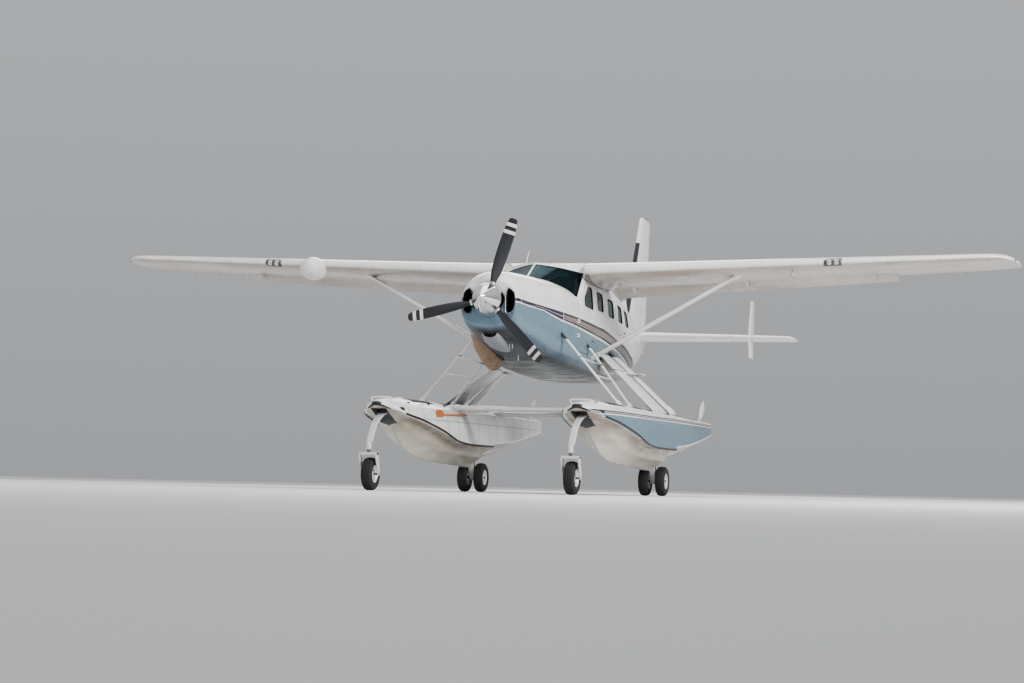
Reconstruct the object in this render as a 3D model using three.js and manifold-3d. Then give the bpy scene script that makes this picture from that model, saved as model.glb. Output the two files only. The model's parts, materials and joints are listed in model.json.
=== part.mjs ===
// Amphibious single-turboprop high-wing floatplane, parked on its wheels with the float decks level.
// Millimetres, +Z up, nose towards -Y, port side +X. The origin is on the ground under the middle of the
// aircraft.
import * as THREE from "three";
import { mergeVertices } from "three/addons/utils/BufferGeometryUtils.js";
import Module from "manifold-3d";

const wasm = await Module();
wasm.setup();

// Driving dimensions. The spinner tip is the zero of all stations below: y runs aft from it, z up from the
// thrust line.
const NOSE_UP = 3 * (Math.PI / 180); // airframe against the float decks
const GROUND = -3100; // floor below the spinner tip
const GAP = 0.3; // between fixed pieces that touch
const CLEAR = 7; // between pieces that move past each other
const WALL = 45; // cabin wall and doors
const COWL_SKIN = 22;
const FIREWALL_Y = 2200;
const CABIN_END_Y = 7300;
const FLOOR_Z = -600;
const WING_ROOT_X = 812;
const FLOAT_X = 1640; // float centre line
const DECK_Z = -1757;
const FLAP_DOWN = 20 * (Math.PI / 180);

const SIDES = [
  { side: "left", sign: 1 },
  { side: "right", sign: -1 },
];

// Solids from three.js geometry

function solidOf(geometry) {
  geometry.deleteAttribute("normal");
  geometry.deleteAttribute("uv");
  const merged = mergeVertices(geometry, 1e-3);
  const vertProperties = merged.attributes.position.array;
  const triVerts = new Uint32Array(merged.index.array);
  const made = new wasm.Manifold(new wasm.Mesh({ numProp: 3, vertProperties, triVerts }));
  if (made.volume() > 0) return made;
  return new wasm.Manifold(new wasm.Mesh({ numProp: 3, vertProperties, triVerts: triVerts.reverse() }));
}

function moved(solid, x, y, z) {
  return solid.translate([x, y, z]);
}

function transformed(solid, matrix) {
  return solid.transform(matrix.elements);
}

function mirrored(solid) {
  return transformed(solid, new THREE.Matrix4().makeScale(-1, 1, 1));
}

function onSide(solid, sign) {
  return sign > 0 ? solid : mirrored(solid);
}

function joined(solids) {
  return solids.reduce((all, one) => all.add(one));
}

// The main body of a solid, without slivers left by a cut.
function largest(solid) {
  return solid.decompose().reduce((a, b) => (a.volume() > b.volume() ? a : b));
}

// A closed skin over rings of equal count, with a fan over each end.
function loft(rings) {
  const count = rings[0].length;
  const points = rings.flat();
  const index = [];
  for (let i = 0; i + 1 < rings.length; i++) {
    for (let j = 0; j < count; j++) {
      const a = i * count + j;
      const b = i * count + ((j + 1) % count);
      index.push(a, b, b + count, a, b + count, a + count);
    }
  }
  const caps = [
    { ring: rings[0], start: 0, turned: true },
    { ring: rings.at(-1), start: (rings.length - 1) * count, turned: false },
  ];
  for (const { ring, start, turned } of caps) {
    const middle = [0, 1, 2].map((k) => ring.reduce((sum, p) => sum + p[k], 0) / count);
    const hub = points.push(middle) - 1;
    for (let j = 0; j < count; j++) {
      const edge = [start + j, start + ((j + 1) % count)];
      index.push(hub, ...(turned ? edge.reverse() : edge));
    }
  }
  const geometry = new THREE.BufferGeometry();
  geometry.setAttribute("position", new THREE.Float32BufferAttribute(points.flat(), 3));
  geometry.setIndex(index);
  return solidOf(geometry);
}

function block(x0, x1, y0, y1, z0, z1) {
  const box = new THREE.BoxGeometry(x1 - x0, y1 - y0, z1 - z0);
  return moved(solidOf(box), (x0 + x1) / 2, (y0 + y1) / 2, (z0 + z1) / 2);
}

// A polygon with its corners rounded.
function roundedShape(points, radius) {
  const shape = new THREE.Shape();
  const corners = points.map((p) => new THREE.Vector2(...p));
  corners.forEach((corner, i) => {
    const before = corners.at(i - 1);
    const after = corners[(i + 1) % corners.length];
    const cut = (other) => {
      const length = Math.min(radius, corner.distanceTo(other) / 2.2);
      return other.clone().sub(corner).setLength(length).add(corner);
    };
    const [from, to] = [cut(before), cut(after)];
    if (i === 0) shape.moveTo(from.x, from.y);
    else shape.lineTo(from.x, from.y);
    shape.quadraticCurveTo(corner.x, corner.y, to.x, to.y);
  });
  shape.closePath();
  return shape;
}

const AXES = {
  x: [new THREE.Vector3(0, 1, 0), new THREE.Vector3(0, 0, 1), new THREE.Vector3(1, 0, 0)],
  y: [new THREE.Vector3(0, 0, 1), new THREE.Vector3(1, 0, 0), new THREE.Vector3(0, 1, 0)],
  z: [new THREE.Vector3(1, 0, 0), new THREE.Vector3(0, 1, 0), new THREE.Vector3(0, 0, 1)],
};

// A prism along x over (y, z) points, along y over (z, x) points, or along z over (x, y) points.
function prism(axis, points, from, to, radius = 0) {
  const sharp = () => new THREE.Shape(points.map((p) => new THREE.Vector2(...p)));
  const shape = radius ? roundedShape(points, radius) : sharp();
  const options = { depth: to - from, bevelEnabled: false, curveSegments: 2 };
  const geometry = new THREE.ExtrudeGeometry(shape, options);
  geometry.translate(0, 0, from);
  geometry.applyMatrix4(new THREE.Matrix4().makeBasis(...AXES[axis]));
  return solidOf(geometry);
}

function rectangle(u0, u1, v0, v1) {
  return [[u0, v0], [u1, v0], [u1, v1], [u0, v1]];
}

function rod(from, to, radius, sides = 12) {
  const a = new THREE.Vector3(...from);
  const b = new THREE.Vector3(...to);
  const geometry = new THREE.CylinderGeometry(radius, radius, a.distanceTo(b), sides);
  const along = b.clone().sub(a).normalize();
  const turn = new THREE.Quaternion().setFromUnitVectors(new THREE.Vector3(0, 1, 0), along);
  geometry.applyQuaternion(turn);
  geometry.translate(...a.add(b).multiplyScalar(0.5).toArray());
  return solidOf(geometry);
}

// A streamlined strut: an ellipse with its chord along y, carried straight from one point to the other. The chord
// may be a number or one for each end.
function fairedStrut(from, to, chord, thickness, sides = 12) {
  const a = new THREE.Vector3(...from);
  const b = new THREE.Vector3(...to);
  const along = new THREE.Vector3(0, 1, 0);
  const across = b.clone().sub(a).normalize().cross(along).normalize();
  const [fromChord, toChord] = [chord].flat().length > 1 ? chord : [chord, chord];
  const ring = (centre, width) =>
    Array.from({ length: sides }, (_, j) => {
      const t = (2 * Math.PI * j) / sides;
      return centre
        .clone()
        .addScaledVector(along, (width / 2) * Math.cos(t))
        .addScaledVector(across, (thickness / 2) * Math.sin(t))
        .toArray();
    });
  return loft([ring(a, fromChord), ring(b, toChord)]);
}

function turned(profile, axisPoint, axis, sides) {
  // The profile is (radius, distance along the axis).
  const lathe = new THREE.LatheGeometry(profile.map((p) => new THREE.Vector2(...p)), sides);
  const along = new THREE.Vector3(...axis);
  const turn = new THREE.Quaternion().setFromUnitVectors(new THREE.Vector3(0, 1, 0), along);
  lathe.applyQuaternion(turn);
  lathe.translate(...axisPoint);
  return solidOf(lathe);
}

// Airframe stations to the level frame of the floats and the ground.
const pitch = new THREE.Matrix4().makeRotationX(-NOSE_UP);

function level(point) {
  return new THREE.Vector3(...point).applyMatrix4(pitch).toArray();
}

// Fuselage

// Body sections: y, half width, top z, bottom z, z of the widest place, fullness of the upper and lower half,
// and how much the upper side leans in.
const COWL_SECTIONS = [
  [500, 452, 300, -430, -60, 2.6, 2.6, 0],
  [560, 476, 350, -490, -60, 2.7, 2.7, 0],
  [900, 500, 500, -590, -60, 2.8, 3, 0],
  [1500, 590, 548, -690, -50, 2.9, 3.2, 0],
  [FIREWALL_Y - GAP, 688, 585, -808, -20, 2.9, 3.8, 0],
];
const HOOD_SECTIONS = [
  [FIREWALL_Y, 688, 585, -808, -20, 2.9, 3.8, 0],
  [2570, 735, 602, -818, 0, 2.9, 4.2, 0],
  [3100, 778, 600, -830, 0, 2.9, 5, 0],
  [3800, 800, 560, -840, 0, 2.9, 5, 0],
];
const CABIN_SECTIONS = [
  [FIREWALL_Y, 688, 900, -808, -20, 5, 3.8, 0.1],
  [2570, 735, 925, -818, 0, 5, 4.2, 0.1],
  [3130, 779, 955, -830, 0, 5, 5, 0.1],
  [3800, 800, 1010, -842, 0, 5, 5, 0.1],
  [4300, 804, 1066, -842, 0, 5, 5, 0.1],
  [5000, 806, 1045, -836, 0, 5, 5, 0.1],
  [5700, 804, 985, -816, 0, 5, 5, 0.1],
  [6500, 790, 905, -770, 0, 4.4, 4.6, 0.1],
  [CABIN_END_Y, 730, 850, -680, 20, 3.8, 4, 0.1],
];
const TAIL_SECTIONS = [
  [CABIN_END_Y + GAP, 730, 850, -680, 20, 3.8, 4, 0.1],
  [8100, 610, 790, -520, 60, 3, 3, 0],
  [8900, 455, 740, -355, 120, 2.6, 2.6, 0],
  [9700, 300, 700, -190, 200, 2.4, 2.4, 0],
  [10300, 178, 665, -62, 270, 2.3, 2.3, 0],
  [10835, 75, 630, 130, 360, 2.2, 2.2, 0],
];
const RING_SIDES = 28;

function bodyRing(section, inset) {
  const [y, halfWidth, top, bottom, middle, upperFullness, lowerFullness, lean] = section;
  return Array.from({ length: RING_SIDES }, (_, j) => {
    const t = (2 * Math.PI * j) / RING_SIDES;
    const [c, s] = [Math.cos(t), Math.sin(t)];
    const power = 2 / (s >= 0 ? upperFullness : lowerFullness);
    const rise = Math.abs(s) ** power;
    const height = s >= 0 ? top - inset - middle : bottom + inset - middle;
    const narrow = s >= 0 ? 1 - lean * rise : 1;
    const x = Math.sign(c) * (halfWidth - inset) * Math.abs(c) ** power * narrow;
    return [x, y, middle + height * rise];
  });
}

function body(sections, inset = 0) {
  return loft(sections.map((section) => bodyRing(section, inset)));
}

// A body with the gap of touching pieces round it.
function bodyRoom(sections) {
  const grown = body(sections, -GAP);
  return joined([-GAP, 0, GAP].map((y) => moved(grown, 0, y, 0)));
}

// The windshield surface, by its corners on the centre line and at the outer edge. u runs outwards and
// v upwards.
const GLASS_CORNERS = {
  innerLow: [0, 2570, 600],
  innerHigh: [0, 3130, 940],
  outerLow: [720, 3410, 370],
  outerHigh: [720, 3810, 860],
};

function glassPoint(u, v, back) {
  const { innerLow, innerHigh, outerLow, outerHigh } = GLASS_CORNERS;
  return [0, 1, 2].map(
    (k) =>
      (1 - u) * (1 - v) * innerLow[k] +
      (1 - u) * v * innerHigh[k] +
      u * (1 - v) * outerLow[k] +
      u * v * outerHigh[k] +
      (k === 1 ? back : 0),
  );
}

// A slab of the port half of the windshield surface between two setbacks, over a range of u and v.
function glassSlab(u0, u1, v0, v1, front, back) {
  const steps = 4;
  const row = (v) => {
    const at = (i) => u0 + ((u1 - u0) * i) / steps;
    const outer = Array.from({ length: steps + 1 }, (_, i) => glassPoint(at(i), v, front));
    const inner = Array.from({ length: steps + 1 }, (_, i) => glassPoint(at(steps - i), v, back));
    return [...outer, ...inner];
  };
  return loft(Array.from({ length: steps + 1 }, (_, i) => row(v0 + ((v1 - v0) * i) / steps)));
}

const POST_HALF = 0.045; // centre post, as a share of the pane's width
const PANE = { u0: POST_HALF, u1: 0.915, v0: 0.06, v1: 0.93 };
const FRAME_DEPTH = 70; // windshield frame, along y
const GLASS_SEAT = 30; // depth of the frame's outer flange

function bothSides(solid) {
  return solid.add(mirrored(solid));
}

// Everything ahead of the windshield surface, moved back by a setback.
function aheadOfWindshield(setback) {
  return bothSides(glassSlab(-0.01, 1.4, -0.6, 1.6, setback - 3000, setback));
}

const hull = body(HOOD_SECTIONS);
const cabinOuter = hull.add(body(CABIN_SECTIONS).subtract(aheadOfWindshield(0)));

const CEILING_Z = 790;
const BULKHEAD = 50;
const insideLimits = block(-900, 900, FIREWALL_Y + BULKHEAD, CABIN_END_Y - BULKHEAD, -900, CEILING_Z);

// The space inside a wall of the given thickness.
function cabinInside(wall, ceiling = insideLimits) {
  const low = body(HOOD_SECTIONS, wall);
  const high = body(CABIN_SECTIONS, wall).subtract(aheadOfWindshield((wall / WALL) * FRAME_DEPTH));
  return low.add(high).intersect(ceiling);
}

const cabinSpace = cabinInside(WALL);

// Doors and windows, by their outlines in (y, z).
const CREW_DOOR = [[3190, -520], [3900, -520], [4225, -200], [4235, 700], [3850, 700], [3190, 230]];
const CREW_WINDOW = [[3600, 275], [4175, 265], [4175, 655], [3915, 655], [3600, 420]];
const SPLIT_Z = 60; // where the upper and lower doors meet
const CARGO_UPPER = rectangle(5830, 7080, SPLIT_Z, 650);
const CARGO_LOWER = rectangle(5830, 7080, -590, SPLIT_Z - CLEAR);
const AIRSTAIR_UPPER = rectangle(6440, 7080, SPLIT_Z, 650);
const AIRSTAIR_LOWER = rectangle(6440, 7080, -590, SPLIT_Z - CLEAR);
// The pin line of this door is askew, so it has more room at both ends.
const AIRSTAIR_LOWER_DOOR = rectangle(6446, 7074, -590, SPLIT_Z - CLEAR);
const CORNER = 70;
const WINDOWS = {
  first: [[4470, 312], [4900, 308], [4900, 635], [4470, 635]],
  second: [[5245, 290], [5675, 286], [5675, 612], [5245, 614]],
  third: [[6010, 280], [6370, 278], [6370, 590], [6010, 596]],
  fourth: [[6590, 268], [6960, 266], [6960, 560], [6590, 572]],
};
const STRIPS = {
  cabinLeft: rectangle(4400, 5745, 235, 690),
  cabinRight: rectangle(4400, 6415, 225, 690),
  cargo: rectangle(5940, 7020, 215, 620),
  airstair: rectangle(6530, 7015, 215, 610),
  crew: [[3530, 225], [4205, 215], [4205, 690], [3880, 690], [3530, 440]],
};
const REACH = 1000; // past the side wall
const INNER_FROM = 300; // a side cut starts this far from the centre line

function sideCut(points, sign, radius) {
  return onSide(prism("x", points, INNER_FROM, REACH, radius), sign);
}

// An outline with every side moved inwards; the corners run anticlockwise.
function shrunk(points, by) {
  const corners = points.map((p) => new THREE.Vector2(...p));
  return corners.map((corner, i) => {
    const into = corner.clone().sub(corners.at(i - 1)).normalize();
    const out = corners[(i + 1) % corners.length].clone().sub(corner).normalize();
    const normals = [into, out].map((way) => new THREE.Vector2(-way.y, way.x));
    const scale = by / (1 + normals[0].dot(normals[1]));
    return corner.addScaledVector(normals[0].add(normals[1]), scale).toArray();
  });
}

const GLASS_FRONT = 20; // depth of the pane behind the skin
const GLASS_BACK = 30;

// A recess for a glass strip, open to the cabin, and the strip itself.
function glassRecess(points, sign) {
  return cabinInside(GLASS_FRONT).intersect(sideCut(points, sign, CORNER));
}

function glassStrip(points, sign) {
  const layer = cabinInside(GLASS_FRONT + GAP).subtract(cabinInside(GLASS_BACK));
  return layer.intersect(sideCut(shrunk(points, GAP), sign, CORNER));
}

function door(points, sign) {
  return cabinOuter.subtract(cabinSpace).intersect(sideCut(points, sign, CORNER));
}

function doorway(points, sign) {
  return sideCut(shrunk(points, -CLEAR), sign, CORNER + CLEAR);
}

// Hinges outside the skin. Each has a fixed and a moving knuckle, end to end on the pin line, with a strap
// to its side.
const KNUCKLE = 16;
const KNUCKLE_LENGTH = 60;
const STRAP = { out: 12, in: -54, start: 5 }; // from the pin line, outwards, inwards and away from the gap

// Half width of the cabin skin at a station and height.
function skinX(y, z) {
  const next = Math.max(1, CABIN_SECTIONS.findIndex((section) => section[0] >= y));
  const [a, b] = [CABIN_SECTIONS[next - 1], CABIN_SECTIONS[next]];
  const share = (y - a[0]) / (b[0] - a[0]);
  const [, halfWidth, top, bottom, middle, upper, lower, lean] = a.map((v, k) => v + share * (b[k] - v));
  const rise = (z - middle) / ((z > middle ? top : bottom) - middle);
  const fullness = z > middle ? upper : lower;
  const across = (1 - rise ** fullness) ** (1 / fullness);
  return halfWidth * across * (z > middle ? 1 - lean * rise : 1);
}

function knuckle(at, axis, from, to, radius = KNUCKLE) {
  const point = new THREE.Vector3(...at);
  const line = new THREE.Vector3(...axis).normalize();
  const ends = [from, to].map((s) => point.clone().addScaledVector(line, s).toArray());
  return rod(...ends, radius, 8);
}

// Door hinges by the pin line's ends in (y, z), its distance outside the skin, its knuckles along it, the way to the
// door's side of the gap, and the length of the straps.
const DOOR_HINGES = {
  crew: {
    from: [3186.5, -380], to: [3186.5, 60], out: 24,
    places: [110, 350], doorSide: [0, 1, 0], strap: 62,
  },
  cargoUpper: {
    from: [5900, 653.5], to: [7010, 653.5], out: 30,
    places: [150, 960], doorSide: [0, 0, -1], strap: 25,
  },
  cargoLower: {
    from: [5826.5, -470], to: [5826.5, 10], out: 24,
    places: [90, 390], doorSide: [0, 1, 0], strap: 62,
  },
  airstairUpper: {
    from: [6500, 653.5], to: [7020, 653.5], out: 30,
    places: [110, 410], doorSide: [0, 0, -1], strap: 25,
  },
  airstairLower: {
    from: [6500, -593.5], to: [7020, -593.5], out: 32,
    places: [110, 410], doorSide: [0, 0, 1], strap: 62,
  },
};

function pinLine({ from, to, out }) {
  const [start, end] = [from, to].map(([y, z]) => new THREE.Vector3(skinX(y, z) + out, y, z));
  return { at: start, axis: end.clone().sub(start).normalize() };
}

function hingeHalf(hinge, moving) {
  const { at, axis } = pinLine(hinge);
  const away = new THREE.Vector3(...hinge.doorSide).multiplyScalar(moving ? 1 : -1);
  const square = away.clone().cross(axis);
  const outwards = square.multiplyScalar(Math.sign(square.x)).normalize();
  const outline = [
    [STRAP.out, STRAP.start],
    [STRAP.in, STRAP.start],
    [STRAP.in, hinge.strap],
    [-hinge.out + 4, hinge.strap],
  ];
  const parts = hinge.places.map((place) => {
    const from = moving ? place + GAP / 2 : place - KNUCKLE_LENGTH;
    const to = moving ? place + KNUCKLE_LENGTH : place - GAP / 2;
    const ring = (s) =>
      outline.map(([out, side]) =>
        at.clone().addScaledVector(axis, s)
          .addScaledVector(outwards, out)
          .addScaledVector(away, side)
          .toArray(),
      );
    return knuckle(at.toArray(), axis.toArray(), from, to).add(loft([ring(from), ring(to)]));
  });
  return joined(parts);
}

// Airfoils: x (or z for an upright one), leading edge y, chord, height of the chord line, thickness ratio
const WING = {
  sections: [
    [WING_ROOT_X, 3620, 1980, 880, 0.174],
    [3100, 3702, 1722, 972, 0.158],
    [5865, 3800, 1422, 1080, 0.14],
    [7480, 3862, 1240, 1143, 0.125],
    [7700, 3960, 1095, 1152, 0.118],
    [7860, 4230, 800, 1150, 0.105],
    [7935, 4600, 400, 1138, 0.08],
  ],
  camber: 0.018,
  incidence: 0.045, // fall of the trailing edge, per chord
};
const STABILIZER = {
  sections: [
    [0, 9960, 1280, 500, 0.12],
    [3060, 10330, 830, 500, 0.1],
    [3125, 10470, 580, 500, 0.06],
  ],
  camber: 0,
  incidence: 0,
};
const FIN = {
  sections: [
    [250, 9290, 2020, 0, 0.085],
    [900, 9720, 1640, 0, 0.095],
    [2850, 10680, 840, 0, 0.11],
    [2895, 10800, 640, 0, 0.06],
  ],
  camber: 0,
  incidence: 0,
  upright: true,
};
const CHORD_STATIONS = [0, 0.015, 0.06, 0.15, 0.3, 0.48, 0.66, 0.83, 1];
const CAMBER_AT = 0.3;
const TRAILING_EDGE = 0.004;
const BEHIND_NOSE = [0.35, 0.7, 1]; // stations on a hinged surface's own chord

// Height above the chord line, per chord, on the upper (1) or lower (-1) skin.
function airfoilHeight(foil, share, thickness, skin) {
  const s = share;
  const half =
    5 * thickness * (0.2969 * Math.sqrt(s) - 0.126 * s - 0.3516 * s ** 2 + 0.2843 * s ** 3 - 0.1036 * s ** 4);
  const p = CAMBER_AT;
  const arch = s < p ? (2 * p * s - s * s) / p ** 2 : (1 - 2 * p + 2 * p * s - s * s) / (1 - p) ** 2;
  return foil.camber * arch + skin * (half + (s * TRAILING_EDGE) / 2) - foil.incidence * s;
}

function sectionAt({ sections }, span) {
  const found = sections.findIndex((section) => section[0] >= span);
  const next = Math.max(1, found < 0 ? sections.length - 1 : found);
  const [a, b] = [sections[next - 1], sections[next]];
  const share = (span - a[0]) / (b[0] - a[0]);
  return a.map((value, k) => value + share * (b[k] - value));
}

function foilPoint(foil, [span, y, chord, height, thickness], s, skin) {
  const rise = height + chord * airfoilHeight(foil, s, thickness, skin);
  return foil.upright ? [rise, y + s * chord, span] : [span, y + s * chord, rise];
}

function foilRing(foil, section) {
  const upper = CHORD_STATIONS.map((s) => foilPoint(foil, section, s, 1));
  const lower = CHORD_STATIONS.slice(1).map((s) => foilPoint(foil, section, s, -1));
  return [...upper, ...lower.reverse()];
}

function foilBody(foil, sections = foil.sections) {
  return loft(sections.map((section) => foilRing(foil, section)));
}

// An airfoil with the gap of touching pieces round it.
function foilRoom(foil) {
  const grown = foil.sections.map(([span, y, chord, height, thickness]) => {
    return [span, y - GAP, chord + 2 * GAP, height, thickness + (2.5 * GAP) / chord];
  });
  return foilBody(foil, grown);
}

// Hinged surfaces, by their ends along the span and the pin line's station at both ends. The nose is round about
// the pin line.
const FLAP = { foil: WING, ends: [880, 5850], pinY: [5158, 4905] };
const AILERON = { foil: WING, ends: [5875, 7470], pinY: [4911, 4830] };
const ELEVATOR = { foil: STABILIZER, ends: [95, 3040], pinY: [10790, 10790] };
const RUDDER = { foil: FIN, ends: [262, 2835], pinY: [10907, 11188] };
const COVE = 9; // room ahead of a nose

function pinYAt({ ends, pinY }, span) {
  return pinY[0] + ((span - ends[0]) / (ends[1] - ends[0])) * (pinY[1] - pinY[0]);
}

// Centre and radius of the nose at a place along the span.
function noseAt(surface, span) {
  const section = sectionAt(surface.foil, span);
  const s = (pinYAt(surface, span) - section[1]) / section[2];
  const [over, under] = [1, -1].map((skin) => foilPoint(surface.foil, section, s, skin));
  const centre = over.map((value, k) => (value + under[k]) / 2);
  const thickness = new THREE.Vector3(...over).distanceTo(new THREE.Vector3(...under));
  return { section, s, centre, radius: thickness / 2 };
}

function hingedRing(surface, span) {
  const { foil } = surface;
  const { section, s, centre, radius } = noseAt(surface, span);
  const nose = [90, 130, 180, 230, 270].map((degrees) => {
    const t = (degrees * Math.PI) / 180;
    const [back, rise] = [radius * Math.cos(t), radius * Math.sin(t)];
    return foil.upright
      ? [centre[0] + rise, centre[1] + back, centre[2]]
      : [centre[0], centre[1] + back, centre[2] + rise];
  });
  const behind = (skin) => BEHIND_NOSE.map((share) => foilPoint(foil, section, s + share * (1 - s), skin));
  return [...nose, ...behind(-1), ...behind(1).reverse()];
}

function hingedSurface(surface) {
  const [from, to] = surface.ends;
  const spans = surface.foil.sections.map((section) => section[0]);
  const inside = spans.filter((span) => span > from && span < to);
  return loft([from, ...inside, to].map((span) => hingedRing(surface, span)));
}

// What the fixed surface leaves free for a hinged one.
function coveCut(surface) {
  const margin = surface.foil.upright ? [-900, CLEAR] : [-CLEAR, CLEAR];
  const corners = surface.ends.map((end, k) => {
    const span = end + margin[k];
    const { centre, radius } = noseAt(surface, span);
    return [centre[1] - radius - COVE, span];
  });
  const [[y0, s0], [y1, s1]] = corners;
  if (surface.foil.upright) return prism("x", [[y0, s0], [y1, s1], [12500, s1], [12500, s0]], -400, 400);
  return prism("z", [[s0, y0], [s1, y1], [s1, 12500], [s0, 12500]], 200, 1600);
}

const STUB = 18;

// A stub on the pin line, from inside the surface to the fixed face beyond its outer end.
function pinStub(surface) {
  const end = surface.ends[1];
  const [from, to] = [end - 80, end].map((span) => new THREE.Vector3(...noseAt(surface, span).centre));
  const line = to.clone().sub(from).normalize();
  const along = surface.foil.upright ? line.z : line.x;
  const reach = (CLEAR - GAP - STUB * Math.sqrt(1 - along ** 2)) / along;
  return rod(from.toArray(), to.addScaledVector(line, reach).toArray(), STUB);
}

function pinOf(surface) {
  const [at, end] = surface.ends.map((span) => new THREE.Vector3(...noseAt(surface, span).centre));
  return { at, axis: end.sub(at).normalize() };
}

// Flap pivots hang below the wing on brackets, so the flap moves back as it goes down.
const FLAP_PIVOT_DROP = 130;
const FLAP_PIVOT_BACK = 30;
const FLAP_BRACKETS = [1300, 3300, 5500];
const BRACKET_HALF = 13;
const LUG_FROM = 22; // from the bracket's middle
const LUG_TO = 38;
const FLAP_OVERHANG = 10;

function flapPivot(x) {
  const { centre } = noseAt(FLAP, x);
  return [x, centre[1] + FLAP_PIVOT_BACK, centre[2] - FLAP_PIVOT_DROP];
}

function flapPin() {
  const [at, end] = FLAP.ends.map((x) => new THREE.Vector3(...flapPivot(x)));
  return { at, axis: end.sub(at).normalize() };
}

function flapBracket(x) {
  const [, y, z] = flapPivot(x);
  const { centre, radius } = noseAt(FLAP, x);
  const skin = foilPoint(WING, sectionAt(WING, x), 0.6, -1);
  const cove = centre[1] - radius - COVE - FLAP_OVERHANG;
  const outline = [
    [skin[1] - 90, skin[2] + 30],
    [skin[1] + 40, skin[2] - 55],
    [y - 40, z - 30],
    [y + 20, z - 20],
    [y + 20, z + 14],
    [y - 45, z + 32],
    [cove, centre[2] - radius],
    [cove, centre[2]],
  ];
  const pod = prism("x", outline, x - BRACKET_HALF, x + BRACKET_HALF);
  return pod.add(knuckle([x, y, z], flapPin().axis.toArray(), 0, LUG_FROM - GAP));
}

function flapLug(x) {
  const [, y, z] = flapPivot(x);
  const { centre, radius } = noseAt(FLAP, x);
  const outline = [
    [y - 17, z - 16],
    [y + 17, z - 16],
    [y + 95, centre[2] - radius * 0.2],
    [y - 15, centre[2] - radius * 0.2],
  ];
  const plate = prism("x", outline, x + LUG_FROM + 3, x + LUG_TO);
  return plate.add(knuckle([x, y, z], flapPin().axis.toArray(), LUG_FROM, LUG_TO));
}

const portWing = foilBody(WING)
  .subtract(coveCut(FLAP))
  .subtract(coveCut(AILERON))
  .add(joined(FLAP_BRACKETS.map(flapBracket)));
const portFlap = hingedSurface(FLAP).add(joined(FLAP_BRACKETS.map(flapLug)));
const portAileron = hingedSurface(AILERON).add(pinStub(AILERON));

// The wing carried across the cabin roof, clear of the windshield.
const [, ...rootSection] = WING.sections[0];
const roofFairing = foilBody(WING, [-1, 1].map((sign) => [sign * (WING_ROOT_X - GAP), ...rootSection])).subtract(
  aheadOfWindshield(0).intersect(block(-735, 735, 3000, 4200, 300, 1400)),
);

// Wing struts, from the low corner of the body to the wing's underside.
const STRUT = { low: [722, 4250, -575], high: [3390, 4160, 930], chord: 215, thickness: 62 };

function wingStrut(sign) {
  const strut = fairedStrut(STRUT.low, STRUT.high, STRUT.chord, STRUT.thickness).subtract(foilRoom(WING));
  return onSide(strut, sign).subtract(bodyRoom(CABIN_SECTIONS));
}

// Faired root of a wheel leg on each side of the belly.
const LEG_ROOT = { at: [800, 5180, -585], radii: [168, 400, 145] };

function ellipsoid(at, radii, wide = 12, high = 8) {
  const ball = new THREE.SphereGeometry(1, wide, high);
  ball.scale(...radii);
  ball.translate(...at);
  return solidOf(ball);
}

// Cabin shell, with its openings

function windshieldOpening() {
  const { u0, u1, v0, v1 } = PANE;
  const flange = bothSides(glassSlab(u0, u1, v0, v1, -150, GLASS_SEAT + 1));
  const rebate = bothSides(glassSlab(-0.01, u1 + 0.025, v0 - 0.03, v1 + 0.03, GLASS_SEAT, 2 * FRAME_DEPTH));
  return flange.add(rebate);
}

function windshield() {
  const { u1, v0, v1 } = PANE;
  const inset = 0.0008; // about the gap, as a share of the pane
  const [front, back] = [GLASS_SEAT + GAP, GLASS_SEAT + 14];
  return bothSides(glassSlab(-0.01, u1 + 0.025 - inset, v0 - 0.03 + inset, v1 + 0.03 - inset, front, back));
}

const FIXED_HALVES = {
  left: ["crew", "cargoUpper", "cargoLower"],
  right: ["crew", "airstairUpper", "airstairLower"],
};
const DOORWAYS = {
  left: [CREW_DOOR, CARGO_UPPER, CARGO_LOWER],
  right: [CREW_DOOR, AIRSTAIR_UPPER, AIRSTAIR_LOWER],
};
const FIXED_WINDOWS = { left: ["first", "second"], right: ["first", "second", "third"] };
const FIXED_STRIPS = { left: STRIPS.cabinLeft, right: STRIPS.cabinRight };

function cabinShell() {
  let shell = cabinOuter.add(roofFairing);
  for (const { sign } of SIDES) shell = shell.add(onSide(ellipsoid(LEG_ROOT.at, LEG_ROOT.radii), sign));
  shell = shell.subtract(cabinSpace).subtract(windshieldOpening());
  for (const { side, sign } of SIDES) {
    for (const outline of DOORWAYS[side]) shell = shell.subtract(doorway(outline, sign));
    for (const name of FIXED_WINDOWS[side]) shell = shell.subtract(sideCut(WINDOWS[name], sign, CORNER));
    shell = shell.subtract(glassRecess(FIXED_STRIPS[side], sign));
    for (const name of FIXED_HALVES[side]) {
      shell = shell.add(onSide(hingeHalf(DOOR_HINGES[name], false), sign));
    }
  }
  return shell;
}

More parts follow.
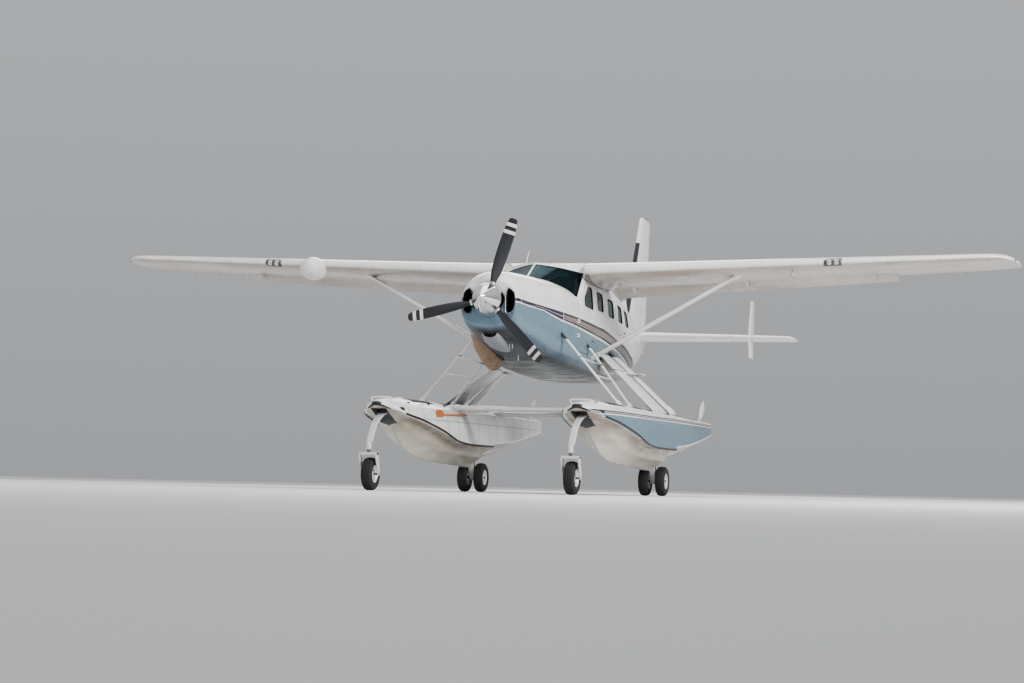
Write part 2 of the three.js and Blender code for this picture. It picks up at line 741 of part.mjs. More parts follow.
// Doors: side, outline, hinge, windows, glass strip
const DOORS = {
  crew_door_left: { sign: 1, outline: CREW_DOOR, hinge: "crew", windows: [CREW_WINDOW], strip: STRIPS.crew },
  crew_door_right: {
    sign: -1, outline: CREW_DOOR, hinge: "crew",
    windows: [CREW_WINDOW], strip: STRIPS.crew,
  },
  cargo_door_upper: {
    sign: 1,
    outline: CARGO_UPPER,
    hinge: "cargoUpper",
    windows: [WINDOWS.third, WINDOWS.fourth],
    strip: STRIPS.cargo,
  },
  cargo_door_lower: { sign: 1, outline: CARGO_LOWER, hinge: "cargoLower", windows: [] },
  airstair_upper: {
    sign: -1,
    outline: AIRSTAIR_UPPER,
    hinge: "airstairUpper",
    windows: [WINDOWS.fourth],
    strip: STRIPS.airstair,
  },
  airstair_lower: {
    sign: -1, outline: AIRSTAIR_LOWER_DOOR, hinge: "airstairLower",
    windows: [], steps: true,
  },
};
const STEPS = { y: [6520, 7000], z: [-430, -190], depth: 120, thickness: 28 };

function doorSolid({ sign, outline, hinge, windows, strip, steps }) {
  let solid = door(outline, sign);
  for (const window of windows) solid = solid.subtract(sideCut(window, sign, CORNER));
  if (strip) solid = solid.subtract(glassRecess(strip, sign));
  if (steps) {
    for (const z of STEPS.z) {
      const inner = skinX(STEPS.y[1], z) - WALL - STEPS.depth;
      const plank = block(inner, 900, ...STEPS.y, z, z + STEPS.thickness);
      const tread = plank.intersect(body(CABIN_SECTIONS, WALL / 2));
      solid = solid.add(onSide(tread, sign));
    }
  }
  return solid.add(onSide(hingeHalf(DOOR_HINGES[hinge], true), sign));
}

// Cabin fittings

const cabinRoom = cabinInside(WALL + GAP);
const FLOOR = { y: [2700, 7245], thickness: 40 };
const PANEL = { y: [2965, 3040], z: [40, 430], hood: 190 };
const YOKE = { x: 330, z: 210, reach: 170, radius: 15, grip: 120 };
const SEAT = { width: 460, length: 470, height: 350, cushion: 120, back: 640, backDepth: 110, lean: 120 };
const CREW_SEAT = { x: 330, y: 3640 };
const SEAT_ROWS = [4560, 5260, 5960];
const ROW_X = 400;
const SEAT_RAILS = [270, 530];
const RAIL_HEIGHT = 18;

function cabinFloor() {
  return block(-900, 900, ...FLOOR.y, FLOOR_Z - FLOOR.thickness, FLOOR_Z).intersect(cabinRoom);
}

function instrumentPanel() {
  const face = block(-900, 900, ...PANEL.y, ...PANEL.z);
  const hood = block(-560, 560, PANEL.y[0] - PANEL.hood, PANEL.y[1] + 40, PANEL.z[1] - 20, PANEL.z[1]);
  const yokes = [-YOKE.x, YOKE.x].flatMap((x) => {
    const back = PANEL.y[1] + YOKE.reach;
    const shaft = rod([x, PANEL.y[0] + 20, YOKE.z], [x, back, YOKE.z], YOKE.radius);
    const bar = rod([x - YOKE.grip, back, YOKE.z], [x + YOKE.grip, back, YOKE.z], YOKE.radius);
    const grips = [-1, 1].map((way) => {
      const gripX = x + way * YOKE.grip;
      return rod([gripX, back, YOKE.z - YOKE.radius], [gripX, back, YOKE.z + YOKE.grip], YOKE.radius);
    });
    return [shaft, bar, ...grips];
  });
  return joined([face, hood, ...yokes]).intersect(cabinRoom);
}

function seatAt(x, y, foot) {
  const { width, length, height, cushion, back, backDepth, lean } = SEAT;
  const top = FLOOR_Z + height;
  const under = top - cushion;
  const [x0, x1] = [x - width / 2, x + width / 2];
  const pan = block(x0, x1, y, y + length, under, top);
  const heel = y + length - 60;
  const rest = [
    [heel, under],
    [heel + backDepth, under],
    [heel + backDepth + lean, top + back],
    [heel + lean, top + back],
  ];
  const leg = block(x0 + 60, x1 - 60, y + 70, y + length - 50, foot, under + 20);
  return joined([pan, prism("x", rest, x0, x1), leg]);
}

function crewSeat(sign) {
  return seatAt(sign * CREW_SEAT.x, CREW_SEAT.y, FLOOR_Z + GAP);
}

function passengerSeats() {
  const [foot, head] = [FLOOR_Z + GAP, FLOOR_Z + GAP + RAIL_HEIGHT];
  const [start, end] = [SEAT_ROWS[0], SEAT_ROWS.at(-1) + SEAT.length];
  const rails = SEAT_RAILS.flatMap((x) => [-x, x]).map((x) => block(x - 14, x + 14, start, end, foot, head));
  const ties = [start, end - 40].map((y) => block(-SEAT_RAILS[1], SEAT_RAILS[1], y, y + 40, foot, head));
  const seats = SEAT_ROWS.flatMap((y) => [-ROW_X, ROW_X].map((x) => seatAt(x, y, foot)));
  return joined([...rails, ...ties, ...seats]);
}

// Nose: cowling, engine, propeller and exhaust

const ENGINE = { y: [560, FIREWALL_Y - GAP], radius: 235 };

function engine() {
  return rod([0, ENGINE.y[0], 0], [0, ENGINE.y[1], 0], ENGINE.radius, 20);
}

const COWL_LIP_Y = COWL_SECTIONS[0][0];
// In (z, x)
const INLET = [[-235, 285], [-210, 405], [-60, 440], [120, 425], [190, 350], [190, 300], [60, 275]];
const SHAFT_HOLE = 150;
const cowlOuter = body(COWL_SECTIONS);

function cowling() {
  const [lastY, ...lastShape] = COWL_SECTIONS.at(-1);
  const inner = body([...COWL_SECTIONS.slice(0, -1), [lastY + 20, ...lastShape]], COWL_SKIN);
  const hollow = inner.intersect(block(-900, 900, COWL_LIP_Y + COWL_SKIN, FIREWALL_Y + 50, -900, 900));
  const inlet = prism("y", INLET, COWL_LIP_Y - 50, COWL_LIP_Y + 300, 60);
  const shaft = rod([0, COWL_LIP_Y - 50, 0], [0, COWL_LIP_Y + 100, 0], SHAFT_HOLE, 24);
  const outwards = exhaustCurve.getTangent(1);
  const past = exhaustCurve.getPoint(1).addScaledVector(outwards, 2 * EXHAUST.room).toArray();
  const holeCurve = curveThrough([...EXHAUST.path.slice(0, -1), past]);
  const exhaustHole = tubeAlong(holeCurve, EXHAUST.radius + EXHAUST.room);
  return cowlOuter.subtract(hollow).subtract(bothSides(inlet)).subtract(shaft).subtract(exhaustHole);
}

const SPINNER = { length: 480, radius: 270, skin: 8, fullness: 0.86 };
const PROP = { y: 408, tipRadius: 1345, turn: 17, hub: 103, rootHole: 63, disc: 12, discRoom: 3.2 };
const PROP_SIDES = 30;
// Blade sections: radius, chord, thickness, pitch in degrees
const BLADE_SECTIONS = [
  [80, 88, 80, 50],
  [275, 104, 58, 44],
  [450, 172, 34, 36],
  [800, 205, 22, 27],
  [1130, 192, 15, 20],
  [1290, 150, 11, 18],
  [PROP.tipRadius, 80, 8, 17],
];

function spinnerRadius(y) {
  return SPINNER.radius * Math.sin((Math.PI / 2) * (y / SPINNER.length)) ** SPINNER.fullness;
}

function bladeTurns() {
  return [0, 1, 2].map((k) => new THREE.Matrix4().makeRotationY(((PROP.turn + k * 120) * Math.PI) / 180));
}

function spinner() {
  const outside = [0, 0.02, 0.08, 0.2, 0.4, 0.68, 1].map((share) => {
    const y = share * SPINNER.length;
    return [spinnerRadius(y), y];
  });
  const inside = [0.68, 0.4, 0.2, 0.08].map((share) => {
    const y = share * SPINNER.length;
    return [spinnerRadius(y) - SPINNER.skin, y + SPINNER.skin];
  });
  const rim = SPINNER.radius - SPINNER.skin;
  const profile = [...outside, [rim, SPINNER.length], ...inside, [0, 3 * SPINNER.skin]];
  const shell = turned(profile, [0, 0, 0], [0, 1, 0], PROP_SIDES);
  const hole = rod([0, PROP.y, 150], [0, PROP.y, 350], PROP.rootHole, 14);
  return shell.subtract(joined(bladeTurns().map((turn) => transformed(hole, turn))));
}

function propeller() {
  const sides = 12;
  const blade = loft(
    BLADE_SECTIONS.map(([radius, chord, thickness, degrees]) => {
      const pitchAngle = (degrees * Math.PI) / 180;
      return Array.from({ length: sides }, (_, j) => {
        const t = (2 * Math.PI * j) / sides;
        const [a, b] = [(chord / 2) * Math.cos(t), (thickness / 2) * Math.sin(t)];
        return [
          a * Math.cos(pitchAngle) - b * Math.sin(pitchAngle),
          PROP.y + a * Math.sin(pitchAngle) + b * Math.cos(pitchAngle),
          radius,
        ];
      });
    }),
  );
  const discEnd = SPINNER.length - 4;
  const rim = SPINNER.radius - SPINNER.skin - PROP.discRoom;
  const profile = [
    [0, PROP.y - 80],
    [PROP.hub, PROP.y - 80],
    [PROP.hub, discEnd - PROP.disc],
    [rim, discEnd - PROP.disc],
    [rim, discEnd],
    [60, discEnd],
    [60, ENGINE.y[0] - GAP],
    [0, ENGINE.y[0] - GAP],
  ];
  const hub = turned(profile, [0, 0, 0], [0, 1, 0], PROP_SIDES);
  return joined([hub, ...bladeTurns().map((turn) => transformed(blade, turn))]);
}

// The exhaust leaves the engine inside the cowling and passes out of its low starboard corner, down and back.
const EXHAUST = {
  path: [[-150, 1010, -190], [-330, 1150, -390], [-400, 1560, -590], [-385, 1880, -745], [-345, 2130, -850]],
  radius: 148,
  wall: 8,
  open: 260, // length of the open mouth
  room: 22, // between pipe and cowling
};
const exhaustCurve = curveThrough(EXHAUST.path);

function curveThrough(points) {
  return new THREE.CatmullRomCurve3(points.map((p) => new THREE.Vector3(...p)));
}

function tubeAlong(curve, radius) {
  const circle = new THREE.Shape();
  circle.absarc(0, 0, radius, 0, 2 * Math.PI);
  return solidOf(new THREE.ExtrudeGeometry(circle, { steps: 8, extrudePath: curve, curveSegments: 7 }));
}

// A round bar on the pipe's line at its end, between two distances from the end.
function exhaustEnd(start, stop, radius) {
  const end = new THREE.Vector3(...EXHAUST.path.at(-1));
  const back = exhaustCurve.getTangent(1);
  const [from, to] = [start, stop].map((s) => end.clone().addScaledVector(back, s).toArray());
  return rod(from, to, radius, 14);
}

function exhaust() {
  const mouth = exhaustEnd(-EXHAUST.open, 60, EXHAUST.radius - 2 * EXHAUST.wall);
  const block = rod([0, ENGINE.y[0], 0], [0, ENGINE.y[1], 0], ENGINE.radius + GAP, 20);
  const duct = tubeAlong(exhaustCurve, EXHAUST.radius).subtract(block);
  return duct.subtract(bodyRoom(HOOD_SECTIONS)).subtract(mouth);
}

// A radar pod on the starboard wing's leading edge.
const POD = { at: [-4180, 3735, 935], radii: [220, 330, 200] };

function radarPod() {
  return ellipsoid(POD.at, POD.radii, 16, 8).subtract(mirrored(foilRoom(WING)));
}

// Tail

const TUBE = 20; // elevator torque tube
const FINLET = {
  x: 2300,
  sections: [
    [110, 10330, 400, 0, 0.08],
    [560, 10230, 510, 0, 0.08],
    [1210, 10400, 330, 0, 0.08],
  ],
};
const RUDDER_ROOM = [[0, 10700], [95, 10700], [120, 10840], [330, 11300], [0, 11300]];

function stabilizer() {
  const half = foilBody(STABILIZER).subtract(coveCut(ELEVATOR));
  const flat = foilBody(FIN, FINLET.sections);
  const centre = block(-100, 100, 10700, 12000, 300, 700);
  return bothSides(half.add(moved(flat, FINLET.x, 0, 0))).subtract(centre);
}

function elevator() {
  const half = hingedSurface(ELEVATOR).add(pinStub(ELEVATOR)).subtract(prism("z", RUDDER_ROOM, 200, 800));
  const { centre } = noseAt(ELEVATOR, 0);
  const tube = rod([-200, centre[1], centre[2]], [200, centre[1], centre[2]], TUBE);
  return bothSides(half).add(tube);
}

const HOLLOW_SECTIONS = 4; // of the tail cone, from its front
const fixedTail = stabilizer();
const tailBody = body(TAIL_SECTIONS);

function tailCone() {
  const behind = block(-100, 100, 10700 + GAP, 12000, 300, 700);
  const slot = bothSides(foilRoom(STABILIZER)).subtract(behind);
  const [, y, z] = noseAt(ELEVATOR, 0).centre;
  const tubeHole = rod([-300, y, z], [300, y, z], TUBE + CLEAR);
  const [[frontY, ...frontShape], ...hollow] = TAIL_SECTIONS.slice(0, HOLLOW_SECTIONS);
  const room = body([[frontY - 20, ...frontShape], ...hollow], WALL);
  return tailBody.subtract(room).subtract(slot).subtract(tubeHole);
}

function fin() {
  const blade = foilBody(FIN).subtract(coveCut(RUDDER));
  return blade.subtract(bodyRoom(TAIL_SECTIONS)).subtract(block(-400, 400, 9000, 12000, 0, 560));
}

function rudder() {
  return hingedSurface(RUDDER).add(pinStub(RUDDER));
}

// Floats, in the level frame. Hull sections: y, half width at the deck and at the chine, z of the crown, of the
// deck's edge, of the chine and of the keel
const FOREBODY = [
  [-110, 95, 105, -1690, -1715, -1735, -1755],
  [60, 225, 255, -1650, -1745, -1800, -1850],
  [450, 330, 375, -1620, DECK_Z, -1885, -2010],
  [850, 368, 430, -1605, DECK_Z, -1935, -2215],
  [1350, 390, 468, -1600, DECK_Z, -2010, -2425],
  [2020, 400, 486, -1605, DECK_Z, -2110, -2555],
  [2900, 402, 492, -1610, DECK_Z, -2265, -2605],
  [3600, 402, 492, -1620, DECK_Z, -2300, -2630],
  [4900, 400, 490, -1645, DECK_Z, -2305, -2670],
];
const AFTERBODY = [
  [4870, 398, 480, -1645, DECK_Z, -2260, -2545],
  [6200, 375, 430, -1670, DECK_Z, -2195, -2420],
  [7600, 325, 350, -1705, DECK_Z, -2080, -2230],
  [8850, 255, 262, -1710, DECK_Z, -1960, -2030],
];
const TRANSOM_Y = AFTERBODY.at(-1)[0];
const BOW_BAY = { x: 130, y: [-300, 560], z: [-2300, -1795] };
const WHEEL_BAY = { x: 110, y: [4960, 5420], z: [-2800, -2335] };

function floatRing([y, deck, chine, crownZ, deckZ, chineZ, keelZ]) {
  const half = [
    [0.55 * chine, keelZ + 0.5 * (chineZ - keelZ)],
    [0.74 * chine, chineZ - 0.06 * (chineZ - keelZ)],
    [chine, chineZ],
    [0.45 * deck + 0.55 * chine, chineZ + 0.75 * (deckZ - chineZ)],
    [deck, deckZ],
    [0.6 * deck, deckZ + 0.7 * (crownZ - deckZ)],
  ];
  const port = half.map(([x, z]) => [x, y, z]);
  const starboard = half.map(([x, z]) => [-x, y, z]).reverse();
  return [[0, y, keelZ], ...port, [0, y, crownZ], ...starboard];
}

const MAST = { y: 8925, z: -1720, plate: [14, 30], boss: 13 }; // water rudder pivot on the transom

function hullSolid() {
  const shape = loft(FOREBODY.map(floatRing)).add(loft(AFTERBODY.map(floatRing)));
  const bowBay = block(-BOW_BAY.x, BOW_BAY.x, ...BOW_BAY.y, ...BOW_BAY.z);
  const wheelBay = block(-WHEEL_BAY.x, WHEEL_BAY.x, ...WHEEL_BAY.y, ...WHEEL_BAY.z);
  const outline = [
    [TRANSOM_Y - 20, MAST.z - 150],
    [MAST.y + 22, MAST.z - 22],
    [MAST.y + 22, MAST.z + 22],
    [TRANSOM_Y - 20, MAST.z + 30],
  ];
  const plates = [1, -1].map((sign) => onSide(prism("x", outline, ...MAST.plate), sign));
  return joined([shape.subtract(bowBay).subtract(wheelBay), ...plates]);
}

const floatHull = hullSolid();
const portFloat = moved(floatHull, FLOAT_X, 0, 0);
const deckNear = joined([portFloat, moved(portFloat, 0, 0, GAP), moved(portFloat, -GAP, 0, 0)]);

// Water rudder, drawn hanging down and stowed by turning it up and back.
const RUDDER_UP = 112;
const RUDDER_BLADE = [[-20, 22], [22, 22], [60, -90], [215, -210], [235, -520], [60, -575], [-5, -430]];

function waterRudder() {
  const blade = prism("x", RUDDER_BLADE, -7, 7, 20);
  const boss = rod([-MAST.plate[0] + GAP, 0, 0], [MAST.plate[0] - GAP, 0, 0], 20);
  const up = new THREE.Matrix4().makeRotationX((RUDDER_UP * Math.PI) / 180);
  return moved(transformed(blade.add(boss), up), 0, MAST.y, MAST.z);
}

// Spreader bars between the floats: y, z, chord, thickness
const SPREADERS = {
  front: [3090, -1690, 290, 95],
  rear: [5700, -1715, 260, 90],
};

function spreader([y, z, chord, thickness]) {
  const reach = FLOAT_X - 180;
  const bar = fairedStrut([-reach, y, z], [reach, y, z], chord, thickness);
  return bar.subtract(deckNear).subtract(mirrored(deckNear));
}

// Struts from the float decks to the body, in the level frame
const bodyNear = transformed(
  joined([
    bodyRoom(COWL_SECTIONS),
    bodyRoom(HOOD_SECTIONS),
    bodyRoom(CABIN_SECTIONS),
    bothSides(ellipsoid(LEG_ROOT.at, LEG_ROOT.radii.map((radius) => radius + GAP))),
  ]),
  pitch,
);

const LADDER = {
  front: { low: [1586, 2390, -1470], high: [649, 2390, -380], chord: 95, thickness: 42 },
  rear: { low: [1448, 3760, -1450], high: [720, 3770, -461], chord: 95, thickness: 42 },
  rungs: [0.3, 0.56],
  rungRadius: 16,
};
const MAIN_STRUTS = {
  front: { low: [1656, 4636, -1450], high: [588, 5100, -500], chord: [1020, 660], thickness: 90 },
  rear: { low: [1650, 5544, -1430], high: [683, 5416, -500], chord: [440, 400], thickness: 70 },
  tread: [[1110, 4960], [1340, 4960], [1340, 5820], [1110, 5820]],
  treadZ: -1000,
  treadThickness: 26,
};

function between(from, to, share) {
  return from.map((value, k) => value + share * (to[k] - value));
}

function levelStrut({ low, high, chord, thickness }) {
  return fairedStrut(level(low), level(high), chord, thickness);
}

function seated(struts, sign) {
  return largest(onSide(struts.subtract(deckNear), sign).subtract(bodyNear));
}

function ladderStruts(sign) {
  const rungs = LADDER.rungs.map((share) => {
    const ends = [LADDER.front, LADDER.rear].map(({ low, high }) => level(between(low, high, share)));
    return rod(...ends, LADDER.rungRadius, 8);
  });
  return seated(joined([levelStrut(LADDER.front), levelStrut(LADDER.rear), ...rungs]), sign);
}

function mainStruts(sign) {
  const { front, rear, tread, treadZ, treadThickness } = MAIN_STRUTS;
  const step = transformed(prism("z", tread, treadZ, treadZ + treadThickness), pitch);
  const struts = [front, rear].map(levelStrut);
  return seated(joined([...struts, step]), sign);
}

// Nose gear: a leaf out of the bow bay, a castering fork and one wheel
const NOSE_WHEEL = { radius: 260, width: 180, axle: 20, y: -320 };
const CASTER = { y: -430, head: 42, top: -2330, bottom: -2455 };
const LEAF = { path: [[520, -1850], [150, -1890], [-180, -2060], [-400, -2340]], half: 55, thickness: 44 };
const LEAF_ROOT = [330, 545];
const noseAxleZ = GROUND + NOSE_WHEEL.radius;
const FORK = { half: 126, arm: 22, crown: 45 };

function noseLeg() {
  const curve = new THREE.CatmullRomCurve3(LEAF.path.map(([y, z]) => new THREE.Vector3(y, z, 0)));
  const samples = Array.from({ length: 9 }, (_, i) => i / 8);
  const edge = (way) =>
    samples.map((t) => {
      const point = curve.getPoint(t);
      const tangent = curve.getTangent(t);
      const half = (way * LEAF.thickness) / 2;
      return [point.x - tangent.y * half, point.y + tangent.x * half];
    });
  const leaf = prism("x", [...edge(1), ...edge(-1).reverse()], -LEAF.half, LEAF.half);
  const root = block(-100, 100, ...LEAF_ROOT, -1880, BOW_BAY.z[1] - GAP);
  const head = rod([0, CASTER.y, CASTER.bottom], [0, CASTER.y, CASTER.top], CASTER.head, 16);
  return joined([leaf, root, head]);
}

function noseFork() {
  const crownTop = CASTER.bottom - GAP;
  const crownLow = crownTop - 2 * FORK.crown;
  const neck = rod([0, CASTER.y, crownTop], [0, CASTER.y, crownLow + 20], CASTER.head, 16);
  const outer = FORK.half + FORK.arm;
  const bridge = block(-outer, outer, CASTER.y - 48, CASTER.y + 48, crownLow, crownLow + FORK.crown);
  const outline = [
    [CASTER.y - 48, crownLow + FORK.crown],
    [CASTER.y - 48, crownLow - 40],
    [NOSE_WHEEL.y - 34, noseAxleZ - 30],
    [NOSE_WHEEL.y + 34, noseAxleZ - 30],
    [NOSE_WHEEL.y + 40, noseAxleZ + 60],
    [CASTER.y + 48, crownLow + FORK.crown],
  ];
  const arm = prism("x", outline, FORK.half, outer);
  const axle = rod([-outer, NOSE_WHEEL.y, noseAxleZ], [outer, NOSE_WHEEL.y, noseAxleZ], NOSE_WHEEL.axle, 24);
  return joined([neck, bridge, bothSides(arm), axle]);
}

// Wheel outline in shares of its radius and half width, from the hub's end round the tyre
const WHEEL_OUTLINE = [
  [0.26, 0.8],
  [0.47, 0.5],
  [0.52, 0.88],
  [0.8, 1],
  [1, 0.45],
];
const WHEEL_SIDES = 18;
const noseWheelBore = (NOSE_WHEEL.axle + GAP) / Math.cos(Math.PI / WHEEL_SIDES);

// A wheel about x with a bore, or with a solid hub.
function wheel({ radius, width }, bore) {
  const half = WHEEL_OUTLINE.map(([r, w]) => [r * radius, (w * width) / 2]);
  const hubEnd = half[0][1];
  const start = [bore, -hubEnd];
  const outer = half.map(([r, w]) => [r, -w]);
  const inner = half.map(([r, w]) => [r, w]).reverse();
  const profile = [start, ...outer, ...inner, [bore, hubEnd]];
  return turned(bore ? [...profile, start] : profile, [0, 0, 0], [1, 0, 0], WHEEL_SIDES);
}

// Main gear: a leg out of the bay behind the step, with twin wheels on one axle
const MAIN_WHEEL = { radius: 255, width: 165, apart: 150, y: 5290, axle: 28 };
const MAIN_LEG = { half: 50 };
const mainAxleZ = GROUND + MAIN_WHEEL.radius;

function mainLeg() {
  const { y } = MAIN_WHEEL;
  const roof = WHEEL_BAY.z[1] - GAP;
  const outline = [
    [y - 300, roof],
    [y - 90, roof],
    [y - 40, -2620],
    [y + 52, mainAxleZ + 40],
    [y + 58, mainAxleZ - 35],
    [y + 20, mainAxleZ - 58],
    [y - 45, mainAxleZ - 40],
    [y - 90, mainAxleZ + 60],
    [y - 210, -2560],
  ];
  const leg = prism("x", outline, -MAIN_LEG.half, MAIN_LEG.half, 18);
  const bore = rod([-90, y, mainAxleZ], [90, y, mainAxleZ], MAIN_WHEEL.axle + GAP, 24);
  return leg.subtract(bore);
}

function mainWheels() {
  const { apart, axle } = MAIN_WHEEL;
  const wheels = [-apart, apart].map((x) => moved(wheel(MAIN_WHEEL, 0), x, 0, 0));
  return joined([...wheels, rod([-apart, 0, 0], [apart, 0, 0], axle, 24)]);
}

// Meshes

const PAINT = {
  white: { color: 0xf2f1ec, roughness: 0.3, metalness: 0 },
  blue: { color: 0x9dbbd0, roughness: 0.3, metalness: 0.05 },
  glass: { color: 0x1d3a40, roughness: 0.05, metalness: 0, transparent: true, opacity: 0.45 },
  dark: { color: 0x1c1d20, roughness: 0.6, metalness: 0 },
  grey: { color: 0x8d8f92, roughness: 0.5, metalness: 0.3 },
  steel: { color: 0xb9bcc0, roughness: 0.25, metalness: 0.9 },
  bronze: { color: 0x8a6a52, roughness: 0.35, metalness: 0.8 },
  rubber: { color: 0x121212, roughness: 0.85, metalness: 0 },
  seat: { color: 0x6f6a62, roughness: 0.85, metalness: 0 },
};

function mesh(name, solid, paint, place = [0, 0, 0]) {
  const { vertProperties, triVerts, numProp } = solid.getMesh();
  const geometry = new THREE.BufferGeometry();
  geometry.setAttribute("position", new THREE.BufferAttribute(vertProperties.slice(), numProp));
  geometry.setIndex(new THREE.BufferAttribute(triVerts.slice(), 1));
  geometry.computeVertexNormals();
  const made = new THREE.Mesh(geometry, new THREE.MeshStandardMaterial(PAINT[paint]));
  made.name = name;
  made.position.set(...place);
  return made;
}

// The flaps are built retracted and set down about their pivots.
function loweredFlap(side, sign) {
  const made = mesh("flap_" + side, onSide(portFlap, sign), "white");
  const { at, axis } = flapPin();
  if (sign < 0) {
    at.x = -at.x;
    axis.x = -axis.x;
  }
  const turn = new THREE.Quaternion().setFromAxisAngle(axis, -sign * FLAP_DOWN);
  made.quaternion.copy(turn);
  made.position.copy(at.clone().sub(at.clone().applyQuaternion(turn)));
  return made;
}

const airframe = new THREE.Group();
airframe.rotation.x = -NOSE_UP;
airframe.add(
  mesh("cabin_shell", cabinShell(), "white"),
  mesh("windshield", windshield(), "glass"),
  mesh("cabin_floor", cabinFloor(), "grey"),
  mesh("instrument_panel", instrumentPanel(), "dark"),
  mesh("passenger_seats", passengerSeats(), "seat"),
  mesh("engine_cowling", cowling(), "white"),
  mesh("engine_block", engine(), "grey"),
  mesh("spinner", spinner(), "steel"),
  mesh("propeller_blades", propeller(), "dark"),
  mesh("exhaust_pipe", exhaust(), "bronze"),
  mesh("radar_pod", radarPod(), "white"),
  mesh("tail_cone", tailCone(), "white"),
  mesh("tailplane", fixedTail, "white"),
  mesh("elevator", elevator(), "white"),
  mesh("tail_fin", fin(), "white"),
  mesh("tail_rudder", rudder(), "white"),
);
for (const { side, sign } of SIDES) {
  airframe.add(
    mesh("crew_seat_" + side, crewSeat(sign), "seat"),
    mesh("cabin_windows_" + side, glassStrip(FIXED_STRIPS[side], sign), "glass"),
    mesh("wing_" + side, onSide(portWing, sign), "white"),
    mesh("aileron_" + side, onSide(portAileron, sign), "white"),
    mesh("wing_strut_" + side, wingStrut(sign), "white"),
    loweredFlap(side, sign),
  );
}
for (const [name, spec] of Object.entries(DOORS)) {
  airframe.add(mesh(name, doorSolid(spec), "white"));
  if (spec.strip) airframe.add(mesh(name + "_glass", glassStrip(spec.strip, spec.sign), "glass"));
}

const floats = new THREE.Group();
floats.add(
  mesh("spreader_front", spreader(SPREADERS.front), "white"),
  mesh("spreader_rear", spreader(SPREADERS.rear), "white"),
);
for (const { side, sign } of SIDES) {
  const x = sign * FLOAT_X;
  floats.add(
    mesh("float_" + side, onSide(floatHull, sign), "white", [x, 0, 0]),
    mesh("ladder_struts_" + side, ladderStruts(sign), "white"),
    mesh("main_struts_" + side, mainStruts(sign), "white"),
    mesh("nose_leg_" + side, noseLeg(), "white", [x, 0, 0]),
    mesh("nose_fork_" + side, noseFork(), "steel", [x, 0, 0]),
    mesh("nose_wheel_" + side, wheel(NOSE_WHEEL, noseWheelBore), "rubber", [x, NOSE_WHEEL.y, noseAxleZ]),
    mesh("main_leg_" + side, mainLeg(), "steel", [x, 0, 0]),
    mesh("main_wheels_" + side, mainWheels(), "rubber", [x, MAIN_WHEEL.y, mainAxleZ]),
    mesh("water_rudder_" + side, waterRudder(), "steel", [x, 0, 0]),
  );
}

// Pin lines of what moves, in the frame of the group that holds it
const pins = {
  airframe: {
    propeller: { at: new THREE.Vector3(0, PROP.y, 0), axis: new THREE.Vector3(0, 1, 0) },
    flap: flapPin(),
    aileron: pinOf(AILERON),
    elevator: pinOf(ELEVATOR),
    rudder: pinOf(RUDDER),
    ...Object.fromEntries(Object.entries(DOOR_HINGES).map(([name, hinge]) => [name, pinLine(hinge)])),
  },
  floats: {
    caster: { at: new THREE.Vector3(FLOAT_X, CASTER.y, CASTER.bottom), axis: new THREE.Vector3(0, 0, 1) },
    noseWheel: { at: new THREE.Vector3(FLOAT_X, NOSE_WHEEL.y, noseAxleZ), axis: new THREE.Vector3(1, 0, 0) },
    mainWheels: { at: new THREE.Vector3(FLOAT_X, MAIN_WHEEL.y, mainAxleZ), axis: new THREE.Vector3(1, 0, 0) },
    waterRudder: { at: new THREE.Vector3(FLOAT_X, MAST.y, MAST.z), axis: new THREE.Vector3(1, 0, 0) },
  },
};

const aircraft = new THREE.Group();
aircraft.add(airframe, floats);
aircraft.updateMatrixWorld(true);
const extent = new THREE.Box3().setFromObject(aircraft);
const middle = extent.getCenter(new THREE.Vector3());
aircraft.position.set(-middle.x, -middle.y, -extent.min.z);
aircraft.userData.pins = pins;

export default aircraft;
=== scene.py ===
import json
import math

import bmesh
import bpy
import numpy as np
from mathutils import Matrix, Vector

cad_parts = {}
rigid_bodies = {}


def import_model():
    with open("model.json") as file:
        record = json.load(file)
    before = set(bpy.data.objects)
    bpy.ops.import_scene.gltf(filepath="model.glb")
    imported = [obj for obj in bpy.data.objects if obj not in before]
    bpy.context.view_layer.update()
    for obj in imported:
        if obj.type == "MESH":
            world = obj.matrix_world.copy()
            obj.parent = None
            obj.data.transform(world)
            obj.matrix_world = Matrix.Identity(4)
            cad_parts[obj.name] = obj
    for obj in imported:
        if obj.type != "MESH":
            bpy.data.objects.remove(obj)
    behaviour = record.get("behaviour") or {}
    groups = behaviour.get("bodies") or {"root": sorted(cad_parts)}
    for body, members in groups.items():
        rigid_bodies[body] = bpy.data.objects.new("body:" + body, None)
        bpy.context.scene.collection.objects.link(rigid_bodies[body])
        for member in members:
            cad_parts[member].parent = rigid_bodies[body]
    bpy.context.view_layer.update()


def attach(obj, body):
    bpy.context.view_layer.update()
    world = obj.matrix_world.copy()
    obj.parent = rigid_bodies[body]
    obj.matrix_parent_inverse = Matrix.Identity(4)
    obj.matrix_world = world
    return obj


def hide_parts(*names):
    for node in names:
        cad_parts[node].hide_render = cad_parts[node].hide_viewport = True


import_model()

# Frames. Stations are metres: y aft from the spinner tip, z up from the thrust line. The airframe stands 3 degrees
# nose up against the floats, which are level.
NOSE_UP = math.radians(3)
TIP = Vector((0, -5.539837, 3.1))
AIR = Matrix.Translation(TIP) @ Matrix.Rotation(-NOSE_UP, 4, "X")
LEVEL = Matrix.Translation(TIP)
SIDES = (("left", 1), ("right", -1))
FLOAT_X = 1.64
scene = bpy.context.scene
CAMERA = {"eye": (12.37, -46.85, 0.12), "lens": 96.5, "yaw": 15.98, "pitch": 3.01, "roll": 1.26}


def mirror(matrix, sign):
    return matrix @ Matrix.Scale(sign, 4, (1, 0, 0))


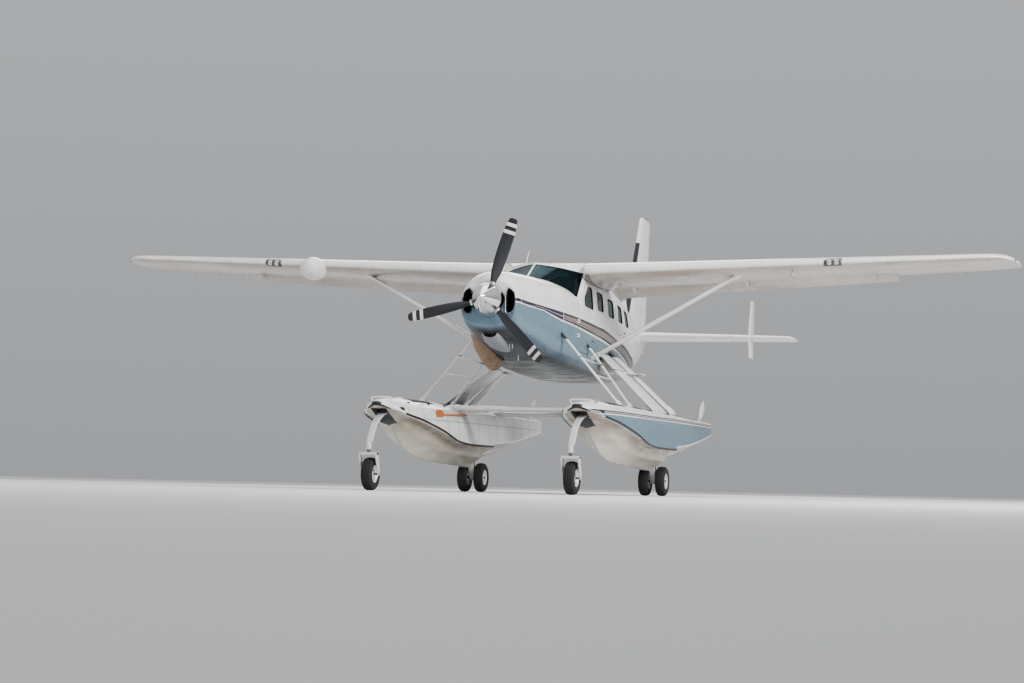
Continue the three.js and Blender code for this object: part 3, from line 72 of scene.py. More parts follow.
# Camera, at the floor and at the photograph's viewing angle
def camera():
    data = bpy.data.cameras.new("camera")
    data.lens = CAMERA["lens"]
    data.sensor_width = 36
    data.clip_end = 300
    eye = bpy.data.objects.new("camera", data)
    scene.collection.objects.link(eye)
    yaw, pitch, roll = (math.radians(CAMERA[k]) for k in ("yaw", "pitch", "roll"))
    ahead = Vector((-math.sin(yaw) * math.cos(pitch), math.cos(yaw) * math.cos(pitch), math.sin(pitch)))
    level = Vector((math.cos(yaw), math.sin(yaw), 0))
    up = level.cross(ahead)
    right = math.cos(roll) * level + math.sin(roll) * up
    up = right.cross(ahead)
    turn = Matrix((right, up, -ahead)).transposed().to_4x4()
    eye.matrix_world = Matrix.Translation(CAMERA["eye"]) @ turn
    scene.camera = eye


camera()


# Stage: a pale floor under a pale background, and large soft lights
def node_material(name):
    made = bpy.data.materials.new(name)
    made.use_nodes = True
    tree = made.node_tree
    tree.nodes.clear()
    shader = tree.nodes.new("ShaderNodeBsdfPrincipled")
    out = tree.nodes.new("ShaderNodeOutputMaterial")
    tree.links.new(shader.outputs[0], out.inputs[0])
    return made, tree, shader


def stage():
    made, tree, shader = node_material("stage_paper")
    noise = tree.nodes.new("ShaderNodeTexNoise")
    noise.inputs["Scale"].default_value = 0.6
    ramp = tree.nodes.new("ShaderNodeValToRGB")
    ramp.color_ramp.elements[0].color = (0.76, 0.765, 0.77, 1)
    ramp.color_ramp.elements[1].color = (0.80, 0.805, 0.81, 1)
    tree.links.new(noise.outputs["Fac"], ramp.inputs[0])
    tree.links.new(ramp.outputs[0], shader.inputs["Base Color"])
    shader.inputs["Roughness"].default_value = 0.9
    shader.inputs["Specular IOR Level"].default_value = 0.1
    floor = bpy.data.meshes.new("floor")
    reach = 140
    floor.from_pydata(
        [(-reach, -reach, 0), (reach, -reach, 0), (reach, reach, 0), (-reach, reach, 0)], [], [(0, 1, 2, 3)],
    )
    floor.materials.append(made)
    piece = bpy.data.objects.new("floor", floor)
    scene.collection.objects.link(piece)
    world = bpy.data.worlds.new("studio")
    world.use_nodes = True
    tree = world.node_tree
    back = tree.nodes["Background"]
    coords = tree.nodes.new("ShaderNodeTexCoord")
    split = tree.nodes.new("ShaderNodeSeparateXYZ")
    sky = tree.nodes.new("ShaderNodeValToRGB")
    for place, shade in ((0.0, 0.6), (0.45, 0.85), (1.0, 1.0)):
        stop = sky.color_ramp.elements.new(place) if place not in (0.0, 1.0) else sky.color_ramp.elements[int(place)]
        stop.color = (shade * 0.98, shade, shade * 1.03, 1)
    tree.links.new(coords.outputs["Generated"], split.inputs[0])
    tree.links.new(split.outputs["Z"], sky.inputs[0])
    tree.links.new(sky.outputs[0], back.inputs[0])
    back.inputs[1].default_value = 0.58
    scene.world = world
    # name, place, aim, size in metres, power in watts
    for name, place, aim, size, power in (
        ("key", (24, -16, 15), (0, 0, 3), 9, 6800),
        ("fill", (-24, -20, 9), (0, 0, 3), 16, 800),
        ("top", (0, 4, 26), (0, 0, 2), 20, 1900),
        ("rear", (-8, 26, 16), (0, 0, 3), 14, 1600),
    ):
        data = bpy.data.lights.new(name, "AREA")
        data.size = size
        data.energy = power
        lamp = bpy.data.objects.new(name, data)
        way = (Vector(aim) - Vector(place)).normalized()
        lamp.matrix_world = Matrix.Translation(place) @ way.to_track_quat("-Z", "Y").to_matrix().to_4x4()
        scene.collection.objects.link(lamp)
    scene.view_settings.view_transform = "AgX"
    scene.view_settings.look = "AgX - Medium High Contrast"


stage()


# Shader helpers
class Shade:
    """A material under construction: small wrappers round the nodes that most finishes here use."""

    def __init__(self, name, matrix=None, **sockets):
        self.made, self.tree, self.shader = node_material(name)
        for socket, value in sockets.items():
            self.shader.inputs[socket.replace("_", " ")].default_value = value
        coords = self.node("ShaderNodeTexCoord")
        self.place = coords.outputs["Object"]
        if matrix is not None:
            self.place = self.mapped(matrix)
        self.split = None

    def node(self, kind, **props):
        made = self.tree.nodes.new(kind)
        for key, value in props.items():
            setattr(made, key, value)
        return made

    def put(self, socket, value):
        if isinstance(value, bpy.types.NodeSocket):
            self.tree.links.new(value, socket)
        else:
            socket.default_value = value

    def mapped(self, matrix):
        """Object coordinates turned back into stations."""
        back = matrix.inverted()
        made = self.node("ShaderNodeMapping")
        made.inputs["Location"].default_value = back.to_translation()
        made.inputs["Rotation"].default_value = back.to_euler()
        self.put(made.inputs["Vector"], self.place)
        return made.outputs[0]

    def axis(self, letter):
        if self.split is None:
            self.split = self.node("ShaderNodeSeparateXYZ")
            self.put(self.split.inputs[0], self.place)
        return self.split.outputs[letter]

    def math(self, operation, a, b=0.0, c=0.0):
        made = self.node("ShaderNodeMath", operation=operation)
        for socket, value in zip(made.inputs, (a, b, c)):
            self.put(socket, value)
        return made.outputs[0]

    def remap(self, value, low, high, to_low=0.0, to_high=1.0):
        made = self.node("ShaderNodeMapRange")
        for socket, number in zip(made.inputs, (value, low, high, to_low, to_high)):
            self.put(socket, number)
        return made.outputs[0]

    def broken_line(self, value, points):
        """A height that runs straight from point to point."""
        total = points[0][1]
        for (a, low), (b, high) in zip(points, points[1:]):
            total = self.math("ADD", self.remap(value, a, b, 0.0, high - low), total)
        return total

    def noise(self, scale, detail=4.0, roughness=0.55, stretch=None):
        made = self.node("ShaderNodeTexNoise")
        place = self.place
        if stretch:
            scaled = self.node("ShaderNodeVectorMath", operation="MULTIPLY")
            self.put(scaled.inputs[0], place)
            scaled.inputs[1].default_value = stretch
            place = scaled.outputs[0]
        self.put(made.inputs["Vector"], place)
        for key, value in (("Scale", scale), ("Detail", detail), ("Roughness", roughness)):
            made.inputs[key].default_value = value
        return made.outputs["Fac"]

    def ramp(self, value, stops, constant=False):
        made = self.node("ShaderNodeValToRGB")
        band = made.color_ramp
        if constant:
            band.interpolation = "CONSTANT"
        while len(band.elements) < len(stops):
            band.elements.new(1.0)
        for element, (place, colour) in zip(band.elements, stops):
            element.position = place
            element.color = (*colour, 1) if not isinstance(colour, float) else (colour, colour, colour, 1)
        self.put(made.inputs[0], value)
        return made.outputs[0]

    def mix(self, share, a, b, blend="MIX"):
        made = self.node("ShaderNodeMix", data_type="RGBA", blend_type=blend)
        self.put(made.inputs[0], share)
        for socket, value in ((made.inputs[6], a), (made.inputs[7], b)):
            self.put(socket, (*value, 1) if isinstance(value, tuple) and len(value) == 3 else value)
        return made.outputs[2]

    def near(self, value, places, width):
        """1 within a width of any of the places, else 0."""
        found = None
        for place in places:
            hit = self.math("COMPARE", value, place, width)
            found = hit if found is None else self.math("MAXIMUM", found, hit)
        return found

    def facing(self):
        """How far the surface faces up, from -1 to 1."""
        made = self.node("ShaderNodeSeparateXYZ")
        self.put(made.inputs[0], self.node("ShaderNodeNewGeometry").outputs["Normal"])
        return made.outputs["Z"]

    def times(self, a, b):
        return self.math("MULTIPLY", a, b)

    def bump(self, height, distance, strength=1.0):
        made = self.node("ShaderNodeBump")
        made.inputs["Distance"].default_value = distance
        made.inputs["Strength"].default_value = strength
        self.put(made.inputs["Height"], height)
        self.put(self.shader.inputs["Normal"], made.outputs[0])

    def colour(self, value):
        self.put(self.shader.inputs["Base Color"], value)

    def rough(self, value):
        self.put(self.shader.inputs["Roughness"], value)


WHITE = (0.86, 0.855, 0.83)
BLUE = (0.150, 0.240, 0.310)
NAVY = (0.010, 0.010, 0.038)
MAROON = (0.10, 0.018, 0.022)
NEAR_BLACK = (0.012, 0.008, 0.010)
LILAC = (0.58, 0.50, 0.50)
# belly greys, partly exhaust soot and partly painted shade
BELLY_SOOT_AND_SHADE, BELLY_SOOT_AND_SHADE_PALE = (0.062, 0.062, 0.066), (0.125, 0.115, 0.105)
# float bottom cream, brown painted shade under the chine, and water streaks
BOTTOM_CREAM, FLUTE_SHADE_BROWN, WATER_STREAK = (0.80, 0.755, 0.66), (0.20, 0.135, 0.08), (0.52, 0.44, 0.33)
# grime, brown painted shade and ground reflection under wings and flaps, grey painted shadow lines on the floats
GRIME, UNDERSIDE_SHADE, RIB_SHADOW = (0.33, 0.30, 0.26), (0.47, 0.385, 0.325), (0.30, 0.31, 0.33)


def weathered(shade, colour, grime=0.35, scale=3.0, low=0.24, high=0.42):
    """Gloss paint with faint patches, streaks of grime and uneven polish."""
    patch = shade.noise(scale, 5.0)
    streak = shade.noise(4.0, 2.0, stretch=(1.0, 0.3, 1.8))
    tone = shade.ramp(patch, ((0.3, 0.93), (0.7, 1.0)))
    colour = shade.mix(1.0, colour, tone, "MULTIPLY")
    dirt = shade.times(shade.ramp(streak, ((0.42, 0.0), (0.85, 1.0))), grime * 0.6)
    colour = shade.mix(dirt, colour, GRIME)
    shade.rough(shade.remap(patch, 0.3, 0.7, low, high))
    return colour


def rivets(shade, u, v, pitch, radius):
    """Small round marks at every pitch along u, where v says that there is a row."""
    cell = shade.math("ABSOLUTE", shade.math("SUBTRACT", shade.math("FRACT", shade.math("DIVIDE", u, pitch)), 0.5))
    along = shade.math("LESS_THAN", cell, radius / pitch)
    return shade.times(along, v)


def white_paint(name, matrix, seams=(), rows=(), grime=0.3, base=WHITE, seam_width=0.0025, under=False):
    """White paint with panel seams and rivet rows. seams and rows are (axis letter, places)."""
    shade = Shade(name, matrix, Coat_Weight=0.35, Coat_Roughness=0.08, Specular_IOR_Level=0.5)
    colour = base
    if under:
        # surfaces facing down turn brown in patches: painted shade with a painted reflection of the ground
        facing = shade.facing()
        patch = shade.ramp(shade.noise(1.3, 5.0, stretch=(0.6, 1.6, 1.0)), ((0.35, 0.65), (0.65, 1.0)))
        down = shade.times(shade.remap(facing, -0.35, -0.8), patch)
        colour = shade.mix(down, colour, UNDERSIDE_SHADE)
    colour = weathered(shade, colour, grime)
    height = shade.times(shade.noise(14.0, 2.0), 0.25)
    line = None
    for letter, places in seams:
        hit = shade.near(shade.axis(letter), places, seam_width)
        line = hit if line is None else shade.math("MAXIMUM", line, hit)
    if line is not None:
        colour = shade.mix(shade.times(line, 0.55), colour, (0.25, 0.24, 0.23))
        height = shade.math("SUBTRACT", height, line)
    for letter, along, places in rows:
        row = shade.near(shade.axis(letter), places, 0.004)
        dots = rivets(shade, shade.axis(along), row, 0.035, 0.0045)
        colour = shade.mix(shade.times(dots, 0.35), colour, (0.4, 0.39, 0.37))
        height = shade.math("ADD", height, dots)
    shade.colour(colour)
    shade.bump(height, 0.0015, 0.6)
    return shade.made


# Upper and lower edge of the stripe band, as (y, z)
STRIPE_TOP = ((0.5, 0.032), (4.9, 0.022), (5.5, -0.028), (6.5, -0.108), (7.25, -0.211), (8.1, -0.370), (9.0, -0.560))
STRIPE_LOW = (
    (0.5, -0.028), (1.6, -0.032), (2.35, -0.100), (4.9, -0.175), (5.9, -0.242), (6.5, -0.330), (7.2, -0.455),
    (9.0, -0.800),
)


def fuselage_paint(name):
    """White above, steel blue below, and a band of stripes that runs straight back and down between them."""
    shade = Shade(name, AIR, Coat_Weight=0.4, Coat_Roughness=0.07)
    y, z = shade.axis("Y"), shade.axis("Z")
    top = shade.broken_line(y, STRIPE_TOP)
    low = shade.broken_line(y, STRIPE_LOW)
    share = shade.math("DIVIDE", shade.math("SUBTRACT", z, low), shade.math("SUBTRACT", top, low))
    # the ramp covers from one band width below the band to one above it
    across = shade.remap(share, -1.0, 2.0)

    def at(s):
        return (s + 1.0) / 3.0

    aft = shade.ramp(
        across,
        (
            (0.0, BLUE),
            (at(-0.2), WHITE),
            (at(0.0), NEAR_BLACK),
            (at(0.25), LILAC),
            (at(0.32), MAROON),
            (at(0.46), LILAC),
            (at(0.53), MAROON),
            (at(0.65), LILAC),
            (at(0.71), NEAR_BLACK),
            (at(1.0), WHITE),
        ),
        True,
    )
    front = shade.ramp(
        across, (
            (0.0, BLUE), (at(-0.22), WHITE), (at(0.0), NAVY), (at(0.42), LILAC), (at(0.52), NAVY), (at(1.0), WHITE),
        ), True
    )
    nose = shade.ramp(across, ((0.0, BLUE), (at(-0.22), WHITE), (at(0.12), NAVY), (at(1.0), WHITE)), True)
    colour = shade.mix(shade.math("GREATER_THAN", y, 2.44), front, aft)
    colour = shade.mix(shade.math("LESS_THAN", y, 1.27), colour, nose)
    breaks = shade.near(y, (0.69, 2.44), 0.008)
    near_band = shade.math("COMPARE", share, 0.45, 0.75)
    colour = shade.mix(shade.times(breaks, near_band), colour, WHITE)
    colour = weathered(shade, colour, 0.22)
    facing = shade.facing()
    # skin facing down ahead of the tail is darkened: partly exhaust soot, partly painted shade on the belly
    soot_and_shade = shade.times(shade.remap(facing, -0.40, -0.85), shade.remap(y, 7.6, 6.9))
    soot_and_shade = shade.times(soot_and_shade, shade.ramp(shade.noise(2.5, 6.0, stretch=(1.0, 0.4, 1.0)), ((0.3, 0.75), (0.7, 1.0))))
    cloud = shade.ramp(shade.noise(6.0, 5.0, stretch=(1.0, 0.5, 1.0)), ((0.4, 0.0), (0.7, 1.0)))
    soot_and_shade_tone = shade.mix(cloud, BELLY_SOOT_AND_SHADE, BELLY_SOOT_AND_SHADE_PALE)
    colour = shade.mix(soot_and_shade, colour, soot_and_shade_tone)
    shade.put(shade.shader.inputs["Coat Weight"], shade.remap(soot_and_shade, 0.0, 1.0, 0.4, 0.0))
    shade.put(shade.shader.inputs["Specular IOR Level"], shade.remap(soot_and_shade, 0.0, 1.0, 0.5, 0.08))
    frames = (0.9, 1.5, 2.2, 2.57, 3.0, 4.36, 5.0, 5.74, 6.4, 7.3, 8.1, 8.9, 9.7, 10.3)
    seam = shade.near(y, frames, 0.002)
    stringer = shade.near(z, (-0.62, -0.42, 0.12, 0.74), 0.002)
    line = shade.math("MAXIMUM", seam, stringer)
    colour = shade.mix(shade.times(line, 0.45), colour, (0.2, 0.2, 0.21))
    dots = shade.math(
        "MAXIMUM",
        rivets(shade, z, shade.near(y, [f + 0.02 for f in frames], 0.004), 0.04, 0.0045),
        rivets(shade, y, shade.near(z, (-0.6, -0.4, 0.14, 0.76), 0.004), 0.04, 0.0045),
    )
    colour = shade.mix(shade.times(dots, 0.25), colour, (0.4, 0.4, 0.4))
    shade.colour(colour)
    height = shade.math("SUBTRACT", shade.math("ADD", shade.times(shade.noise(10.0, 2.0), 0.3), dots), line)
    shade.bump(height, 0.0015, 0.6)
    return shade.made


# Chine of a float as (y, z), and where its outboard side begins as (y, half width)
FLOAT_CHINE = (
    (-0.11, -1.735), (0.06, -1.80), (0.45, -1.885), (0.85, -1.935), (1.35, -2.01), (2.02, -2.11), (2.9, -2.265),
    (3.6, -2.30), (4.88, -2.305), (4.9, -2.26), (6.2, -2.195), (7.6, -2.08), (8.85, -1.96),
)
FLOAT_SIDE = (
    (-0.11, 0.06), (0.06, 0.20), (0.45, 0.31), (0.85, 0.355), (1.35, 0.375), (5.0, 0.38), (6.2, 0.36), (7.6, 0.31),
    (8.85, 0.24),
)


def float_paint(name):
    """White deck and bottom, blue outboard side under a thin double stripe, brown painted shade along under the
    chine.
    """
    shade = Shade(name, LEVEL, Coat_Weight=0.35, Coat_Roughness=0.1)
    x, y, z = shade.axis("X"), shade.axis("Y"), shade.axis("Z")
    chine = shade.broken_line(y, FLOAT_CHINE)
    side = shade.ramp(
        shade.remap(z, -2.35, -1.55),
        (
            (0.0, BLUE),
            (0.645, WHITE),
            (0.67, MAROON),
            (0.69, LILAC),
            (0.705, NAVY),
            (0.735, WHITE),
        ),
        True,
    )
    reach = shade.math("SUBTRACT", shade.math("ABSOLUTE", x), FLOAT_X)
    outboard = shade.math("GREATER_THAN", reach, shade.broken_line(y, FLOAT_SIDE))
    above = shade.math("GREATER_THAN", z, chine)
    colour = shade.mix(shade.times(outboard, above), WHITE, side)
    # on the inboard side, wide grey lines of painted shadow are laid along the ribs and a stringer
    inboard = shade.math("LESS_THAN", reach, -0.30)
    frames = [0.45 + 0.6 * k for k in range(14)]
    ribs = shade.near(y, frames, 0.014)
    ribs = shade.math("MAXIMUM", ribs, shade.near(z, (-1.93,), 0.010))
    ribs = shade.times(shade.times(ribs, inboard), above)
    colour = shade.mix(shade.times(ribs, 0.6), colour, RIB_SHADOW)
    # the planing bottom is creamy, with brown painted shade just below the chine where the flute curves under, and
    # streaks running aft
    depth = shade.math("SUBTRACT", chine, z)
    bottom = shade.math("GREATER_THAN", depth, 0.004)
    colour = shade.mix(bottom, colour, BOTTOM_CREAM)
    streaks = shade.ramp(shade.noise(5.0, 6.0, stretch=(1.0, 0.3, 1.4)), ((0.36, 0.0), (0.66, 1.0)))
    close = shade.times(bottom, shade.remap(depth, 0.36, 0.06))
    flute_shade = shade.times(close, shade.remap(streaks, 0.0, 1.0, 0.45, 1.0))
    colour = shade.mix(flute_shade, colour, FLUTE_SHADE_BROWN)
    colour = shade.mix(shade.times(shade.times(streaks, bottom), 0.35), colour, WATER_STREAK)
    colour = weathered(shade, colour, 0.3, 4.0, 0.28, 0.5)
    seam = shade.near(y, frames, 0.002)
    colour = shade.mix(shade.times(seam, 0.4), colour, (0.3, 0.3, 0.3))
    dots = rivets(shade, z, shade.near(y, [f + 0.025 for f in frames], 0.005), 0.04, 0.005)
    colour = shade.mix(shade.times(dots, 0.3), colour, (0.42, 0.42, 0.42))
    shade.colour(colour)
    height = shade.math("SUBTRACT", shade.math("ADD", shade.times(shade.noise(9.0, 3.0), 0.3), dots), seam)
    shade.bump(height, 0.002, 0.6)
    return shade.made


def speckled(name, colour, second, scale, rough=(0.4, 0.6), bump=0.0006, metallic=0.0, **sockets):
    """A finish of two close tones in a fine noise, for plastic, rubber, metal and fabric."""
    shade = Shade(name, None, **sockets)
    shade.shader.inputs["Metallic"].default_value = metallic
    fine = shade.noise(scale, 6.0)
    broad = shade.noise(scale / 25.0, 4.0)
    shade.colour(shade.mix(shade.times(shade.math("ADD", fine, broad), 0.5), colour, second))
    shade.rough(shade.remap(broad, 0.3, 0.7, *rough))
    shade.bump(fine, bump)
    return shade.made


def metal(name, colour, rough=(0.2, 0.35), scale=60.0, stretch=(1, 1, 1), tint=None, bump=0.0002):
    shade = Shade(name, None, Metallic=1.0)
    grain = shade.noise(scale, 5.0, stretch=stretch)
    patch = shade.noise(2.2, 5.0)
    second = tint or tuple(c * 0.82 for c in colour)
    shade.colour(shade.mix(shade.ramp(patch, ((0.35, 0.0), (0.7, 1.0))), colour, second))
    shade.rough(shade.remap(grain, 0.3, 0.7, *rough))
    shade.bump(grain, bump)
    return shade.made


def glass(name, colour, rough=0.02):
    # reflections are tinted teal, a painted reflection colour, over the glass's own teal tint
    shade = Shade(name, None, Transmission_Weight=1.0, IOR=1.36, Specular_Tint=(0.25, 0.60, 0.72, 1.0))
    haze = shade.noise(3.0, 4.0)
    shade.colour(shade.mix(haze, colour, tuple(c * 0.86 for c in colour)))
    shade.rough(shade.remap(haze, 0.35, 0.75, rough, rough + 0.03))
    return shade.made


def heat_metal(name):
    """Exhaust steel, straw to bronze with sooty patches and a paler scale underneath."""
    shade = Shade(name, AIR, Metallic=0.35)
    y, z = shade.axis("Y"), shade.axis("Z")
    heat = shade.math("ADD", shade.remap(y, 1.0, 2.2), shade.times(shade.noise(4.0, 6.0), 0.5))
    colour = shade.ramp(
        heat,
        (
            (0.2, (0.30, 0.19, 0.125)), (0.55, (0.36, 0.235, 0.16)), (0.9, (0.24, 0.15, 0.11)),
            (1.0, (0.12, 0.09, 0.08)),
        ),
    )
    pale = shade.times(shade.remap(z, -0.62, -0.8), shade.ramp(shade.noise(7.0, 5.0), ((0.35, 0.3), (0.6, 1.0))))
    shade.colour(shade.mix(pale, colour, (0.40, 0.29, 0.20)))
    shade.rough(shade.remap(shade.noise(22.0, 5.0), 0.3, 0.7, 0.28, 0.55))
    shade.bump(shade.noise(45.0, 4.0), 0.0008)
    return shade.made


MATERIALS = {}


def finish_of(key, maker, *args, **kwargs):
    if key not in MATERIALS:
        MATERIALS[key] = maker(key, *args, **kwargs)
    return MATERIALS[key]


def paint_fuselage():
    return finish_of("fuselage_paint", fuselage_paint)


def paint_plain():
    return finish_of("plain_white_paint", white_paint, AIR)


def liner():
    return finish_of("cabin_liner", speckled, (0.20, 0.195, 0.185), (0.15, 0.145, 0.14), 160.0, (0.7, 0.9), 0.0008)


def dark_duct():
    return finish_of("duct_black", speckled, (0.012, 0.012, 0.014), (0.03, 0.03, 0.032), 90.0, (0.5, 0.75))


def window_glass():
    return finish_of("tinted_glass", glass, (0.10, 0.30, 0.37))


def seal_rubber():
    return finish_of("seal_rubber", speckled, (0.02, 0.02, 0.022), (0.035, 0.035, 0.038), 220.0, (0.55, 0.75))


def leg_metal():
    return finish_of("leg_metal", metal, (0.62, 0.63, 0.65), (0.28, 0.45))


def dark_metal():
    return finish_of("dark_metal", metal, (0.16, 0.16, 0.17), (0.35, 0.55))


def chrome():
    return finish_of(
        "polished_metal", metal, (0.80, 0.80, 0.81), (0.05, 0.11), 30.0, (1, 1, 1), (0.74, 0.75, 0.77), 0.00005,
    )


def fitting_white():
    return finish_of("fitting_white", white_paint, LEVEL, (), (), 0.4)


def wing_strut_white():
    return finish_of("strut_paint", white_paint, AIR, (), (), 0.3)


def walkway_grit():
    return finish_of("walkway_grit", speckled, (0.045, 0.047, 0.05), (0.08, 0.08, 0.085), 420.0, (0.85, 0.98), 0.002)


def belly_grey():
    return finish_of("belly_grey", speckled, (0.16, 0.165, 0.17), (0.11, 0.11, 0.115), 70.0, (0.4, 0.6), 0.0005)


def tyre_rubber():
    return finish_of("tyre_rubber", speckled, (0.018, 0.018, 0.019), (0.045, 0.043, 0.04), 130.0, (0.7, 0.92), 0.0008)


# Mesh helpers
def build(name, verts, faces, matrix=AIR, materials=(), smooth=35.0):
    """A mesh object from points in a frame. smooth is the angle above which an edge stays sharp."""
    mesh = bpy.data.meshes.new(name)
    mesh.from_pydata([tuple(v) for v in verts], [], [tuple(f) for f in faces])
    if matrix is not None:
        mesh.transform(matrix)
    piece = bpy.data.objects.new(name, mesh)
    scene.collection.objects.link(piece)
    tidy(piece, smooth)
    for material in materials:
        mesh.materials.append(material)
    return piece


def tidy(piece, smooth=35.0):
    """Merges doubled points, turns every face outwards and sets the smooth and sharp edges."""
    work = bmesh.new()
    work.from_mesh(piece.data)
    bmesh.ops.remove_doubles(work, verts=work.verts, dist=1e-6)
    bmesh.ops.dissolve_degenerate(work, edges=work.edges, dist=1e-7)
    bmesh.ops.recalc_face_normals(work, faces=work.faces)
    work.to_mesh(piece.data)
    work.free()
    if smooth:
        piece.data.shade_smooth()
        piece.data.set_sharp_from_angle(angle=math.radians(smooth))
    return piece


def apply_modifiers(piece):
    graph = bpy.context.evaluated_depsgraph_get()
    graph.update()
    old = piece.data
    made = bpy.data.meshes.new_from_object(piece.evaluated_get(graph), preserve_all_data_layers=True, depsgraph=graph)
    piece.modifiers.clear()
    piece.data = made
    made.name = piece.name
    bpy.data.meshes.remove(old)
    if not any(made.materials):
        made.materials.clear()
        made.polygons.foreach_set("material_index", [0] * len(made.polygons))
    return piece


def combine(piece, others, operation="DIFFERENCE", keep=False):
    """Cuts, joins or crosses a piece with others."""
    for other in others:
        cut = piece.modifiers.new("cut", "BOOLEAN")
        cut.object = other
        cut.operation = operation
        cut.solver = "MANIFOLD"
    apply_modifiers(piece)
    if not keep:
        for other in others:
            bpy.data.objects.remove(other)
    return piece


def coat(piece, material, smooth):
    """Gives a piece its material, and its smooth and sharp edges."""
    piece.data.materials.append(material)
    return tidy(piece, smooth)


def bevelled(piece, width, segments=3, sharp_only=False):
    edge = piece.modifiers.new("edge", "BEVEL")
    edge.width = width
    edge.segments = segments
    if sharp_only:
        edge.limit_method = "ANGLE"
        edge.angle_limit = math.radians(60)
    return apply_modifiers(piece)


def thickened(piece, thickness, offset=-1):
    skin = piece.modifiers.new("thick", "SOLIDIFY")
    skin.thickness = thickness
    skin.offset = offset
    return apply_modifiers(piece)


def copy_of(piece, name):
    made = piece.copy()
    made.data = piece.data.copy()
    made.name = made.data.name = name
    scene.collection.objects.link(made)
    return made


def discard(*pieces):
    for piece in pieces:
        bpy.data.objects.remove(piece)


def merge(name, pieces):
    """One object from several, with their materials."""
    bpy.ops.object.select_all(action="DESELECT")
    for piece in pieces:
        piece.select_set(True)
    bpy.context.view_layer.objects.active = pieces[0]
    if len(pieces) > 1:
        bpy.ops.object.join()
    pieces[0].name = pieces[0].data.name = name
    pieces[0].select_set(False)
    return pieces[0]


def settle(piece, body, nodes=()):
    """Puts a finished piece on its body, in place of the CAD nodes that it stands for."""
    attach(piece, body)
    if nodes:
        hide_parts(*nodes)
    return piece


def grid(rings, closed=True, caps=(True, True)):
    """Points and faces of a skin over rings of equal count."""
    count = len(rings[0])
    verts = [p for ring in rings for p in ring]
    faces = []
    for i in range(len(rings) - 1):
        for j in range(count if closed else count - 1):
            a, b = i * count + j, i * count + (j + 1) % count
            faces.append((a, b, b + count, a + count))
    if caps[0]:
        faces.append(tuple(reversed(range(count))))
    if caps[1]:
        faces.append(tuple(range((len(rings) - 1) * count, len(rings) * count)))
    return verts, faces


def rounded(points, radius, steps=6):
    """A polygon with its corners rounded by arcs of a curve, as a list of points."""
    made = []
    corners = [Vector(p) for p in points]
    for i, corner in enumerate(corners):
        before, after = corners[i - 1], corners[(i + 1) % len(corners)]
        ends = [corner + (o - corner).normalized() * min(radius, (o - corner).length / 2.2) for o in (before, after)]
        for k in range(steps + 1):
            t = k / steps
            made.append(ends[0] * (1 - t) ** 2 + corner * 2 * t * (1 - t) + ends[1] * t**2)
    return made


def grown(points, by):
    """An outline with every side moved outwards; the corners run anticlockwise."""
    corners = [Vector(p) for p in points]
    made = []
    for i, corner in enumerate(corners):
        into = (corner - corners[i - 1]).normalized()
        out = (corners[(i + 1) % len(corners)] - corner).normalized()
        a, b = Vector((into.y, -into.x)), Vector((out.y, -out.x))
        made.append(corner + (a + b) * (by / (1 + a.dot(b))))
    return made


AXIS_ORDER = {"x": (2, 0, 1), "y": (1, 2, 0), "z": (0, 1, 2)}


def prism(axis, points, low, high, matrix=AIR):
    """A solid along x over (y, z) points, along y over (z, x) points, or along z over (x, y) points."""
    order = AXIS_ORDER[axis]
    rings = [[tuple((p[0], p[1], at)[k] for k in order) for p in points] for at in (low, high)]
    verts, faces = grid(rings)
    return build("prism", verts, faces, matrix, smooth=0)


def ellipse_ring(centre, u, v, a, b, sides):
    return [
        centre + u * a * math.cos(2 * math.pi * k / sides) + v * b * math.sin(2 * math.pi * k / sides)
        for k in range(sides)
    ]


def sweep(points, radius, sides=16, closed_ends=True, shape=None):
    """A tube along points. radius is a number or one for each point; shape scales it as (across, up)."""
    points = [Vector(p) for p in points]
    radii = radius if hasattr(radius, "__len__") else [radius] * len(points)
    rings = []
    side = None
    for i, point in enumerate(points):
        way = (points[min(i + 1, len(points) - 1)] - points[max(i - 1, 0)]).normalized()
        if side is None:
            side = way.cross(Vector((0, 0, 1)) if abs(way.z) < 0.9 else Vector((0, 1, 0))).normalized()
        side = (side - way * side.dot(way)).normalized()
        rise = side.cross(way).normalized()
        wide, high = shape or (1, 1)
        rings.append(ellipse_ring(point, side, rise, radii[i] * wide, radii[i] * high, sides))
    return grid(rings, True, (closed_ends, closed_ends))


def lathe(profile, axis="x", sides=64):
    """A turned solid from (radius, distance along the axis). A point on the axis closes the end."""
    verts, faces = [], []
    rows = []
    for radius, along in profile:
        if radius < 1e-6:
            rows.append([len(verts)])
            verts.append((0, 0, along))
        else:
            rows.append(list(range(len(verts), len(verts) + sides)))
            verts += [
                (radius * math.cos(2 * math.pi * k / sides), radius * math.sin(2 * math.pi * k / sides), along)
                for k in range(sides)
            ]
    for a, b in zip(rows, rows[1:]):
        for k in range(sides):
            n = (k + 1) % sides
            if len(a) == 1 and len(b) > 1:
                faces.append((a[0], b[k], b[n]))
            elif len(b) == 1 and len(a) > 1:
                faces.append((a[k], b[0], a[n]))
            elif len(a) > 1:
                faces.append((a[k], b[k], b[n], a[n]))
    turn = AXIS_ORDER[axis]
    return [tuple(v[i] for i in turn) for v in verts], faces


def turned(name, profile, axis, sides, at, matrix=AIR, materials=(), smooth=40, scale=(1, 1, 1)):
    """A turned piece, scaled and moved to a place."""
    verts, faces = lathe(profile, axis, sides)
    verts = [tuple(a + k * c for a, k, c in zip(at, scale, v)) for v in verts]
    return build(name, verts, faces, matrix, materials, smooth)


def egg(points, reach=1.5):
    """Profile of a fairing shaped like an egg, to be scaled."""
    return [(0, -1)] + [(math.cos(a), math.sin(a)) for a in np.linspace(-reach, reach, points)] + [(0, 1)]


def tube_piece(name, path, radius, matrix, material, sides=16, shape=None):
    return build(name, *sweep(path, radius, sides, shape=shape), matrix, (material,), 40)


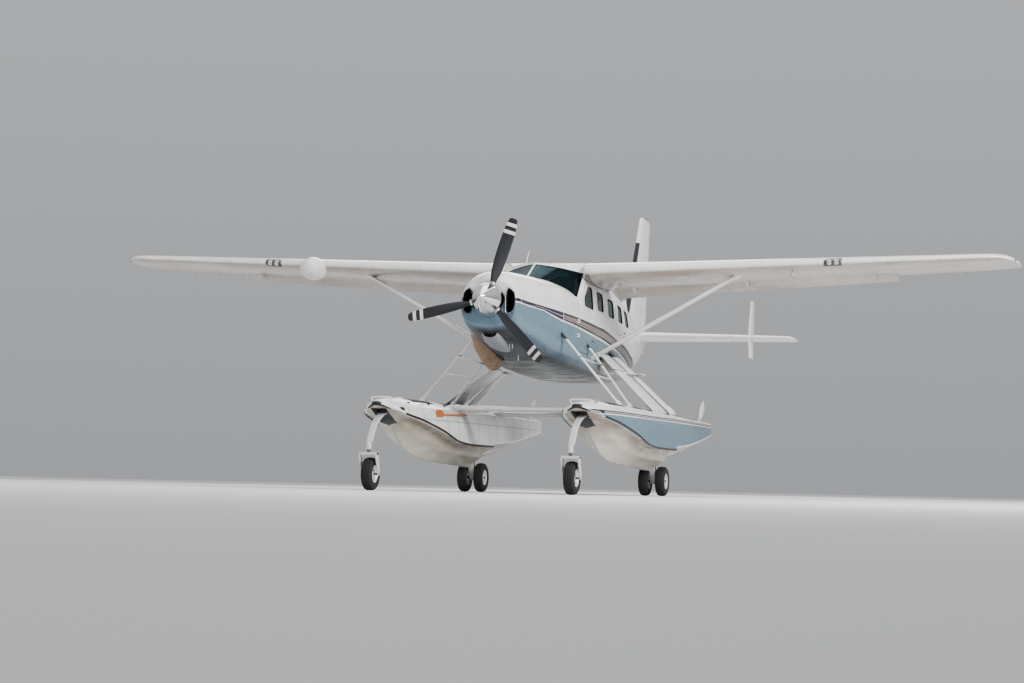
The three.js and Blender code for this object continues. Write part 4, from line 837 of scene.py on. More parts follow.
def spline(xs, ys):
    """Monotone cubic through points, as a function of one number."""
    xs, ys = np.array(xs, float), np.array(ys, float)
    h, d = np.diff(xs), np.diff(ys) / np.diff(xs)
    m = np.zeros(len(xs))
    for k in range(1, len(xs) - 1):
        if d[k - 1] * d[k] > 0:
            w1, w2 = 2 * h[k] + h[k - 1], h[k] + 2 * h[k - 1]
            m[k] = (w1 + w2) / (w1 / d[k - 1] + w2 / d[k])
    m[0], m[-1] = d[0], d[-1]

    def value(x):
        x = min(max(x, xs[0]), xs[-1])
        k = min(int(np.searchsorted(xs, x, side="right")) - 1, len(xs) - 2)
        t = (x - xs[k]) / h[k]
        a, b = 2 * t**3 - 3 * t**2 + 1, t**3 - 2 * t**2 + t
        return float(a * ys[k] + b * h[k] * m[k] + (1 - a) * ys[k + 1] + (t**3 - t**2) * h[k] * m[k + 1])

    return value


# Fuselage surfaces, by sections: y, half width, top, bottom, z of the widest place, fullness above and below, lean
FIREWALL_Y, CABIN_END_Y = 2.2, 7.3
TAIL_END_Y, BULKHEAD_Y = 10.835, 9.7
WALL = 0.045
CLEAR = 0.0003  # between two skins that would otherwise share a face
COWL = (
    (0.500, 0.452, 0.300, -0.430, -0.060, 2.6, 2.6, 0.0),
    (0.560, 0.476, 0.350, -0.490, -0.060, 2.7, 2.7, 0.0),
    (0.900, 0.500, 0.500, -0.590, -0.060, 2.8, 3.0, 0.0),
    (1.500, 0.590, 0.548, -0.690, -0.050, 2.9, 3.2, 0.0),
    (2.200, 0.688, 0.585, -0.808, -0.020, 2.9, 3.8, 0.0),
)
HOOD = COWL[-2:] + (
    (2.570, 0.735, 0.602, -0.818, 0.000, 2.9, 4.2, 0.0),
    (3.100, 0.778, 0.600, -0.830, 0.000, 2.9, 5.0, 0.0),
    (3.800, 0.800, 0.560, -0.840, 0.000, 2.9, 5.0, 0.0),
)
CABIN = (
    (2.200, 0.688, 0.900, -0.808, -0.020, 5.0, 3.8, 0.1),
    (2.570, 0.735, 0.925, -0.818, 0.000, 5.0, 4.2, 0.1),
    (3.130, 0.779, 0.955, -0.830, 0.000, 5.0, 5.0, 0.1),
    (3.800, 0.800, 1.010, -0.842, 0.000, 5.0, 5.0, 0.1),
    (4.300, 0.804, 1.066, -0.842, 0.000, 5.0, 5.0, 0.1),
    (5.000, 0.806, 1.045, -0.836, 0.000, 5.0, 5.0, 0.1),
    (5.700, 0.804, 0.985, -0.816, 0.000, 5.0, 5.0, 0.1),
    (6.500, 0.790, 0.905, -0.770, 0.000, 4.4, 4.6, 0.1),
    (7.300, 0.730, 0.850, -0.680, 0.020, 3.8, 4.0, 0.1),
)
TAIL = (CABIN[-2], CABIN[-1]) + (
    (8.100, 0.610, 0.790, -0.520, 0.060, 3.0, 3.0, 0.0),
    (8.900, 0.455, 0.740, -0.355, 0.120, 2.6, 2.6, 0.0),
    (9.700, 0.300, 0.700, -0.190, 0.200, 2.4, 2.4, 0.0),
    (10.300, 0.178, 0.665, -0.062, 0.270, 2.3, 2.3, 0.0),
    (TAIL_END_Y, 0.075, 0.630, 0.130, 0.360, 2.2, 2.2, 0.0),
)
RING = 128


class Body:
    """A skin over sections, smooth lengthwise."""

    def __init__(self, sections):
        ys = [s[0] for s in sections]
        self.curves = [spline(ys, [s[k] for s in sections]) for k in range(1, 8)]

    def at(self, y):
        return [curve(y) for curve in self.curves]

    def ring(self, y, inset=0.0, limit=None):
        half, top, bottom, middle, upper, lower, lean = self.at(y)
        quarter = []
        for fullness, height, narrow in ((upper, top - inset - middle, lean), (lower, bottom + inset - middle, 0.0)):
            line = []
            for k in range(241):
                t = math.pi / 2 * k / 240
                rise = math.sin(t) ** (2 / fullness)
                x = (half - inset) * math.cos(t) ** (2 / fullness) * (1 - narrow * rise)
                line.append((x, middle + height * rise))
            line = np.array(line)
            if limit is not None and height > 0:
                line[:, 0] = np.minimum(line[:, 0], [limit(y, z) for z in line[:, 1]])
            run = np.concatenate(([0.0], np.cumsum(np.hypot(*np.diff(line, axis=0).T))))
            want = np.linspace(0, run[-1], RING // 4 + 1)
            quarter.append(np.column_stack([np.interp(want, run, line[:, c]) for c in (0, 1)]))
        above, below = quarter
        ring = [(x, y, z) for x, z in above[:-1]] + [(-x, y, z) for x, z in above[:0:-1]]
        ring += [(-x, y, z) for x, z in below[:-1]] + [(x, y, z) for x, z in below[:0:-1]]
        return ring

    def half_width(self, y, z, inset=0.0):
        half, top, bottom, middle, upper, lower, lean = self.at(y)
        over = z > middle
        rise = (z - middle) / ((top - inset if over else bottom + inset) - middle)
        fullness = upper if over else lower
        if rise >= 1:
            return 0.0
        return (half - inset) * (1 - rise**fullness) ** (1 / fullness) * ((1 - lean * rise) if over else 1)

    def solid(self, y0, y1, inset=0.0, step=0.055, limit=None, lip=0.0, name="body"):
        ys = list(np.linspace(y0, y1, max(2, int((y1 - y0) / step) + 1)))
        if lip:
            extra = [y0 + lip * (1 - math.cos(a)) for a in np.linspace(0, math.pi / 2, 7)]
            ys = sorted(set(extra + [y for y in ys if y > y0 + lip]))
        rings = []
        for y in ys:
            more = lip * (1 - math.sqrt(max(0.0, 1 - (1 - (y - y0) / lip) ** 2))) if lip and y < y0 + lip else 0.0
            rings.append(self.ring(y, inset + more, limit))
        return build(name, *grid(rings), smooth=0)


cowl_body, hood_body, cabin_body, tail_body = Body(COWL), Body(HOOD), Body(CABIN), Body(TAIL)


def side_x(y, z):
    """Half width of the fuselage skin at a station and height."""
    body = cowl_body if y < FIREWALL_Y else cabin_body if y < CABIN_END_Y else tail_body
    return body.half_width(y, z)


# Windshield surface, by its corners. u runs outwards and v upwards; it bulges a little between them.
GLASS_LOW = (Vector((0, 2.570, 0.600)), Vector((0.720, 3.410, 0.370)))
GLASS_HIGH = (Vector((0, 3.130, 0.940)), Vector((0.720, 3.810, 0.860)))
PANE = {"u": (0.030, 0.955), "v": (0.035, 0.965)}
BULGE = 0.035


def glass_point(u, v, back=0.0):
    low = GLASS_LOW[0].lerp(GLASS_LOW[1], u)
    high = GLASS_HIGH[0].lerp(GLASS_HIGH[1], u)
    point = low.lerp(high, v)
    arch = 4 * u * (1 - u) if 0 < u < 1 else 0.0
    return point + Vector((0.35, -0.8, 0.45)) * (BULGE * arch) + Vector((0, back, 0))


def glass_slab(u, v, front, back, name="slab", steps=(28, 16)):
    """Both halves of a slab of the windshield surface, between two setbacks."""
    halves = []
    us = np.linspace(*u, steps[0] + 1)
    vs = np.linspace(*v, steps[1] + 1)
    rings = []
    for b in vs:
        rings.append([glass_point(a, b, front) for a in us] + [glass_point(a, b, back) for a in us[::-1]])
    for sign in (1, -1):
        halves.append(build(
            name, *grid([[Vector((sign * p.x, p.y, p.z)) for p in ring] for ring in rings]), smooth=0,
        ))
    return halves


def ahead_of_glass(setback):
    return glass_slab((-0.01, 1.4), (-0.6, 1.6), setback - 3.0, setback)


def block(x0, x1, y0, y1, z0, z1, matrix=AIR):
    return prism("z", [(x0, y0), (x1, y0), (x1, y1), (x0, y1)], z0, z1, matrix)


def cabin_solid(inset, name, setback=0.0):
    """The cabin as a solid, behind the windshield surface and with the hood ahead of it."""
    high = cabin_body.solid(FIREWALL_Y, CABIN_END_Y, inset, name=name)
    combine(high, ahead_of_glass(setback))
    edge = 0.0006

    def within(y, z):
        return max(0.0, cabin_body.half_width(y, z, inset) - edge) if z > 0 else 9.0

    hood = hood_body.solid(FIREWALL_Y + edge, 3.8, inset + edge, limit=within, name=name)
    return combine(high, [hood], "UNION")


def side_cut(outline, sign, corner=0.07):
    return prism("x", rounded(outline, corner), 0.3 * sign, 1.0 * sign)


# Doors and windows, by their outlines in (y, z)
CREW_DOOR = ((3.190, -0.520), (3.900, -0.520), (4.225, -0.200), (4.235, 0.700), (3.850, 0.700), (3.190, 0.230))
CREW_WINDOW = ((3.600, 0.275), (4.175, 0.265), (4.175, 0.655), (3.915, 0.655), (3.600, 0.420))
SPLIT_Z, DOOR_GAP = 0.060, 0.007
WINDOWS = {
    "first": ((4.470, 0.312), (4.900, 0.308), (4.900, 0.635), (4.470, 0.635)),
    "second": ((5.245, 0.290), (5.675, 0.286), (5.675, 0.612), (5.245, 0.614)),
    "third": ((6.010, 0.280), (6.370, 0.278), (6.370, 0.590), (6.010, 0.596)),
    "fourth": ((6.590, 0.268), (6.960, 0.266), (6.960, 0.560), (6.590, 0.572)),
}


def box_outline(y0, y1, z0, z1):
    return ((y0, z0), (y1, z0), (y1, z1), (y0, z1))


# Doors: node, side, outline, windows, what its opening is wider by besides the gap
DOORS = (
    ("crew_door_left", 1, CREW_DOOR, [CREW_WINDOW], 0.0),
    ("crew_door_right", -1, CREW_DOOR, [CREW_WINDOW], 0.0),
    ("cargo_door_upper", 1, box_outline(5.830, 7.080, SPLIT_Z, 0.650), [WINDOWS["third"], WINDOWS["fourth"]], 0.0),
    ("cargo_door_lower", 1, box_outline(5.830, 7.080, -0.590, SPLIT_Z - DOOR_GAP), [], 0.0),
    ("airstair_upper", -1, box_outline(6.440, 7.080, SPLIT_Z, 0.650), [WINDOWS["fourth"]], 0.0),
    ("airstair_lower", -1, box_outline(6.446, 7.074, -0.590, SPLIT_Z - DOOR_GAP), [], 0.006),
)
FIXED_WINDOWS = {1: ("first", "second"), -1: ("first", "second", "third")}


def glass_station(x, z):
    """Station of the windshield surface at a place across and a height."""
    u = min(1.0, abs(x) / GLASS_LOW[1].x)
    low, high = GLASS_LOW[0].lerp(GLASS_LOW[1], u), GLASS_HIGH[0].lerp(GLASS_HIGH[1], u)
    return low.lerp(high, (z - low.z) / (high.z - low.z)).y


def on_skin(body, p, rim):
    half, top, bottom, middle, upper, lower, lean = body.at(p.y)
    over = p.z > middle
    rise = abs(p.z - middle) / abs((top if over else bottom) - middle)
    fullness = upper if over else lower
    across = abs(p.x) / (half * ((1 - lean * min(rise, 1)) if over else 1))
    return across**fullness + rise**fullness > rim


def paint_faces(piece, body, materials, rim=0.965):
    """The outer skin takes the first material and everything further in takes the second."""
    back = AIR.inverted()
    mesh = piece.data
    mesh.materials.clear()
    for material in materials:
        mesh.materials.append(material)
    for face in mesh.polygons:
        p = back @ face.center
        ahead = p.y < 0.521 if body is cowl_body else p.z > 0.3 and p.y < glass_station(p.x, p.z) + 0.02
        hood = body is cabin_body and 0 < p.z and p.y < HOOD[-1][0] and on_skin(hood_body, p, rim)
        face.material_index = 0 if ahead or hood or on_skin(body, p, rim) else 1


def shell_finish(piece, body, materials):
    tidy(piece, 32)
    paint_faces(piece, body, materials)
    return piece


# Egg that fairs the root of a wheel leg: its middle, and its radii in the cabin skin and in the cover over it
LEG_ROOT = {"at": (0.800, 5.18, -0.585), "core": (0.168, 0.4, 0.145), "skin": (0.171, 0.403, 0.148)}


def leg_root(name, sign, radii, points, sides):
    """The faired root of a wheel leg, low on the side of the cabin."""
    x, y, z = LEG_ROOT["at"]
    return turned(name, egg(points), "y", sides, (sign * x, y, z), smooth=0, scale=radii)


def make_cabin():
    outer = cabin_solid(0.0, "outer")
    space = cabin_solid(WALL, "space", 0.070)
    limits = block(-0.9, 0.9, FIREWALL_Y + 0.05, CABIN_END_Y - 0.05, -0.9, 0.79)
    combine(space, [limits], "INTERSECT")
    wall = copy_of(outer, "wall")
    combine(wall, [space], keep=True)
    doors = []
    for name, sign, outline, windows, _ in DOORS:
        panel = copy_of(wall, name)
        combine(panel, [side_cut(outline, sign)], "INTERSECT")
        if windows:
            combine(panel, [side_cut(w, sign) for w in windows])
        doors.append(panel)
    # the roof between the wings, and the faired root of a wheel leg on each side
    combine(outer, [roof_fairing()], "UNION")
    for _, sign in SIDES:
        combine(outer, [leg_root("root", sign, LEG_ROOT["core"], 23, 40)], "UNION")
    combine(outer, [space])
    cuts = []
    for _, sign, outline, _, extra in DOORS:
        cuts.append(prism("x", rounded(grown(outline, DOOR_GAP + extra), 0.077), 0.3 * sign, 1.0 * sign))
    for sign, names in FIXED_WINDOWS.items():
        cuts += [side_cut(WINDOWS[n], sign) for n in names]
    combine(outer, cuts)
    combine(outer, glass_slab(PANE["u"], PANE["v"], -0.15, 0.4))
    outer.name = "cabin_skin"
    shell_finish(outer, cabin_body, (paint_fuselage(), liner()))
    for panel in doors:
        shell_finish(panel, cabin_body, (paint_fuselage(), liner()))
    discard(wall)
    return outer, doors


# Airfoils: x (or z for an upright one), leading edge y, chord, height of the chord line, thickness ratio
WING_ROOT_X = 0.812
WING = {
    "sections": (
        (WING_ROOT_X, 3.620, 1.980, 0.880, 0.174),
        (3.100, 3.702, 1.722, 0.972, 0.158),
        (5.865, 3.800, 1.422, 1.080, 0.140),
        (7.480, 3.862, 1.240, 1.143, 0.125),
        (7.700, 3.960, 1.095, 1.152, 0.118),
        (7.860, 4.230, 0.800, 1.150, 0.105),
        (7.935, 4.600, 0.400, 1.138, 0.080),
    ),
    "camber": 0.018,
    "incidence": 0.045,
    "straight": 7.480,
    "upright": False,
}
STABILIZER = {
    "sections": (
        (0.0, 9.960, 1.280, 0.500, 0.12), (3.060, 10.330, 0.830, 0.500, 0.10), (3.125, 10.470, 0.580, 0.500, 0.06),
    ),
    "camber": 0,
    "incidence": 0,
    "straight": 3.060,
    "upright": False,
}
FIN = {
    "sections": (
        (0.250, 9.290, 2.020, 0, 0.085),
        (0.900, 9.720, 1.640, 0, 0.095),
        (2.850, 10.680, 0.840, 0, 0.110),
        (2.895, 10.800, 0.640, 0, 0.060),
    ),
    "camber": 0,
    "incidence": 0,
    "straight": 2.850,
    "upright": True,
}
TRAILING_EDGE = 0.004
WING_TIP_X, STABILIZER_TIP_X, FIN_TOP_Z = (foil["sections"][-1][0] for foil in (WING, STABILIZER, FIN))


def foil_height(foil, s, thickness, skin):
    half = 5 * thickness * (0.2969 * math.sqrt(s) - 0.126 * s - 0.3516 * s**2 + 0.2843 * s**3 - 0.1036 * s**4)
    p = 0.3
    arch = (2 * p * s - s * s) / p**2 if s < p else (1 - 2 * p + 2 * p * s - s * s) / (1 - p) ** 2
    return foil["camber"] * arch + skin * (half + s * TRAILING_EDGE / 2) - foil["incidence"] * s


def foil_section(foil, span):
    rows = foil["sections"]
    k = next((i for i, r in enumerate(rows) if r[0] >= span), len(rows) - 1)
    a, b = rows[max(0, k - 1)], rows[max(1, k)]
    share = (span - a[0]) / (b[0] - a[0])
    return [p + share * (q - p) for p, q in zip(a, b)]


def foil_point(foil, section, s, skin):
    span, y, chord, height, thickness = section
    rise = height + chord * foil_height(foil, s, thickness, skin)
    return (rise, y + s * chord, span) if foil["upright"] else (span, y + s * chord, rise)


CHORD = [0.5 * (1 - math.cos(math.pi * k / 36)) ** 1.15 / 2**0.15 for k in range(37)]


def foil_ring(foil, section):
    upper = [foil_point(foil, section, s, 1) for s in CHORD]
    lower = [foil_point(foil, section, s, -1) for s in CHORD[1:]]
    return upper + lower[::-1]


def foil_spans(foil, low, high, step=0.2):
    rows = foil["sections"]
    spans = set(np.linspace(low, high, max(2, int((high - low) / step)))) | {r[0] for r in rows if low < r[0] < high}
    tip = foil["straight"]
    if high > tip:
        spans |= {tip + (high - tip) * math.sin(a) for a in np.linspace(0, math.pi / 2, 12)}
    return sorted(spans)


def foil_solid(foil, low, high, name="foil", sign=1, matrix=AIR):
    rows = foil["sections"]
    tip = foil["straight"]
    end = [r for r in rows if r[0] >= tip]
    smooth = [spline([r[0] for r in end], [r[k] for r in end]) for k in range(1, 5)] if high > tip else []
    rings = []
    for span in foil_spans(foil, low, high):
        section = [span] + [c(span) for c in smooth] if span > tip else foil_section(foil, span)
        rings.append([(sign * p[0], p[1], p[2]) for p in foil_ring(foil, section)])
    return build(name, *grid(rings), matrix, smooth=0)


def roof_fairing():
    section = list(WING["sections"][0])
    rings = [
        [(x, p[1], p[2]) for p in foil_ring(WING, section)]
        for x in (-WING_ROOT_X + CLEAR, -0.3, 0.3, WING_ROOT_X - CLEAR)
    ]
    made = build("roof", *grid(rings), smooth=0)
    keep_out = ahead_of_glass(0.0)
    for half in keep_out:
        combine(half, [block(-0.735, 0.735, 3.0, 4.2, 0.3, 1.4)], "INTERSECT")
    return combine(made, keep_out)


# Hinged surfaces, by their ends along the span and the pin line's station at both ends
FLAP = {"foil": WING, "ends": (0.880, 5.850), "pin": (5.158, 4.905)}
AILERON = {"foil": WING, "ends": (5.875, 7.470), "pin": (4.911, 4.830)}
ELEVATOR = {"foil": STABILIZER, "ends": (0.095, 3.040), "pin": (10.790, 10.790)}
RUDDER = {"foil": FIN, "ends": (0.262, 2.835), "pin": (10.907, 11.188)}
COVE = 0.009


def nose_at(surface, span):
    (a, b), (p, q) = surface["ends"], surface["pin"]
    section = foil_section(surface["foil"], span)
    s = (p + (span - a) / (b - a) * (q - p) - section[1]) / section[2]
    over, under = (Vector(foil_point(surface["foil"], section, s, skin)) for skin in (1, -1))
    return section, s, (over + under) / 2, (over - under).length / 2


def hinged_solid(surface, name, sign=1, matrix=AIR):
    foil = surface["foil"]
    low, high = surface["ends"]
    rings = []
    for span in foil_spans(foil, low, high, 0.3):
        section, s, centre, radius = nose_at(surface, span)
        ring = []
        for angle in np.linspace(90, 270, 17):
            back, rise = radius * math.cos(math.radians(angle)), radius * math.sin(math.radians(angle))
            ring.append((
                centre.x + rise, centre.y + back, centre.z,
            ) if foil["upright"] else (centre.x, centre.y + back, centre.z + rise))
        shares = [k / 9 for k in range(1, 10)]
        ring += [foil_point(foil, section, s + t * (1 - s), -1) for t in shares]
        ring += [foil_point(foil, section, s + t * (1 - s), 1) for t in shares[::-1]]
        rings.append([(sign * p[0], p[1], p[2]) for p in ring])
    return build(name, *grid(rings), matrix, smooth=0)


def cove_cut(surface, sign=1):
    gap = DOOR_GAP
    margin = (-0.9, gap) if surface["foil"]["upright"] else (-gap, gap)
    corners = []
    for end, more in zip(surface["ends"], margin):
        _, _, centre, radius = nose_at(surface, end + more)
        corners.append((centre.y - radius - COVE, end + more))
    (y0, s0), (y1, s1) = corners
    if surface["foil"]["upright"]:
        return prism("x", [(y0, s0), (y1, s1), (12.5, s1), (12.5, s0)], -0.4, 0.4)
    return prism("z", [(sign * s0, y0), (sign * s1, y1), (sign * s1, 12.5), (sign * s0, 12.5)], 0.2, 1.6)


FLAP_DOWN = math.radians(20)
FLAP_BRACKETS = (1.3, 3.3, 5.5)


def flap_pivot(x):
    _, _, centre, _ = nose_at(FLAP, x)
    return Vector((x, centre.y + 0.03, centre.z - 0.13))


def flap_matrix(sign):
    at, end = (flap_pivot(x) for x in FLAP["ends"])
    at.x, end.x = sign * at.x, sign * end.x
    axis = (end - at).normalized()
    turn = Matrix.Rotation(-sign * FLAP_DOWN, 4, axis)
    return AIR @ Matrix.Translation(at) @ turn @ Matrix.Translation(-at)


# Nose
EXHAUST = {
    "path": (
        (-0.150, 1.010, -0.190), (-0.330, 1.150, -0.390), (-0.400, 1.560, -0.590), (-0.385, 1.880, -0.745),
        (-0.345, 2.130, -0.850),
    ),
    "radius": 0.148,
    "wall": 0.006,
}
SPINNER = {"length": 0.480, "radius": 0.270, "skin": 0.008}
BLADE_SIDES = 40
SHOULDER = 1.290  # radius where a blade's rounded tip begins
PROP = {"y": 0.408, "tip": 1.345, "turn": math.radians(17), "hub": 0.103, "hole": 0.063}
# Propeller blade: radius, chord, thickness, pitch in degrees
BLADE = (
    (0.080, 0.088, 0.080, 50),
    (0.275, 0.104, 0.058, 44),
    (0.450, 0.172, 0.034, 36),
    (0.800, 0.205, 0.022, 27),
    (1.130, 0.192, 0.015, 20),
    (1.290, 0.150, 0.011, 18),
    (1.345, 0.080, 0.008, 17),
)


def smooth_path(points, steps=10):
    """A curve through points, with its ends kept."""
    points = [Vector(p) for p in points]
    padded = [points[0] * 2 - points[1]] + points + [points[-1] * 2 - points[-2]]
    made = []
    for i in range(1, len(padded) - 2):
        a, b, c, d = padded[i - 1 : i + 3]
        for k in range(steps):
            t = k / steps
            square, cube = 2 * a - 5 * b + 4 * c - d, 3 * b - a - 3 * c + d
            made.append(0.5 * (2 * b + (c - a) * t + square * t**2 + cube * t**3))
    return made + [points[-1]]


def make_cowl():
    outer = cowl_body.solid(0.5, FIREWALL_Y - CLEAR, 0.0, 0.04, lip=0.018, name="engine_cowl")
    inner = cowl_body.solid(0.522, FIREWALL_Y + 0.03, 0.022, 0.08)
    inlet = [
        (z, x) for z,
        x in (
            (-0.235, 0.285), (-0.210, 0.405), (-0.060, 0.440), (0.120, 0.425), (0.190, 0.350), (0.190, 0.300),
            (0.060, 0.275),
        )
    ]
    cuts = [inner]
    for _, sign in SIDES:
        shape = rounded([(z, sign * x) for z, x in inlet][::sign], 0.06, 8)
        cuts.append(prism("y", shape, 0.45, 0.80))
    cuts.append(build("shaft", *sweep([(0, 0.45, 0), (0, 0.60, 0)], 0.150, 48), smooth=0))
    end = Vector(EXHAUST["path"][-1]) + Vector((0.008, 0.03, -0.013))
    cuts.append(build(
        "hole", *sweep(smooth_path(EXHAUST["path"][:-1] + (end,)), EXHAUST["radius"] + 0.022, 40), smooth=0,
    ))
    combine(outer, cuts)
    shell_finish(outer, cowl_body, (paint_fuselage(), dark_duct()))
    settle(outer, "airframe", ("engine_cowling",))
    # a duct with a rolled lip behind each inlet
    for side, sign in SIDES:
        rings = []
        for depth, scale in ((0.0, 1.04), (-0.012, 1.0), (-0.008, 0.96), (0.01, 0.93), (0.16, 0.82), (0.24, 0.6)):
            line = rounded([(z, sign * x) for z, x in inlet][::sign], 0.06, 8)
            centre = sum((Vector(p) for p in line), Vector((0, 0))) / len(line)
            rings.append([
                (centre.y + (p.y - centre.y) * scale, 0.5 + depth, centre.x + (p.x - centre.x) * scale) for p in line
            ])
        duct = build(
            "inlet_duct_" + side, *grid(rings, True, (False, True)),
            materials=(finish_of("inlet_lip", metal, (0.55, 0.56, 0.58), (0.3, 0.45)), dark_duct()),
        )
        count = len(rings[0])
        for face in duct.data.polygons:
            face.material_index = 0 if min(face.vertices) < 2 * count else 1
        thickened(duct, 0.004, 1)
        settle(duct, "airframe")


def make_exhaust():
    path = smooth_path(EXHAUST["path"], 12)
    outer = build("exhaust_duct", *sweep(path, EXHAUST["radius"], 56), smooth=0)
    end, way = path[-1], (path[-1] - path[-3]).normalized()
    mouth = build(
        "mouth", *sweep([end - way * 0.26, end + way * 0.06], EXHAUST["radius"] - EXHAUST["wall"], 56), smooth=0,
    )
    low = cabin_body.solid(FIREWALL_Y, 3.0, -0.002)
    engine = build("block", *sweep([(0, 0.5, 0), (0, 2.3, 0)], 0.237, 40), smooth=0)
    combine(outer, [mouth, low, engine])
    coat(outer, finish_of("exhaust_metal", heat_metal), 40)
    settle(outer, "airframe", ("exhaust_pipe",))
    # weld bands round the duct
    bands = []
    for share in (0.52, 0.76):
        k = int(share * (len(path) - 1))
        way = (path[k + 1] - path[k - 1]).normalized()
        side = way.cross(Vector((0, 0, 1))).normalized()
        rise = side.cross(way)
        rings = [
            ellipse_ring(path[k] + way * d, side, rise, EXHAUST["radius"] + r, EXHAUST["radius"] + r, 56) for d,
            r in ((-0.012, 0.0005), (-0.006, 0.005), (0.006, 0.005), (0.012, 0.0005))
        ]
        bands.append(build("band", *grid(rings), materials=(finish_of("exhaust_metal", heat_metal),)))
    settle(merge("exhaust_bands", bands), "airframe")


def make_propeller():
    length = SPINNER["length"]

    def spin_radius(y):
        return SPINNER["radius"] * math.sin(math.pi / 2 * y / length) ** 0.86

    ys = [length * (k / 40) ** 1.7 for k in range(41)]
    outside = [(spin_radius(y), y) for y in ys]
    rim = SPINNER["radius"] - SPINNER["skin"]
    inside = [(spin_radius(y) - SPINNER["skin"], y + SPINNER["skin"]) for y in ys[-4:12:-4]]
    profile = outside + [(rim, length)] + inside + [(0, 0.06)]
    cone = build("spinner_cone", *lathe(profile, "y", 120), smooth=0)
    for k in range(3):
        turn = Matrix.Rotation(PROP["turn"] + k * 2 * math.pi / 3, 4, "Y")
        hole = sweep([turn @ Vector((0, PROP["y"], 0.15)), turn @ Vector((0, PROP["y"], 0.35))], PROP["hole"], 32)
        combine(cone, [build("hole", *hole, smooth=0)])
    coat(cone, chrome(), 30)
    settle(cone, "propeller", ("spinner",))
    # a seam band round the spinner's rear edge
    band = build(
        "spinner_band",
        *lathe(
            [
                (0.2702, 0.452), (0.2716, 0.455), (0.2716, 0.476), (0.2702, 0.479), (0.268, 0.479), (0.268, 0.452),
                (0.2702, 0.452),
            ],
            "y", 120,
        ),
        materials=(chrome(),),
    )
    settle(band, "propeller")
    rows = [spline([b[0] for b in BLADE], [b[k] for b in BLADE]) for k in (1, 2, 3)]
    spans = [0.08, 0.12, 0.18, 0.24] + list(np.linspace(0.275, SHOULDER, 34)) + [
        SHOULDER + 0.055 * math.sin(a) for a in np.linspace(0.15, math.pi / 2 * 0.97, 8)
    ]
    rings = []
    for r in spans:
        chord, thick, angle = (c(min(r, SHOULDER)) for c in rows)
        if r > SHOULDER:
            fall = math.sqrt(max(0.0, 1 - ((r - SHOULDER) / 0.056) ** 2))
            chord, thick = 0.04 + (chord - 0.04) * fall, 0.003 + (thick - 0.003) * fall
        angle = math.radians(angle)
        ring = []
        blend = min(1.0, max(0.0, (r - 0.24) / 0.16))
        for j in range(BLADE_SIDES):
            t = 2 * math.pi * j / BLADE_SIDES
            a, b = chord / 2 * math.cos(t), thick / 2 * math.sin(t)
            b *= 1 - 0.35 * blend * math.cos(t)
            ring.append((
                a * math.cos(angle) - b * math.sin(angle), PROP["y"] + a * math.sin(angle) + b * math.cos(angle), r,
            ))
        rings.append(ring)
    shade = Shade("blade_paint", None, Coat_Weight=0.2)
    shade.place = shade.node("ShaderNodeUVMap").outputs[0]
    along = shade.axis("X")
    base = shade.mix(shade.noise(60.0, 4.0), (0.016, 0.017, 0.022), (0.028, 0.029, 0.034))
    pale = shade.near(along, (1.115, 1.235), 0.028)
    worn = shade.ramp(shade.noise(18.0, 6.0, stretch=(1, 6, 1)), ((0.5, 0.0), (0.72, 1.0)))
    edge = shade.times(shade.math("GREATER_THAN", shade.axis("Y"), 0.94), worn)
    colour = shade.mix(pale, base, (0.72, 0.70, 0.66))
    colour = shade.mix(shade.times(edge, 0.7), colour, (0.45, 0.45, 0.46))
    shade.colour(colour)
    shade.rough(shade.remap(shade.noise(25.0, 4.0), 0.3, 0.7, 0.3, 0.5))
    shade.bump(shade.noise(80.0, 3.0), 0.0003)
    blades = []
    for k in range(3):
        verts, faces = grid(rings)
        blade = build("blade", verts, faces, None, (shade.made,), 40)
        layer = blade.data.uv_layers.new(name="span")
        for loop in blade.data.loops:
            i = loop.vertex_index
            round_it = math.cos(2 * math.pi * (i % BLADE_SIDES) / BLADE_SIDES)
            layer.data[loop.index].uv = (blade.data.vertices[i].co.z, 0.5 + 0.5 * round_it)
        blade.data.transform(AIR @ Matrix.Rotation(PROP["turn"] + k * 2 * math.pi / 3, 4, "Y"))
        blades.append(blade)
    settle(merge("propeller_blade_set", blades), "propeller", ("propeller_blades",))
    hub = [
        (0, 0.328), (PROP["hub"] - 0.01, 0.328), (PROP["hub"], 0.338), (PROP["hub"], 0.464), (0.258, 0.464),
        (0.2588, 0.466), (0.2588, 0.474), (0.258, 0.476), (0.06, 0.476), (0.06, 0.5597), (0, 0.5597),
    ]
    settle(build("propeller_hub", *lathe(hub, "y", 72), materials=(leg_metal(),)), "propeller")
    cuffs = []
    for k in range(3):
        turn = AIR @ Matrix.Rotation(PROP["turn"] + k * 2 * math.pi / 3, 4, "Y")
        profile = [
            (0.045, 0.205), (0.056, 0.21), (0.058, 0.262), (0.0555, 0.276), (0.0515, 0.282), (0.045, 0.282),
            (0.045, 0.205),
        ]
        cuff_metal = finish_of("cuff_metal", metal, (0.66, 0.66, 0.67), (0.2, 0.35))
        cuffs.append(turned("cuff", profile, "z", 40, (0, PROP["y"], 0), turn, (cuff_metal,), 35))
    settle(merge("blade_cuffs", cuffs), "propeller")


